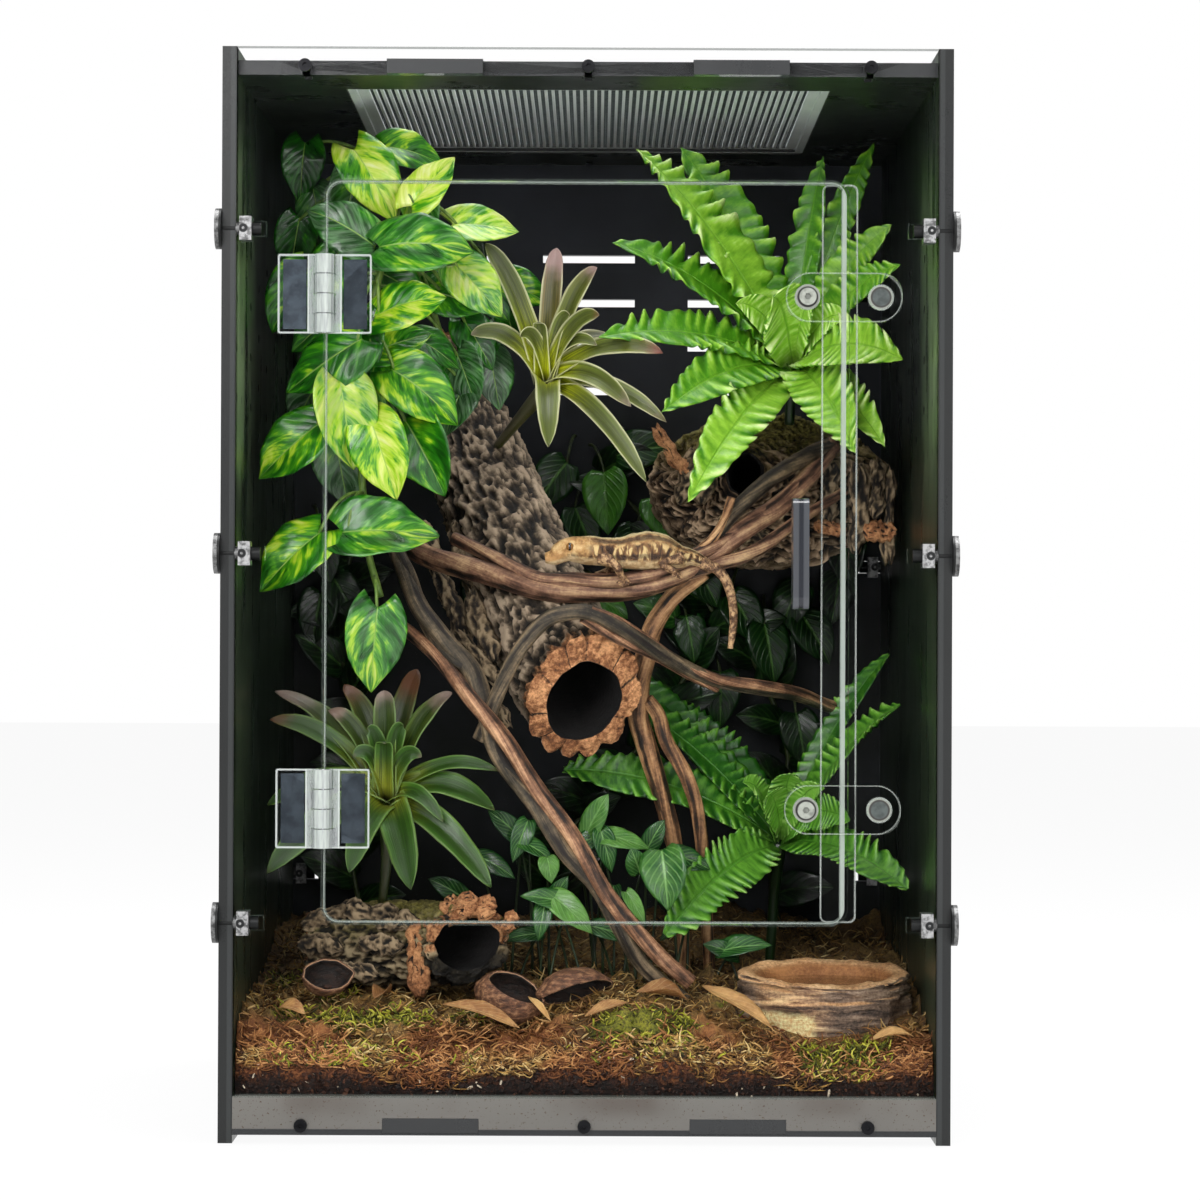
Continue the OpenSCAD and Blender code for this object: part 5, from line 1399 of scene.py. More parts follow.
def cork_tube(name, finish, node, path, wide, high, hole, seed, lobes, jag, furrow, offset=(0, 0, 0), pit=0.2,
              stretch=0.55, face=(0.09, 0.0), rim=0.04, cut=1.0, upper_only=False):
    """A hollow bark tube bent from a torus: pitted outside, with lobed ends and a bore of its own size."""
    deselect()
    bpy.ops.mesh.primitive_torus_add(major_segments=160, minor_segments=300, major_radius=1,
                                     minor_radius=0.25)
    obj = bpy.context.object
    obj.name = name
    points = points_of(obj.data)
    angle = np.arctan2(points[:, 1], points[:, 0])
    around = (np.arctan2(points[:, 2], np.hypot(points[:, 0], points[:, 1]) - 1) / (2 * np.pi) + 0.25) % 1
    # The small circle of the torus runs up the outside, over one end, down the bore and over the other
    stops = (0.0, 0.56 - face[0], 0.56 + face[0] * 0.3, 0.91, 1.0)
    along = np.interp(around, stops, (0, 1, 1, 0, 0))
    deep = np.interp(around, stops, (0, 0, 1, 1, 0))
    line = curve(places(path), 80)
    tangent, side, up = frames_along(line)
    circle = np.stack([np.cos(angle), np.sin(angle)], axis=1)
    spot = lambda flat, third: np.column_stack([flat, third])
    rolled = spot(circle, along * length_of(line) / 0.03)
    on_end = (deep > 0.02) & (deep < 0.97)
    on_face = on_end & (along > 0.5)
    cracked_face = face[1] > 0
    lump = np.abs(np.cos(lobes / 2 * angle + 1.1 * np.sin(angle * 2 + seed)))
    swell = lump ** 0.7
    near_end = np.maximum(np.exp(-along / 0.05), np.exp(-(1 - along) / 0.05))
    wander = 0.07 * rough(rolled * (1, 1, 0.4), 0.8, 2, seed + 1)
    grown = rolled * (1, 1, stretch)
    if cracked_face:
        across_face = spot(circle * (1 - deep)[:, None], deep * 0.4)
        grown = np.where(on_face[:, None], across_face * 1.5 + (0, 0, 2), grown)
    net = 1 - np.clip(np.abs(rough(grown, pit, 3, seed)) * 2.4, 0, 1)
    skin = np.clip(plates(grown, pit * 1.9, seed) * 2.6, 0, 1)
    fine = rough(grown, pit * 0.42, 3, seed + 2)
    ridge = np.clip(net * 0.7 + skin * 0.4 + fine * 0.35, 0, 1)
    calm = on_face & (not cracked_face)
    relief = (ridge - 1) * furrow * np.where(calm, 0.25, 1.0)
    share = 1 + wander + 0.11 * (swell - 0.7) * near_end
    inner_share = 1 + 0.4 * wander + 0.05 * rough(rolled, 0.5, 2, seed + 4)
    size_of = lambda wide, high: np.stack([value_at(along, wide), value_at(along, high)], axis=1)
    ring = circle * size_of(wide, high)
    outside = ring * share[:, None] + ring / np.linalg.norm(ring, axis=1, keepdims=True) * relief[:, None]
    inside = circle * size_of(*hole) * inner_share[:, None]
    flat = (outside * (1 - deep[:, None]) + inside * deep[:, None]) * MM
    at_row = reader(along, len(line))
    bore = np.asarray(offset, float) * MM * (deep * along)[:, None]
    laid = at_row(line) + bore + at_row(side) * flat[:, :1] + at_row(up) * flat[:, 1:]
    # The ends are broken off unevenly, and swell between the clefts of their lobes
    end_noise = rough(spot(circle, deep * 0.6), 0.45, 3, seed + 3)
    push = (jag[1] * np.exp(-(1 - along) / 0.04) - jag[0] * np.exp(-along / 0.04)) * (end_noise - 0.8)
    push += on_face * ((ridge - 1) * face[1] if cracked_face else (swell - 1) * 2.0 * (1 - deep) + fine * 0.5)
    laid += at_row(tangent) * (push * MM)[:, None]
    edge_tan = np.exp(-np.minimum(along, 1 - along) / rim) * (0.55 + 0.6 * end_noise + 0.5 * fine) * cut
    tan_share = cut * (np.clip(2 * np.sin(angle) + 0.7, 0.1, 1) if upper_only else 1)
    kind = np.where(on_end, tan_share, np.clip(edge_tan, 0, 1) * tan_share)
    crack = np.where(calm, np.clip(lump * 1.9 + 0.4 * fine, 0, 1), ridge)
    # For upper_only, the lower half near the far end is darkened as painted shade.
    if upper_only:
        crack = crack * np.where(along > 0.8, np.clip(1 + 1.6 * np.sin(angle), 0.15, 1), 1)
    # The along value marks the bore, which the finish paints nearly black as shade.
    dress(obj, laid, finish, "cork_bark", node, tone=crack, mark=kind, along=deep >= 0.97)


# Each slab of bark: its top, its foot, half its width and half its thickness; the first ones are orange
ORANGE_SLABS = 9
SLABS = (
    (-72, 62, 87, -71, 56, 56, 5.0, 2.4), (-60, 60, 88, -58, 70, 97, 4.6, 2.4),
    (-52, 59, 90, -50, 68, 99, 4.6, 2.4), (-43, 59, 89, -41, 67, 97, 4.4, 2.4),
    (-34, 60, 84, -31, 66, 91, 3.6, 2.2), (31, 146, 306, 47, 150, 284, 3.2, 2.6),
    (36, 150, 296, 50, 152, 278, 2.6, 2.2), (126, 146, 260, 141, 147, 259, 4.6, 3.2),
    (104, 147, 262, 118, 146, 260, 3.0, 2.4), (124, 147, 290, 123, 148, 250, 4.6, 3.2),
    (132, 146, 292, 131, 148, 266, 4.2, 3.2), (139, 148, 288, 138, 150, 246, 3.6, 3.0),
    (112, 148, 290, 111, 148, 264, 4.6, 2.6), (58, 147, 300, 52, 149, 272, 4.4, 2.8),
    (49, 149, 296, 42, 151, 272, 4.0, 2.8), (60, 148, 262, 82, 148, 256, 5.0, 2.6),
    (-124, 84, 84, -98, 82, 91, 5.0, 3.0), (-104, 74, 91, -82, 70, 90, 5.4, 3.0),
    (-76, 176, 262, -66, 150, 234, 4.2, 2.6), (-68, 150, 238, -54, 124, 208, 4.6, 3.0),
    (-60, 166, 262, -52, 138, 234, 4.6, 3.0), (-52, 132, 230, -40, 104, 200, 4.4, 3.0),
    (-58, 122, 212, -40, 96, 190, 3.6, 2.6), (-44, 152, 262, -38, 124, 236, 4.0, 2.8),
    (-50, 104, 190, -34, 88, 172, 3.4, 2.4), (-90, 66, 86, -72, 62, 88, 4.6, 2.6),
    (-125, 78, 76, -106, 74, 74, 4.6, 3.0), (-98, 66, 78, -80, 61, 76, 4.2, 2.6),
    (-110, 68, 66, -90, 62, 64, 4.4, 2.6))
# The levels of each bark: deep in its pits, outside, on its ridges, and where it is cut
BARK_LEVELS = {
    "tube": ((54, 44, 33), (114, 98, 79), (190, 168, 142), (142, 90, 54), (238, 178, 124)),
    "hide": ((58, 50, 34), (112, 96, 70), (168, 150, 116), (142, 92, 56), (214, 160, 110)),
    "ledge": ((60, 46, 32), (122, 99, 74), (198, 170, 138), (150, 94, 60), (206, 148, 104)),
    "orange": ((58, 42, 28), (120, 96, 70), (176, 150, 118), (150, 96, 58), (222, 164, 112)),
    "brown": ((52, 42, 30), (110, 92, 68), (170, 148, 116), (150, 94, 60), (206, 148, 104)),
}


def slab_shape(k):
    """Shape of a broken slab: tapering, pitted and ragged at its ends; worn keeps how raised each point is.
    """
    def shape(x, y, z):
        spot = np.stack([x, y * 3.2, z], axis=1)
        pits = np.abs(rough(spot * (1, 0.45, 1), 0.34, 3, k + 30)) * 2.2
        shape.worn = rough(spot, 0.9, 2, k) * 0.6 + (0.55 - pits)
        push = 1 + 0.34 * shape.worn
        taper = np.interp(y, [0, 0.15, 0.5, 0.85, 1], [0.5, 0.95, 0.8 + 0.3 * np.sin(k), 0.95, 0.35])
        sway = 0.3 * rough(spot * (0, 1, 0), 0.7, 2, k + 90)
        ragged = 0.09 * rough(spot * (1, 0.1, 1), 0.4, 2, k + 60) * (y - 0.5) * 2
        return x * push * taper + sway, y + ragged, z * push
    return shape


def build_slabs():
    """Broken slabs of bark that stand out from the hide, the tube and the ledge."""
    rng = np.random.default_rng(19)
    bunches = {"orange": Bunch(), "brown": Bunch()}
    slab = rod(30, 22)
    for k, row in enumerate(SLABS):
        orange = k < ORANGE_SLABS
        bunch = bunches["orange" if orange else "brown"]
        shape = slab_shape(k)
        path = bow(at(*row[:3]), at(*row[3:6]), (rng.uniform(-1.5, 1.5) * MM, 0, 0), 31)
        bunch.lay(slab, path, *row[6:], face=(0, -1, 0.1), shape=shape, mark=1.0 if orange else 0.1)
        # The tone follows the relief, so the pits are darkened, partly as the bark's colour and partly as
        # painted shade.
        bunch.repaint(along=0, tone=np.clip(0.5 + 0.7 * shape.worn, 0, 1))
    for name, bunch in bunches.items():
        finish = bark_finish("cork_chip_" + name, *BARK_LEVELS[name])
        bunch.plant("cork_chips_" + name, finish, "cork_bark")


class TERRARIUM_OT_cork(bpy.types.Operator):
    """Builds the leaning cork tube, the low cork hide, the cork ledge and their broken slabs"""

    bl_idname = "terrarium.cork"
    bl_label = "Cork"

    def execute(self, context):
        finish = bark_finish("cork_bark_tube", *BARK_LEVELS["tube"])
        path = [(-78, 272, 344), (-62, 240, 317), (-46, 194, 277), (-29, 150, 238), (-11, 110, 200),
                (-1, 80, 185)]
        cork_tube("cork_tube_leaning", finish, "cork_tube_large", path, (21.5, 23.5, 25.5, 27, 27, 26.6),
                  (21.5, 23.5, 26, 28.5, 30, 30.2), ((13, 14, 15, 16.5, 17), (13, 14, 15, 17.5, 18.6)),
                  3, 12, (2, 0.8), 3.8, offset=(0, 0, -2.6))
        finish = bark_finish("cork_bark_hide", *BARK_LEVELS["hide"], (0.075, 0.095))
        path = [(-122, 98, 70), (-98, 94, 73), (-74, 84, 76), (-58, 72, 77), (-50, 58, 78)]
        cork_tube("cork_low_hide", finish, "cork_hide_low", path, (22, 23, 22.5, 21), (18, 20, 19.5, 17.5),
                  (15.5, 11.5), 7, 8, (3, 3), 3.2, rim=0.07, upper_only=True)
        finish = bark_finish("cork_bark_ledge", *BARK_LEVELS["ledge"], (0.284, 0.304))
        path = [(86, 297.5, 279), (85, 250, 279), (84, 200, 279), (84, 152, 279)]
        cork_tube("cork_ledge", finish, "cork_ledge_right", path, 54, 36, (7.5, 9.5), 12, 14, (0, 3), 4.0,
                  offset=(-12, 0, 7), pit=0.17, stretch=0.4, face=(0.26, 5.0), cut=0.1)
        build_slabs()
        return {"FINISHED"}


def wood_finish(name, dark, mid, light):
    """Peeled vine wood: brown, grain-streaked, ridges paler as painted highlight, folds dark as painted
    shade.
    """
    f = Finish(name)
    fold, turn, long = f.points("tone", "across", "mark")
    winding = f.vector(turn.math("SINE") * 1.2, turn.math("COSINE") * 1.2, long * 0.16)
    streaks = f.noise(0.5, 4, 0.65, 0.4, vector=winding)
    blotch = f.noise(0.014, 3, 0.6)
    grain = f.noise(0.0014, 4, 0.7)
    # Ridges are paler as painted highlight.
    amount = streaks * 0.55 + blotch * 0.4 + grain * 0.2 + fold * 0.14 - 0.16
    colour = f.ramp(amount, (0.3, dim(dark, 0.45)), (0.42, dark), (0.53, mid), (0.66, light))
    # Painted shade in the folds between the ridges.
    colour = f.mix((26, 17, 11), colour, fold.step(0.0, 0.34))
    return f.surface(colour, 0.6, f.bump(streaks + grain * 0.35, 0.0009, 0.9))


STRAND_MASTERS = {}


def wood_strand(bunch, path, radius, seed, slot):
    """One strand of vine wood, with ridges that wind round it, and burls."""
    sides, ridges, twist, lumps, row = 22, 3, 0.7 * 2 * np.pi, 0.12, 0.0016
    count = max(24, int(length_of(path) / row))
    line = curve(path, count) if len(path) < count else path
    if count not in STRAND_MASTERS:
        STRAND_MASTERS[count] = rod(count - 1, sides)
    total = length_of(line)

    def shape(x, y, z):
        angle = np.arctan2(z, x)
        spot = np.stack([np.cos(angle) * 0.6, np.sin(angle) * 0.6, y * total / 0.02], axis=1)
        wave = np.sin(ridges * angle + y * twist + 1.4 * rough(spot * (1, 1, 0.3), 1, 2, seed))
        push = 1 + 0.08 * wave + lumps * rough(spot * (1, 1, 0.6), 0.9, 3, seed + 1)
        # fold is low in the grooves, where the finish paints shade.
        shape.fold = np.clip(0.62 + 0.5 * wave + 0.35 * rough(spot, 0.4, 2, seed + 2), 0, 1)
        shape.angle = angle
        return x * push, y, z * push
    bunch.lay(STRAND_MASTERS[count], line, radius, face=(0.1, 0.2, 1), shape=shape, slot=slot)
    y = bunch.values[-1][:, 1]
    bunch.repaint(across=shape.angle + y * twist, tone=shape.fold, mark=y * total / 0.01 + seed * 5)


def wound(path, count, swing, turns, phase):
    """A path that winds round another at the given distance."""
    line = curve(path, count)
    _, side, up = frames_along(line)
    angle = np.linspace(0, turns * 2 * np.pi, count) + phase
    fade = np.minimum(1, np.minimum(np.linspace(0, 8, count) + 0.3, np.linspace(8, 0, count) + 0.3))
    return line + (side * np.cos(angle)[:, None] + up * np.sin(angle)[:, None]) * (swing * fade)[:, None]


MAIN = (
    (-82, 150, 254), (-71, 138, 246), (-47, 116, 239), (-20, 96, 231.5), (3, 90, 231), (25, 88, 233.5),
    (40, 92, 239.5), (53, 98, 247), (70, 106, 260), (90, 124, 274), (112, 148, 299))
MAIN_SECOND = (
    (-60, 134, 255), (-40, 113, 245), (-22, 97, 237), (-8, 91, 236.5), (14, 85, 236.5), (36, 88, 242),
    (58, 99, 252), (84, 116, 269), (104, 138, 290))
MAIN_THIRD = (
    (30, 91, 234), (54, 95, 242), (76, 103, 250), (96, 122, 264), (118, 150, 278))
MAIN_DARK = (
    (44, 96, 246), (56, 100, 254), (65, 103, 266), (80, 112, 280), (96, 129, 291), (113, 148, 300))
TWIST = (
    (-90, 118, 268), (-82, 100, 240), (-75, 88, 223), (-63, 80, 209), (-50, 74, 196), (-43, 70, 180),
    (-37, 66, 160), (-22, 58, 138), (-10, 55, 118), (4, 54, 104), (14, 56, 88), (26, 60, 70), (44, 62, 54))
TWIST_SECOND = (
    (-80, 92, 214), (-65, 78, 200), (-53, 66, 187), (-42, 60, 176), (-32, 58, 164), (-22, 56, 148),
    (-6, 53, 124), (8, 51, 100), (26, 54, 80), (46, 58, 62))
FORK = (
    (52, 98, 240), (39, 102, 229), (31, 104, 216), (28, 106, 204), (25, 108, 190), (24, 110, 176),
    (27, 112, 165), (34, 116, 140), (40, 120, 110), (44, 124, 58))
FORK_SECOND = (
    (27, 107, 183), (32, 110, 176), (36, 112, 164), (46, 114, 146), (52, 118, 120), (56, 122, 58))
ARCH = (
    (-46, 70, 166), (-36, 64, 190), (-28, 60, 206), (-18, 58, 218), (-8, 58, 222), (2, 60, 222),
    (13, 64, 217), (26, 72, 209), (40, 82, 200), (57, 92, 192), (76, 104, 188), (96, 122, 184),
    (114, 146, 178))
ARCH_SECOND = (
    (-2, 62, 219), (14, 68, 210), (30, 78, 203), (46, 88, 194), (58, 96, 188))
ARCH_UPPER = [(x, depth - 1.4, z + 1.2) for x, depth, z in ARCH[5:]]
MAIN_STUB = (
    (48, 96, 247), (56, 96, 255), (61, 95, 264), (64, 94, 273))
# The levels of each wood: in its grain, in between and on its ridges
WOODS = {
    "warm": ((84, 56, 42), (142, 104, 80), (208, 172, 128)),
    "red": ((78, 52, 36), (142, 100, 72), (214, 168, 126)),
    "tan": ((98, 66, 42), (172, 126, 84), (218, 176, 126)),
    "dark": ((44, 38, 28), (86, 74, 56), (146, 124, 94)),
}
# Each branch: its piece, its node, its woods and its strands. Each strand: its path, how it winds (points,
# distance, turns and start) or None, its radii along it, its seed and which of the woods it has
BRANCHES = (
    ("main_branch_wood", "main_branch", ("warm", "dark", "tan"), (
        (MAIN, (150, 0.0012, 1.0, 0.4), (5.4, 5.2, 4.9, 4.2), 1, 0),
        (MAIN_SECOND, (130, 0.0008, 1.0, 2.0), (3.0, 3.6, 3.3, 2.6), 2, 0),
        (MAIN_THIRD, None, (2.6, 3.0, 2.0), 3, 0),
        (MAIN_DARK, None, (2.2, 3.7, 3.9, 3.3), 4, 1),
        (MAIN_STUB, None, (3.0, 2.0, 1.6, 2.0), 5, 2))),
    ("left_twisted_wood", "left_twisted_branch", ("red", "dark"), (
        (TWIST, (190, 0.0012, 2.0, 0.0), (3.4, 4.4, 3.9, 3.2), 11, 1),
        (TWIST_SECOND, (150, 0.0014, 1.6, 1.4), (3.0, 3.8, 3.6, 3.4), 12, 0),
        (TWIST[3:], (150, 0.0034, 1.5, 3.0), (1.2, 1.9, 1.5), 13, 1),
        (TWIST[:5], (90, 0.0030, 1.2, 5.4), (1.6, 2.8, 3.0, 1.8), 14, 1))),
    ("fork_wood", "fork_branch", ("tan",), (
        (FORK, (140, 0.001, 1.0, 0.0), (3.4, 4.8, 4.4, 3.4, 3.2), 21, 0),
        (FORK_SECOND, None, (3.2, 3.3, 2.8, 2.6), 22, 0))),
    ("arched_wood", "arched_branch", ("dark", "red"), (
        (ARCH, (160, 0.0006, 1.5, 0.0), (3.4, 3.5, 3.0, 2.4), 31, 0),
        (ARCH_SECOND, None, (1.9, 2.3, 1.9), 32, 1),
        (ARCH_UPPER, (110, 0.0007, 1.5, 1.0), (1.2, 2.6, 2.5, 2.2), 33, 1))),
)


class TERRARIUM_OT_branches(bpy.types.Operator):
    """Builds the four vine-wood branches from winding strands"""

    bl_idname = "terrarium.branches"
    bl_label = "Branches"

    def execute(self, context):
        woods = {key: wood_finish("vine_wood_" + key, *levels) for key, levels in WOODS.items()}
        for name, node, kinds, strands in BRANCHES:
            bunch = Bunch()
            for path, winding, radii, seed, slot in strands:
                line = wound(places(path), *winding) if winding else places(path)
                wood_strand(bunch, line, radii, seed, slot)
            bunch.plant(name, [woods[kind] for kind in kinds], "vine_wood", node)
        return {"FINISHED"}


# ---- Climbing vine ----

def heart_leaf(fold, curl, lobes, wave, seed):
    """Shape of a heart-shaped leaf: round lobes behind the stalk, a folded midrib and a drawn-out tip."""
    def shape(x, y, z):
        wide = np.interp(y, [0, 0.05, 0.14, 0.28, 0.45, 0.62, 0.78, 0.9, 0.97, 1],
                         [0.5, 0.74, 0.92, 1.0, 0.97, 0.82, 0.55, 0.26, 0.09, 0.015])
        out = np.abs(x) * wide
        back = lobes * (2 * np.abs(x)) ** 1.3 * np.exp(-y / 0.16)
        lift = fold * out + curl * (2 * out) ** 2 * 0.5
        lift = lift + wave * np.sin(y * 17 + seed * 9 + np.sign(x)) * (2 * np.abs(x)) ** 2
        return x * wide, y - back, z * (0.45 + 0.55 * wide) + lift
    return shape


def vine_finish(name):
    """Glossy vine leaf: deep green with yellow and cream splashes that follow the side veins."""
    f = Finish(name)
    tone = f.point("tone")
    across, along = f.points("across", "along")
    out = across.size()
    vein = along - out * 0.8
    left = across.step(-0.01, 0.01)
    splash = f.noise(1.0, 3, 0.6, 0.8, vector=f.vector(vein * 3.4, out * 2.2 + left * 4, tone * 37))
    fleck = f.noise(1.0, 3, 0.65, 0.3, vector=f.vector(vein * 15, out * 2.6 + left * 7, tone * 19))
    patch = f.noise(0.011, 2, 0.5)
    amount = splash * 0.56 + fleck * 0.22 + patch * 0.24 + (tone - 0.5) * 0.22
    colour = f.ramp(amount, (0.38, (10, 58, 6)), (0.49, (30, 106, 10)), (0.55, (78, 154, 18)),
                    (0.6, (164, 204, 34)), (0.69, (208, 222, 104)), (0.8, (218, 226, 166)))
    # Painted reflection: a bluish sky sheen on some leaves.
    sky_sheen = (tone * 7.3).math("FRACT").step(0.55, 0.75) * fleck.step(0.35, 0.65)
    colour = f.mix(colour, (126, 156, 120), sky_sheen * 0.4)
    rib = out.step(0.02, 0.005)
    colour = f.mix(colour, (150, 188, 84), rib * 0.6)
    swell = (vein * 22).math("SINE").size() * 0.35 + rib * -0.6 + fleck * 0.3
    relief = f.bump(swell, 0.0007, 0.5)
    return f.surface(colour, splash * 0.1 + 0.24, relief, Coat_Weight=0.2, Coat_Roughness=0.12)


def stem_finish(name, low, high):
    """Green stem with paler ridges along it."""
    f = Finish(name)
    streak = f.noise(0.002, 3, 0.6, vector=f.stretch(1, 1, 0.3))
    colour = f.ramp(streak, (0.3, low), (0.7, high))
    return f.surface(colour, 0.45, f.bump(streak, 0.0003, 0.6))


# Each vine leaf: its middle (three numbers), the way its tip points in degrees, its length and its tone
# A low tone gives a deep green leaf; on the leaves deep in the tangle it stands partly for painted shade.
VINE_LEAVES = (
    (-78, 96, 424, -15, 27, 0.55), (-94, 84, 409, -60, 36, 0.9), (-68, 76, 410, 50, 29, 1.0),
    (-45, 86, 391, -5, 29, 0.95), (-108, 70, 389, 152, 33, 0.12), (-70, 64, 379, -2, 41, 0.5),
    (-77, 64, 354, 15, 32, 0.75), (-81, 72, 339, 20, 27, 0.55), (-114, 60, 328, 215, 40, 0.45),
    (-104, 58, 302, -82, 38, 0.95), (-95, 66, 315, -100, 28, 0.6), (-71, 68, 315, -40, 37, 0.62),
    (-88, 58, 287, -72, 36, 0.9), (-71, 76, 289, -62, 38, 0.3), (-129, 60, 291, 222, 36, 0.6),
    (-66, 80, 335, -35, 25, 0.15), (-48, 84, 363, -48, 30, 0.8), (-99, 70, 335, -90, 31, 0.2),
    (-132, 92, 359, -120, 32, 0.45), (-106, 100, 402, -100, 30, 0.1), (-104, 98, 387, -80, 30, 0.1),
    (-73, 82, 396, -80, 26, 0.65), (-54, 104, 325, -70, 26, 0.12), (-49, 108, 341, -60, 26, 0.2),
    (-59, 106, 312, -110, 26, 0.12), (-85, 90, 366, -30, 32, 0.2), (-118, 84, 346, -140, 32, 0.15),
    (-113, 80, 363, -100, 32, 0.35), (-59, 98, 360, -20, 28, 0.3), (-108, 80, 284, -80, 34, 0.1),
    (-44, 114, 362, -50, 27, 0.45), (-35, 120, 350, -75, 25, 0.2), (-50, 116, 340, -110, 27, 0.15),
    (-29, 124, 366, -25, 25, 0.6), (-42, 122, 326, -80, 27, 0.12), (-57, 112, 376, -30, 27, 0.5),
    (-128, 112, 418, -95, 27, 0.05), (-121, 114, 398, -80, 27, 0.1), (-131, 106, 384, -100, 27, 0.05),
    (-85, 60, 255, -2, 42, 0.5), (-128, 60, 243, 225, 37, 0.62), (-92, 62, 205, -95, 37, 0.5),
    (-122, 86, 315, -120, 32, 0.1), (-83, 88, 306, -60, 32, 0.1))
VINE_STEM = (
    (-100, 150, 428), (-84, 110, 412), (-86, 84, 392), (-92, 74, 365), (-98, 72, 335), (-100, 72, 305),
    (-98, 74, 275), (-96, 74, 250), (-90, 72, 228))
VINE_ROOT = (
    (-66, 244, 337), (-82, 224, 388), (-98, 186, 424), (-100, 150, 428))


def leaf_way(degrees, lean):
    angle = math.radians(degrees)
    return np.array([math.cos(angle), lean, math.sin(angle)])


def leaf_ends(middle, way, long):
    half = way * long * 0.5 * MM
    return middle - half, middle + half


class TERRARIUM_OT_vine(bpy.types.Operator):
    """Hangs the climbing vine with its streaked heart-shaped leaves"""

    bl_idname = "terrarium.vine"
    bl_label = "Climbing Vine"

    def execute(self, context):
        rng = np.random.default_rng(41)
        master, thread = blade(26, 16, 0.012), rod(10, 7)
        leaves, stems = Bunch(), Bunch()
        stem_line = curve(places(VINE_STEM), 60)
        stems.lay(rod(60, 8), stem_line, 1.6)
        stems.lay(rod(40, 8), curve(places(VINE_ROOT), 40), 1.8)
        for k, (*middle, degrees, long, shade) in enumerate(VINE_LEAVES):
            way = leaf_way(degrees, rng.uniform(-0.1, 0.3))
            base, tip = leaf_ends(at(*middle), way, long)
            droop = rng.uniform(0.05, 0.16) * long * MM
            path = bow(base, tip, (0, -droop, droop * 0.35), 27)
            face = unit([rng.uniform(-0.45, 0.45), -1, rng.uniform(0.05, 0.75)])
            shape = heart_leaf(rng.uniform(0.1, 0.34), rng.uniform(-0.3, 0.1), rng.uniform(0.12, 0.2),
                               rng.uniform(0.005, 0.03), k)
            leaves.lay(master, path, long * 0.74, face=face, twist=(0, rng.uniform(-0.35, 0.35)), shape=shape,
                       tone=shade)
            near = stem_line[np.argmin(np.linalg.norm(stem_line - base - (0, 0, 0.015), axis=1))]
            stalk = bow(near, base + way * 0.06 * long * MM, (0, -0.004, 0.006), 11)
            stems.lay(thread, stalk, (0.9, 0.7))
        leaves.plant("vine_leaves", vine_finish("vine_leaf"), "pothos_leaf", "pothos_vine")
        stems.plant("vine_stems", stem_finish("vine_stem", (58, 96, 30), (132, 160, 70)), "pothos_leaf")
        return {"FINISHED"}


# ---- Bromeliads and ferns ----

def strap_leaf(fold, seed):
    """Shape of a strap leaf: a wide clasping base, a channel along its middle and a blunt, pointed tip."""
    stops = [0, 0.12, 0.3, 0.6, 0.8, 0.9, 0.96, 0.985, 1]

    def shape(x, y, z):
        wide = np.interp(y, stops, [1.35, 1.2, 1.08, 1, 0.8, 0.56, 0.3, 0.14, 0.02])
        out = np.abs(x) * wide
        depth = fold * (1.15 - y)
        ease = 0.03 * np.sin(y * 15 + seed + np.sign(x)) * (2 * np.abs(x)) ** 2
        return x * wide * (1 - 0.25 * depth), y, z * (0.4 + 0.6 * wide) + depth * out * 1.1 + ease
    return shape


def bromeliad_finish(name, base, middle, edge, tip):
    """Bromeliad strap: olive green with fine lines along it, paler edges, a rosy tip and painted shade at its
    base.
    """
    f = Finish(name)
    across, along, tone = f.points("across", "along", "tone")
    out = across.size()
    lines = f.noise(1.0, 3, 0.6, vector=f.vector(across * 26, along * 1.2, tone * 31))
    blotch = f.noise(0.01, 3, 0.6)
    colour = f.mix(base, middle, (along + blotch * 0.3 - 0.15).step(0.1, 0.5))
    colour = f.mix(colour, between(middle, tip), (tone + along * 0.5 - 0.25).step(0.35, 0.95) * 0.9)
    shade = lines.step(0.36, 0.66)
    colour = f.mix(colour, dim(middle, 0.42), shade * 0.75)
    channel = out.step(0.42, 0.12) * (along + lines * 0.4).step(0.3, 0.7)
    colour = f.mix(colour, dim(middle, 0.5), channel * 0.6)
    rim = (out + lines * 0.1).step(0.42, 0.54) * (1 - shade * 0.5)
    colour = f.mix(colour, edge, rim * 0.85)
    end = (along + blotch * 0.3 + (tone - 0.5) * 0.45).step(0.88, 1.14)
    rosy = f.mix(tip, between(tip, (200, 200, 200)), (tone * 5.3).math("FRACT").step(0.45, 0.55))
    colour = f.mix(colour, rosy, end * 0.9)
    # Painted shade: the leaf bases and the crown, in the rosette's heart, are nearly black.
    colour = f.mix(colour, (12, 12, 6), along.step(0.12, 0.0) * 0.85)
    relief = f.bump(lines, 0.0004, 0.6)
    return f.surface(colour, lines * 0.12 + 0.32, relief, Coat_Weight=0.15, Coat_Roughness=0.2)


def fern_wave(across, along, ripples, seed):
    """Height of a frond's ripples, minus one to one; each side has its own rhythm."""
    out = np.abs(across) * 2
    side = np.where(across > 0, 1.09, 0.94)
    phase = (along + 0.05 * out) * ripples * side * 2 * np.pi + side * 9 + seed
    phase += 1.8 * np.sin(along * 8 + seed * 2)
    slow = 0.6 + 0.4 * np.sin(along * 17 + side * 5 + seed)
    return np.sin(phase + 1.2 * np.sin(along * 23 + seed * 5)) * slow


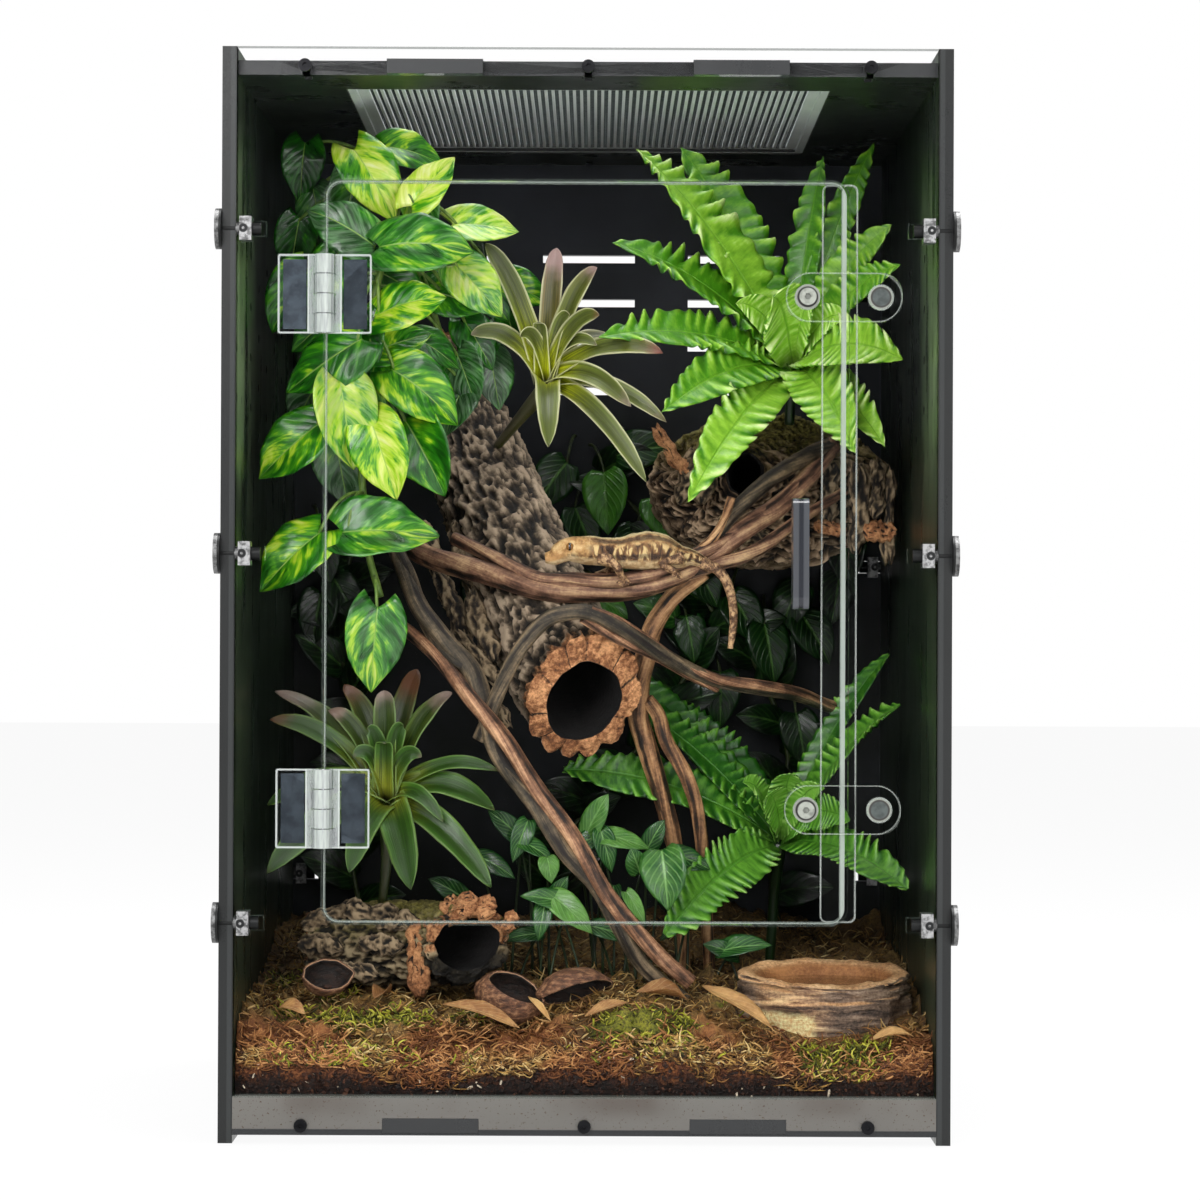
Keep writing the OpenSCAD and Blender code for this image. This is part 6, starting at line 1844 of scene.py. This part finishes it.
def frond_leaf(ripples, height, notch, seed, comb=False):
    """Shape of a wavy frond: ripples that grow from the midrib to the edge, which they scallop or comb."""
    if comb:
        stops = [0, 0.08, 0.2, 0.4, 0.6, 0.8, 0.93, 1]
        widths = [0.3, 0.6, 0.9, 1.0, 0.98, 0.82, 0.5, 0.12]
    else:
        stops = [0, 0.1, 0.25, 0.45, 0.65, 0.82, 0.94, 1]
        widths = [0.36, 0.62, 0.88, 1.0, 0.88, 0.6, 0.26, 0.01]

    def shape(x, y, z):
        wide = np.interp(y, stops, widths)
        out = np.abs(x) * 2
        wave = fern_wave(x, y, ripples, seed)
        swing = 0.65 + 0.35 * np.sin(y * 11 + seed * 3 + np.sign(x))
        lift = height * out ** 1.4 * wave * np.clip(wide * 1.3, 0, 1) * swing + 0.12 * out * wide
        tooth = np.clip(0.5 - 0.5 * wave, 0, 1) ** (0.8 if comb else 2.0)
        edge = 1 - notch * out ** 2 * tooth * swing
        return x * wide * edge, y + 0.01 * out * wave, z * (0.5 + 0.5 * wide) + lift
    return shape


def frond_finish(name, deep, mid, lime, pale):
    """Crisp wavy frond: crests lime and troughs deeper green as painted highlight and shade, a fine pale
    midrib.
    """
    f = Finish(name)
    across, along, tone, crest = f.points("across", "along", "tone", "mark")
    out = across.size()
    cloud = f.noise(0.008, 3, 0.6)
    fine = f.noise(1.0, 3, 0.65, vector=f.vector(along * 60, out * 4, tone * 23))
    # Painted highlight on the crests and painted shade in the troughs; a higher tone, which nearer fronds
    # get, pales them as painted light.
    amount = crest * 0.54 + cloud * 0.24 + fine * 0.26 + tone * 0.32 - 0.2
    colour = f.ramp(amount, (0.18, deep), (0.42, mid), (0.6, lime), (0.76, pale))
    rib = out.step(0.035, 0.01)
    colour = f.mix(colour, between(mid, lime), rib * 0.6)
    # Painted shade at the frond's base, in the fern's heart.
    colour = f.mix(colour, (14, 30, 6), along.step(0.2, 0.02) * 0.6)
    relief = f.bump(fine * 0.5 - rib, 0.0006, 0.6)
    return f.surface(colour, cloud * 0.12 + 0.32, relief, Coat_Weight=0.08, Coat_Roughness=0.25)


def rosette(bunch, heart, tips, spare, wide, lift, master, shapes, seed, sway, rows, spare_tone,
            near=0.0, tall=0.0, crest=None):
    """Leaves from one heart out to their tips, each arching; spare ones are young, small and of one tone.

    A tip's fourth number widens its leaf. near pales nearer leaves as painted light; tall raises higher ones'
    tone.
    """
    rng = np.random.default_rng(seed)
    heart = at(*heart)
    jitter = lambda: np.array([rng.uniform(-1, 1) for _ in range(3)])
    for k, (x, depth, z, *widen) in enumerate(tips + spare):
        young = k >= len(tips)
        scale = (0.72 if young else 1.0) * (widen[0] if widen else 1.0)
        end = at(x, depth, z)
        way = unit(end - heart)
        base = heart + way * 2.0 * MM + jitter() * MM
        path = bow(base, end, np.array([way[0] * -1.0, -2, lift]) * MM, rows)
        face = unit([-way[0] * 0.6 + rng.uniform(-0.15, 0.15), -1 + rng.uniform(-0.2, 0.2), 0.9])
        own = float(rng.uniform(0, 6))
        # Nearer leaves get a higher tone, as painted light.
        tone = rng.uniform(0.2, 0.7) + near * (116 - depth) / 60 + tall * ((z * MM - heart[2]) / 0.06 - 0.5)
        bunch.lay(master, path, wide * scale * rng.uniform(0.92, 1.1), face=face,
                  twist=(0, rng.uniform(-sway, sway)), shape=shapes(rng, own, young),
                  tone=spare_tone if young else np.clip(tone, 0, 1))
        if crest is not None:
            bunch.repaint(mark=crest(*bunch.values[-1].T[:2], own))


def crown(bunch, points, radii, tone):
    """The short stem under a rosette; its along of 0 paints it dark as shade in the rosette's heart."""
    bunch.lay(rod(12, 14), curve(places(points), 12), radii, tone=tone)
    bunch.repaint(along=0)


UPPER_STRAPS = (
    (-14, 112, 385), (4, 98, 375, 1.1), (5, 88, 353), (33, 84, 336, 1.15), (19, 78, 312, 1.1),
    (35, 92, 306, 0.9), (26, 78, 279, 1.05), (-17, 74, 294, 1.2), (-44, 122, 381, 1.0),
    (-52, 100, 345, 0.95), (-40, 130, 363, 0.8), (14, 120, 344, 0.9))
LOWER_STRAPS = (
    (-89, 84, 187, 1.1), (-59, 84, 186, 1.1), (-75, 104, 196), (-108, 104, 189), (-114, 92, 178, 0.8),
    (-139, 84, 174, 0.9), (-138, 96, 186, 1.1), (-38, 76, 152, 0.8), (-40, 74, 135, 1.25),
    (-75, 50, 102, 1.5), (-41, 66, 102, 1.2), (-138, 60, 108, 1.3), (-139, 74, 137, 1.1),
    (-102, 54, 109, 1.2))
UPPER_FRONDS = (
    (22, 120, 430, 1.3), (42, 142, 434, 1.35), (11, 108, 387), (5, 88, 343, 1.1), (33, 84, 310, 1.1),
    (44, 68, 270, 1.2), (107, 142, 430, 0.75), (130, 140, 436, 0.75), (136, 112, 396, 0.8),
    (138, 92, 376, 0.8), (137, 64, 332, 1.1), (117, 72, 292, 1.15), (131, 84, 295, 0.9))
LOWER_FRONDS = (
    (-10, 118, 151, 1.05), (3, 168, 200, 1.0), (34, 170, 179, 1.0), (138, 146, 203, 0.7),
    (140, 106, 181, 0.8), (141, 78, 101, 0.95), (35, 84, 80, 1.15), (6, 140, 187, 0.9), (117, 96, 130, 0.8))


# Each rosette: its heart, its leaves' tips, its young leaves' tips, its levels, its crown, its seed and its
# leaves' width. Then for a bromeliad: how much its tone rises with height; and for a fern: the height of its
# ripples, its notch, the number of its ripples and whether its edges are combed
BROMELIADS = {
    "upper": (
        (-19, 116, 324), UPPER_STRAPS,
        ((-22, 100, 350), (-8, 98, 354), (-30, 98, 344), (4, 94, 340), (-46, 104, 386, 1.5)),
        ((196, 204, 22), (116, 130, 50), (232, 230, 184), (118, 58, 48)),
        [(-19, 116, 322), (-30, 150, 312), (-46, 196, 296)], 51, 9.6, 0.5),
    "lower": (
        (-88, 90, 138), LOWER_STRAPS,
        ((-96, 80, 170), (-80, 78, 172), (-102, 78, 158), (-72, 76, 158), (-88, 72, 164), (-112, 74, 132),
         (-62, 70, 130)),
        ((140, 146, 36), (64, 108, 30), (116, 148, 74), (112, 68, 44)),
        [(-88, 90, 138), (-88, 92, 112), (-90, 92, 92)], 52, 11.0, 0.85),
}
FERNS = {
    "upper": (
        (93, 136, 334), UPPER_FRONDS,
        ((82, 96, 362, 2.0), (101, 102, 362, 1.1), (66, 106, 360, 0.9), (116, 104, 354, 0.9)),
        ((20, 66, 8), (70, 136, 18), (146, 198, 56), (216, 238, 160)),
        [(93, 136, 334), (92, 142, 308)], 61, 23.0, 0.17, 0.3, 13.0, False),
    "lower": (
        (88, 134, 118), LOWER_FRONDS,
        ((70, 110, 146, 0.8), (92, 112, 150, 1.0), (80, 102, 140, 0.9), (106, 100, 144, 0.7)),
        ((8, 44, 6), (36, 94, 18), (106, 168, 50), (160, 204, 104)),
        [(88, 134, 118), (86, 142, 96), (84, 146, 60)], 62, 23.0, 0.12, 0.4, 17.0, True),
}


class TERRARIUM_OT_bromeliads(bpy.types.Operator):
    """Plants the two bromeliads"""

    bl_idname = "terrarium.bromeliads"
    bl_label = "Bromeliads"

    def execute(self, context):
        master = blade(30, 12, 0.05)
        shapes = lambda rng, seed, young: strap_leaf(rng.uniform(0.35, 0.75), seed)
        for name, (heart, tips, spare, levels, stem, seed, wide, tall) in BROMELIADS.items():
            finish = bromeliad_finish(name + "_bromeliad_leaf", *levels)
            bunch = Bunch()
            rosette(bunch, heart, tips, spare, wide, 9, master, shapes, seed, 0.35, 33, 0.1, tall=tall)
            crown(bunch, stem, (4.0, 2.6, 1.8), 0.3)
            bunch.plant(name + "_bromeliad_leaves", finish, "bromeliad_leaf", name + "_bromeliad")
        return {"FINISHED"}


class TERRARIUM_OT_ferns(bpy.types.Operator):
    """Plants the two wavy-leaved ferns"""

    bl_idname = "terrarium.ferns"
    bl_label = "Ferns"

    def execute(self, context):
        for name, (heart, tips, spare, levels, stem, seed, wide, *form) in FERNS.items():
            height, notch, waves, comb = form
            master = blade(150 if comb else 104, 10, 0.035)

            def shapes(rng, seed, young):
                if young:
                    return frond_leaf(waves * 0.6, 0.07, 0.04, seed)
                return frond_leaf(waves, height, notch, seed, comb)
            crest = lambda across, along, seed: 0.5 + np.abs(across) * fern_wave(across, along, waves, seed)
            bunch = Bunch()
            rosette(bunch, heart, tips, spare, wide, 8, master, shapes, seed, 0.5, 60, 0.9, near=0.15,
                    crest=crest)
            crown(bunch, stem, (3.4, 2.4, 2.2), 0.2)
            finish = frond_finish(name + "_fern_frond", *levels)
            bunch.plant(name + "_fern_fronds", finish, "fern_leaf", name + "_fern")
        return {"FINISHED"}


# ---- Small plants ----

def small_leaf_finish(name, deep, mid, light, rib_levels, stripes):
    """Small glossy leaf: lighter along its midrib and side veins."""
    f = Finish(name)
    across, along, tone = f.points("across", "along", "tone")
    out = across.size()
    cloud = f.noise(0.006, 3, 0.6)
    # The tone is painted light: pale for lit leaves and dark for leaves in shade; veins show only on lit
    # ones.
    colour = f.ramp(cloud * 0.45 + tone * 0.55, (0.2, deep), (0.5, mid), (0.85, light))
    ribs = ((along - out) * 40).math("SINE").step(0.3, 1.0) * out.step(0.52, 0.3)
    lit = (tone + cloud * 0.5).step(0.1, 0.7)
    colour = f.mix(colour, rib_levels, ribs * lit * stripes)
    rib = out.step(0.05, 0.015)
    colour = f.mix(colour, rib_levels, rib * lit * 0.8)
    relief = f.bump(ribs * 0.6 - rib, 0.0006, 0.7)
    return f.surface(colour, cloud * 0.15 + 0.26, relief, Coat_Weight=0.2, Coat_Roughness=0.15)


# Each leaf near the ground: its middle (three numbers), the way its tip points in degrees, its length, its
# shade and its width
# The shade of each leaf is painted light: high on lit leaves and low on leaves in shade.
GROUND_LEAVES = (
    (5, 96, 132, 62, 22, 0.75, 0.5), (17, 96, 120, -15, 24, 0.85, 0.45), (1, 98, 120, -160, 20, 0.4, 0.5),
    (9, 96, 116, -75, 20, 0.5, 0.5), (-29, 98, 120, -110, 20, 0.45, 0.5),
    (-36, 102, 127, 140, 20, 0.25, 0.5), (-22, 96, 116, -30, 18, 0.5, 0.5),
    (-18, 84, 95, 170, 22, 0.55, 0.45), (-6, 82, 89, -42, 25, 0.95, 0.5), (-12, 88, 98, 60, 18, 0.4, 0.5),
    (-19, 84, 86, -100, 18, 0.5, 0.5), (35, 84, 104, -84, 27, 0.62, 0.78), (22, 90, 112, 110, 13, 0.6, 0.8),
    (31, 98, 123, 60, 16, 0.3, 0.6), (46, 100, 111, -20, 20, 0.3, 0.6), (22, 80, 92, -60, 17, 0.95, 0.4),
    (-16, 88, 108, -80, 12, 0.85, 0.8), (71, 96, 73, 8, 24, 0.45, 0.5), (60, 98, 72, 160, 18, 0.2, 0.5),
    (-62, 108, 98, 150, 20, 0.2, 0.5), (-40, 106, 108, -30, 20, 0.25, 0.5),
    (11, 96, 92, -100, 18, 0.2, 0.5), (2, 104, 103, -60, 18, 0.2, 0.5), (51, 104, 92, -60, 18, 0.15, 0.5),
    (12, 88, 80, -20, 20, 0.3, 0.5), (-28, 92, 78, 190, 18, 0.15, 0.5), (40, 96, 82, -140, 18, 0.15, 0.5))
# Each leaf on the wall, in the same way without a width
WALL_LEAVES = (
    (9, 276, 276, -86, 31, 0.85), (37, 276, 268, -62, 25, 0.8), (52, 270, 281, -98, 22, 0.95),
    (-19, 282, 284, -125, 30, 0.3), (28, 282, 302, 8, 28, 0.45), (13, 276, 224, -35, 17, 0.8),
    (33, 280, 223, 160, 22, 0.55), (51, 282, 209, -80, 24, 0.4), (78, 282, 219, -60, 28, 0.25),
    (100, 284, 224, -110, 28, 0.2), (90, 280, 202, -80, 30, 0.3), (113, 282, 209, -60, 28, 0.22),
    (123, 284, 229, -100, 26, 0.15), (66, 284, 179, -90, 28, 0.2), (-53, 284, 228, -80, 26, 0.1),
    (-33, 286, 223, -60, 26, 0.12), (-138, 284, 408, 100, 30, 0.1), (-130, 282, 248, -80, 26, 0.12),
    (-134, 282, 218, -100, 28, 0.1), (-120, 284, 228, -60, 26, 0.1), (128, 284, 249, -90, 28, 0.15),
    (106, 284, 159, -80, 28, 0.15), (-2, 283, 262, -70, 26, 0.2), (20, 283, 252, -110, 26, 0.25),
    (58, 283, 236, -60, 26, 0.25), (-60, 284, 396, -70, 28, 0.15), (-134, 280, 340, -90, 30, 0.12),
    (-138, 280, 312, -75, 30, 0.1), (-138, 270, 372, -80, 30, 0.15))
CREEPERS = (
    [(96, 290, 66), (90, 288, 110), (100, 288, 150), (84, 288, 196), (60, 288, 226), (34, 288, 262),
     (6, 288, 292)],
    [(-20, 290, 64), (-14, 288, 104), (14, 288, 140), (40, 288, 176), (62, 288, 214)],
    [(-110, 290, 64), (-118, 288, 110), (-112, 288, 160), (-124, 288, 210), (-116, 288, 260)])


class SmallLeaves:
    """The masters and the random numbers that the leaves on the ground and on the wall share."""

    def __init__(self):
        self.rng = np.random.default_rng(71)
        self.blade, self.thread = blade(18, 10, 0.02), rod(8, 6)

    def leaf(self, bunch, middle, way, long, wide, face, shade):
        """Lays one leaf and returns its base."""
        rng = self.rng
        base, tip = leaf_ends(middle, way, long)
        path = bow(base, tip, (0, -0.08 * long * MM, 0.05 * long * MM), 19)
        shape = heart_leaf(rng.uniform(0.15, 0.35), rng.uniform(-0.25, 0.1), 0.06, 0.015, shade * 7)
        bunch.lay(self.blade, path, long * wide, face=face, twist=(0, rng.uniform(-0.3, 0.3)), shape=shape,
                  tone=shade)
        return base

    def on_ground(self):
        """Leaves on thin stalks that rise from the moss."""
        rng = self.rng
        leaves, stems = Bunch(), Bunch()
        for x, depth, z, degrees, long, shade, wide in GROUND_LEAVES:
            way = unit(leaf_way(degrees, rng.uniform(-0.35, 0.1)))
            face = (rng.uniform(-0.35, 0.35), -1, rng.uniform(0.2, 0.9))
            base = self.leaf(leaves, at(x, depth, z), way, long, wide, face, shade)
            foot = on_moss(x * 0.94 + rng.uniform(-5, 5), depth + rng.uniform(6, 14), -3)
            stems.lay(self.thread, bow(foot, base, (0, 0.004, 0.004), 9), (0.7, 0.5))
        finish = small_leaf_finish("ground_leaf", (6, 30, 8), (24, 82, 26), (112, 168, 72), (130, 180, 100),
                                   0.4)
        leaves.plant("ground_leaves", finish, "small_leaf", "ground_foliage")
        # The stems' near-black levels are painted shade.
        stems.plant("ground_stems", stem_finish("ground_stem", (12, 24, 8), (40, 58, 24)), "small_leaf")

    def on_wall(self):
        """Creepers on the back panel, with leaves along them and single leaves on stalks of their own."""
        rng = self.rng
        leaves, stems = Bunch(), Bunch()
        for points in CREEPERS:
            line = curve(places(points), 46)
            stems.lay(rod(45, 7), line, 1.3)
            for k in range(3, 46, 3):
                turn = (35 if k % 2 else 150) + rng.uniform(-35, 35)
                way = unit(leaf_way(turn, -0.3))
                long = rng.uniform(24, 32)
                middle = self.kept_in(line[k] + way * long * 0.5 * MM, 6)
                face = (rng.uniform(-0.3, 0.3), -1, 0.3)
                # The creepers' leaves get low tones, as painted shade at the back.
                self.leaf(leaves, middle, way, long, 0.62, face, rng.uniform(0.0, 0.14))
        for *middle, degrees, long, shade in WALL_LEAVES:
            face = (rng.uniform(-0.25, 0.25), -1, 0.35)
            base = self.leaf(leaves, at(*middle), unit(leaf_way(degrees, 0.0)), long, 0.74, face, shade)
            behind = self.kept_in(base + np.array([rng.uniform(-8, 8), 12, 14]) * MM, 3)
            stems.lay(self.thread, bow(behind, base, (0, 0, 0.004), 9), (0.9, 0.7))
        finish = small_leaf_finish("wall_leaf", (3, 13, 4), (20, 68, 16), (92, 166, 46), (104, 156, 70), 0.22)
        leaves.plant("wall_leaves", finish, "small_leaf", "back_wall_foliage")
        stems.plant("wall_creepers", stem_finish("wall_creeper", (30, 40, 18), (70, 84, 36)), "small_leaf")

    def kept_in(self, place, gap):
        """The place, moved forward where it is nearer to the back panel than the gap."""
        place[1] = min(place[1], FRONT + (INSIDE["back"] - gap) * MM)
        return place


class TERRARIUM_OT_small_plants(bpy.types.Operator):
    """Plants the small leaves on the ground and the creepers on the back panel"""

    bl_idname = "terrarium.small_plants"
    bl_label = "Small Plants"

    def execute(self, context):
        plants = SmallLeaves()
        plants.on_ground()
        plants.on_wall()
        return {"FINISHED"}


# ---- Gecko ----

GECKO_SPINE = (
    (-18.3, 83, 245.4), (-14.5, 83, 245.8), (-11, 83, 248), (-7.5, 83, 249.2), (-1, 83, 248.8),
    (8, 83, 248.0), (15, 83.5, 247.6), (23, 84, 248.2), (31, 85, 248.4), (40, 87, 246.2), (46, 88.5, 246.0),
    (52, 90, 243.5))
GECKO_WIDE = (2.8, 5.0, 6.6, 7.4, 7.4, 5.6, 6.6, 8.0, 7.6, 5.6, 3.8, 2.6)
GECKO_HIGH = (2.4, 4.9, 6.2, 6.9, 6.6, 7.0, 8.4, 9.2, 8.2, 6.0, 3.8, 2.6)
GECKO_TAIL = (
    (50, 89.5, 244.6), (54, 90, 242.4), (58, 90, 240.6), (62, 90, 235), (64.4, 90.5, 226.5),
    (64.9, 91.5, 217), (63.6, 92.5, 206))
# The eyes: the middle between them, how far each stands out from it, and their radius
EYE_MIDDLE, EYE_APART, EYE_RADIUS = (-7.4, 83, 250.4), 5.9, 1.8
# Each limb: shoulder or hip, elbow or knee, foot, and the way its toes point
GECKO_LIMBS = (
    ((6, 78.5, 246), (13, 75.5, 242), (16, 79, 236.5), (0.1, -0.5, -0.8)),
    ((7, 88, 246), (12, 94, 241), (4, 94, 238), (-0.8, 0.3, -0.4)),
    ((41, 84, 246), (33, 78.5, 243), (39, 80, 239.5), (0.5, -0.5, -0.7)),
    ((42, 94, 245), (34, 99, 242), (40, 99, 241), (0.6, 0.5, -0.5)))


def gecko_finish():
    """Gecko skin: a cream stripe over a yellow head and back, and brown flanks with cream dashes."""
    f = Finish("gecko_skin")
    up, long, kind = f.points("mark", "along", "tone")
    scales = f.cells(0.0006)
    patch = f.noise(0.0036, 3, 0.6)
    bars = f.noise(1.0, 2, 0.6, 0.5, vector=f.vector(long * 26, up * 0.9, 0.0))
    flank = f.ramp(bars, (0.4, (58, 36, 22)), (0.49, (108, 74, 46)), (0.55, (150, 112, 68)),
                   (0.6, (226, 196, 138)))
    head = f.ramp(patch, (0.38, (158, 114, 66)), (0.5, (198, 152, 94)), (0.62, (226, 192, 136)))
    trunk = f.ramp(patch, (0.38, (120, 84, 48)), (0.5, (176, 134, 84)), (0.62, (216, 180, 124)))
    front = (long + patch * 0.05).step(0.36, 0.26)
    mouth = long.step(0.16, 0.06) * up.step(0.5, -0.1)
    head = f.mix(head, (202, 152, 96), mouth * 0.5)
    edge = up + (patch - 0.5) * 0.3
    colour = f.mix(flank, trunk, edge.step(0.3, 0.5))
    colour = f.mix(colour, head, front * edge.step(-0.6, -0.1).over((long - 0.1).step(0.1, 0.0)))
    under = (edge.step(0.5, 0.62) * edge.step(0.84, 0.72)) * long.step(0.24, 0.36)
    colour = f.mix(colour, (44, 28, 18), under * 0.75)
    stripe = up.step(0.84, 0.93) * long.step(0.2, 0.3)
    colour = f.mix(colour, (228, 210, 160), stripe * 0.9)
    low_line = edge.step(-0.42, -0.3) * edge.step(-0.06, -0.18) * long.step(0.3, 0.4)
    colour = f.mix(colour, (40, 26, 18), low_line * 0.6)
    belly = f.mix((186, 150, 104), (222, 194, 148), patch.step(0.4, 0.6))
    colour = f.mix(colour, belly, up.step(-0.4, -0.62))
    limb = f.ramp(f.noise(0.0024, 3, 0.65), (0.4, (84, 58, 40)), (0.5, (140, 104, 74)),
                  (0.6, (206, 168, 122)))
    colour = f.mix(colour, limb, kind.step(0.4, 0.6))
    shadow = f.axis("Z").step(0.2416, 0.2402) * kind.step(0.6, 0.4)
    colour = f.mix(colour, (46, 32, 22), shadow * 0.8)
    return f.surface(colour, 0.5, f.bump(scales * 0.7 + patch * 0.5, 0.0006, 1.0))


def eye_finish():
    """Wet amber eye with a dark slit pupil and fine veins."""
    f = Finish("gecko_eye")
    turn = f.point("across")
    veins = f.noise(0.0008, 3, 0.7)
    colour = f.ramp(veins, (0.3, (96, 58, 26)), (0.7, (178, 124, 62)))
    colour = f.mix(colour, (10, 8, 8), turn.size().step(0.34, 0.2))
    return f.surface(colour, 0.06, f.bump(veins, 0.0001, 0.3), Coat_Weight=0.6)


def gecko_trunk(x, y, z):
    """Shape of the head and body: crests, jowls and a flatter belly; it keeps how high each point lies."""
    angle = np.arctan2(z, x)
    top = np.sin(angle)
    crest = np.exp(-((angle - 0.75) / 0.22) ** 2) + np.exp(-((angle - np.pi + 0.75) / 0.22) ** 2)
    head = np.exp(-((y - 0.17) / 0.09) ** 2)
    jowl = np.exp(-((y - 0.25) / 0.06) ** 2) * np.exp(-((top + 0.15) / 0.5) ** 2)
    grain = rough(np.stack([np.cos(angle), np.sin(angle), y * 9], axis=1), 0.25, 3, 5) * 0.03
    push = 1 + 0.18 * crest * (head + 0.3) + 0.14 * jowl + grain - 0.16 * np.clip(top - 0.6, 0, 1) * head
    gecko_trunk.up = top
    return x * push, y, z * push * np.where(top < 0, 0.88, 1.0)


class TERRARIUM_OT_gecko(bpy.types.Operator):
    """Sets the gecko on the main branch"""

    bl_idname = "terrarium.gecko"
    bl_label = "Gecko"

    def execute(self, context):
        body = Bunch()
        skin = {"tone": 1.0, "mark": 0.2}
        body.lay(rod(88, 44), curve(places(GECKO_SPINE), 88), GECKO_WIDE, GECKO_HIGH, shape=gecko_trunk)
        body.repaint(mark=gecko_trunk.up)
        tail = curve(places(GECKO_TAIL), 46)
        body.lay(rod(45, 20), tail, (3.0, 2.4, 2.2, 2.0, 1.9, 1.7, 1.2), face=(0.3, 1, 0.2), **skin)
        limb, toe, pad = rod(14, 14), rod(7, 8), crumb(2)
        for *joints, way in GECKO_LIMBS:
            a, b, c = places(joints)
            path = curve([a, (a + b) / 2 + (0, 0, 0.0008), b, (b + c) / 2, c], 15)
            body.lay(limb, path, (3.4, 3.0, 2.2, 1.9, 2.0, 1.5, 1.7), face=(0.1, 1, 0.2), **skin)
            forward = unit(way)
            side = unit(np.cross(forward, (0, 0, 1)))
            for k in range(-2, 3):
                out = unit(forward * math.cos(k * 0.5) + side * math.sin(k * 0.5) + (0, 0, -0.12))
                end = c + out * ((3.6 - 0.35 * abs(k)) * MM)
                body.lay(toe, bow(c, end, (0, 0, 0.0006), 8), (0.75, 0.6, 0.55), **skin)
                body.add(pad[0] * np.array([0.95, 0.95, 0.5]) * MM + end, pad[1], along=0.5, **skin)
        body.plant("gecko_body", gecko_finish(), "gecko_skin", "gecko")
        self.eyes()
        return {"FINISHED"}

    def eyes(self):
        """Two balls set into the head."""
        eyes = Bunch()
        deselect()
        bpy.ops.mesh.primitive_uv_sphere_add(segments=28, ring_count=16, radius=1,
                                             rotation=(math.pi / 2, 0, 0))
        settle(bpy.context.object)
        ball, faces = take(bpy.context.object)
        x, depth, z = EYE_MIDDLE
        for side in (-1, 1):
            centre = at(x, depth + side * EYE_APART, z)
            eyes.add(ball * EYE_RADIUS * MM + centre, faces, across=ball[:, 0], along=ball[:, 2])
        eyes.plant("gecko_eyes", eye_finish(), "gecko_skin", outward=False)


# ---- Add-on ----

class TerrariumLook(bpy.types.PropertyGroup):
    """Sizes and colours of the finishes and the stage"""

    sheet_colour: FloatVectorProperty(
        name="Sheet colour", description="Colour of the black sheets", subtype="COLOR", size=3,
        default=rgb(20, 22, 22)[:3], min=0, max=1)
    vent_colour: FloatVectorProperty(
        name="Vent colour", description="Colour of the vent's paint", subtype="COLOR", size=3,
        default=rgb(216, 222, 222)[:3], min=0, max=1)
    door_corner: FloatProperty(
        name="Door corner", description="Radius of the door's corners", unit="LENGTH", default=0.0065)
    # The band is a painted grey reflection at the foot of the front sheet.
    reflection_band_top: FloatProperty(
        name="Clouded band", description="Height of the clouded band at the foot of the front sheet",
        unit="LENGTH", default=0.0194)
    floor_white: FloatProperty(
        name="Floor white", description="Share of the floor that shows plain white", subtype="FACTOR",
        default=0.93, min=0, max=1)
    world_level: FloatProperty(
        name="World level", description="Strength of the light from all round", default=0.3, min=0)
    key_power: FloatProperty(
        name="Key power", description="Power of the key light", unit="POWER", default=30)
    fill_power: FloatProperty(
        name="Fill power", description="Power of the fill light", unit="POWER", default=12)
    top_power: FloatProperty(
        name="Top power", description="Power of the light above the vent", unit="POWER", default=40)
    crumbs: IntProperty(
        name="Crumbs", description="Number of loose bits in the soil", default=3600, min=0)
    moss_strands: IntProperty(
        name="Moss strands", description="Number of moss strands near the front", default=6600, min=0)
    lens: FloatProperty(
        name="Lens", description="Focal length of the camera", default=107.61, min=10)


class TERRARIUM_OT_cabinet(bpy.types.Operator):
    """Finishes the sheets, door, hinges, latches, vent and fasteners"""

    bl_idname = "terrarium.cabinet"
    bl_label = "Cabinet Finishes"

    def execute(self, context):
        finish_cabinet(context.scene.terrarium_look)
        build_gauze()
        return {"FINISHED"}


class TERRARIUM_PT_panel(bpy.types.Panel):
    """Lists the terrarium's pieces"""

    bl_idname = "TERRARIUM_PT_panel"
    bl_label = "Terrarium"
    bl_space_type = "VIEW_3D"
    bl_region_type = "UI"
    bl_category = "Terrarium"

    def draw(self, context):
        for step in STEPS:
            self.layout.operator(step.bl_idname)
        look = context.scene.terrarium_look
        for key in TerrariumLook.__annotations__:
            self.layout.prop(look, key)


STEPS = (
    TERRARIUM_OT_stage, TERRARIUM_OT_cabinet, TERRARIUM_OT_ground, TERRARIUM_OT_litter, TERRARIUM_OT_dish,
    TERRARIUM_OT_cork, TERRARIUM_OT_branches, TERRARIUM_OT_vine, TERRARIUM_OT_bromeliads,
    TERRARIUM_OT_ferns, TERRARIUM_OT_small_plants, TERRARIUM_OT_gecko)
CLASSES = (TerrariumLook,) + STEPS + (TERRARIUM_PT_panel,)


def register():
    for cls in CLASSES:
        bpy.utils.register_class(cls)
    bpy.types.Scene.terrarium_look = PointerProperty(type=TerrariumLook)


def unregister():
    del bpy.types.Scene.terrarium_look
    for cls in reversed(CLASSES):
        bpy.utils.unregister_class(cls)


def main():
    register()
    for step in STEPS:
        group, name = step.bl_idname.split(".")
        getattr(getattr(bpy.ops, group), name)()


if __name__ == "__main__":
    main()
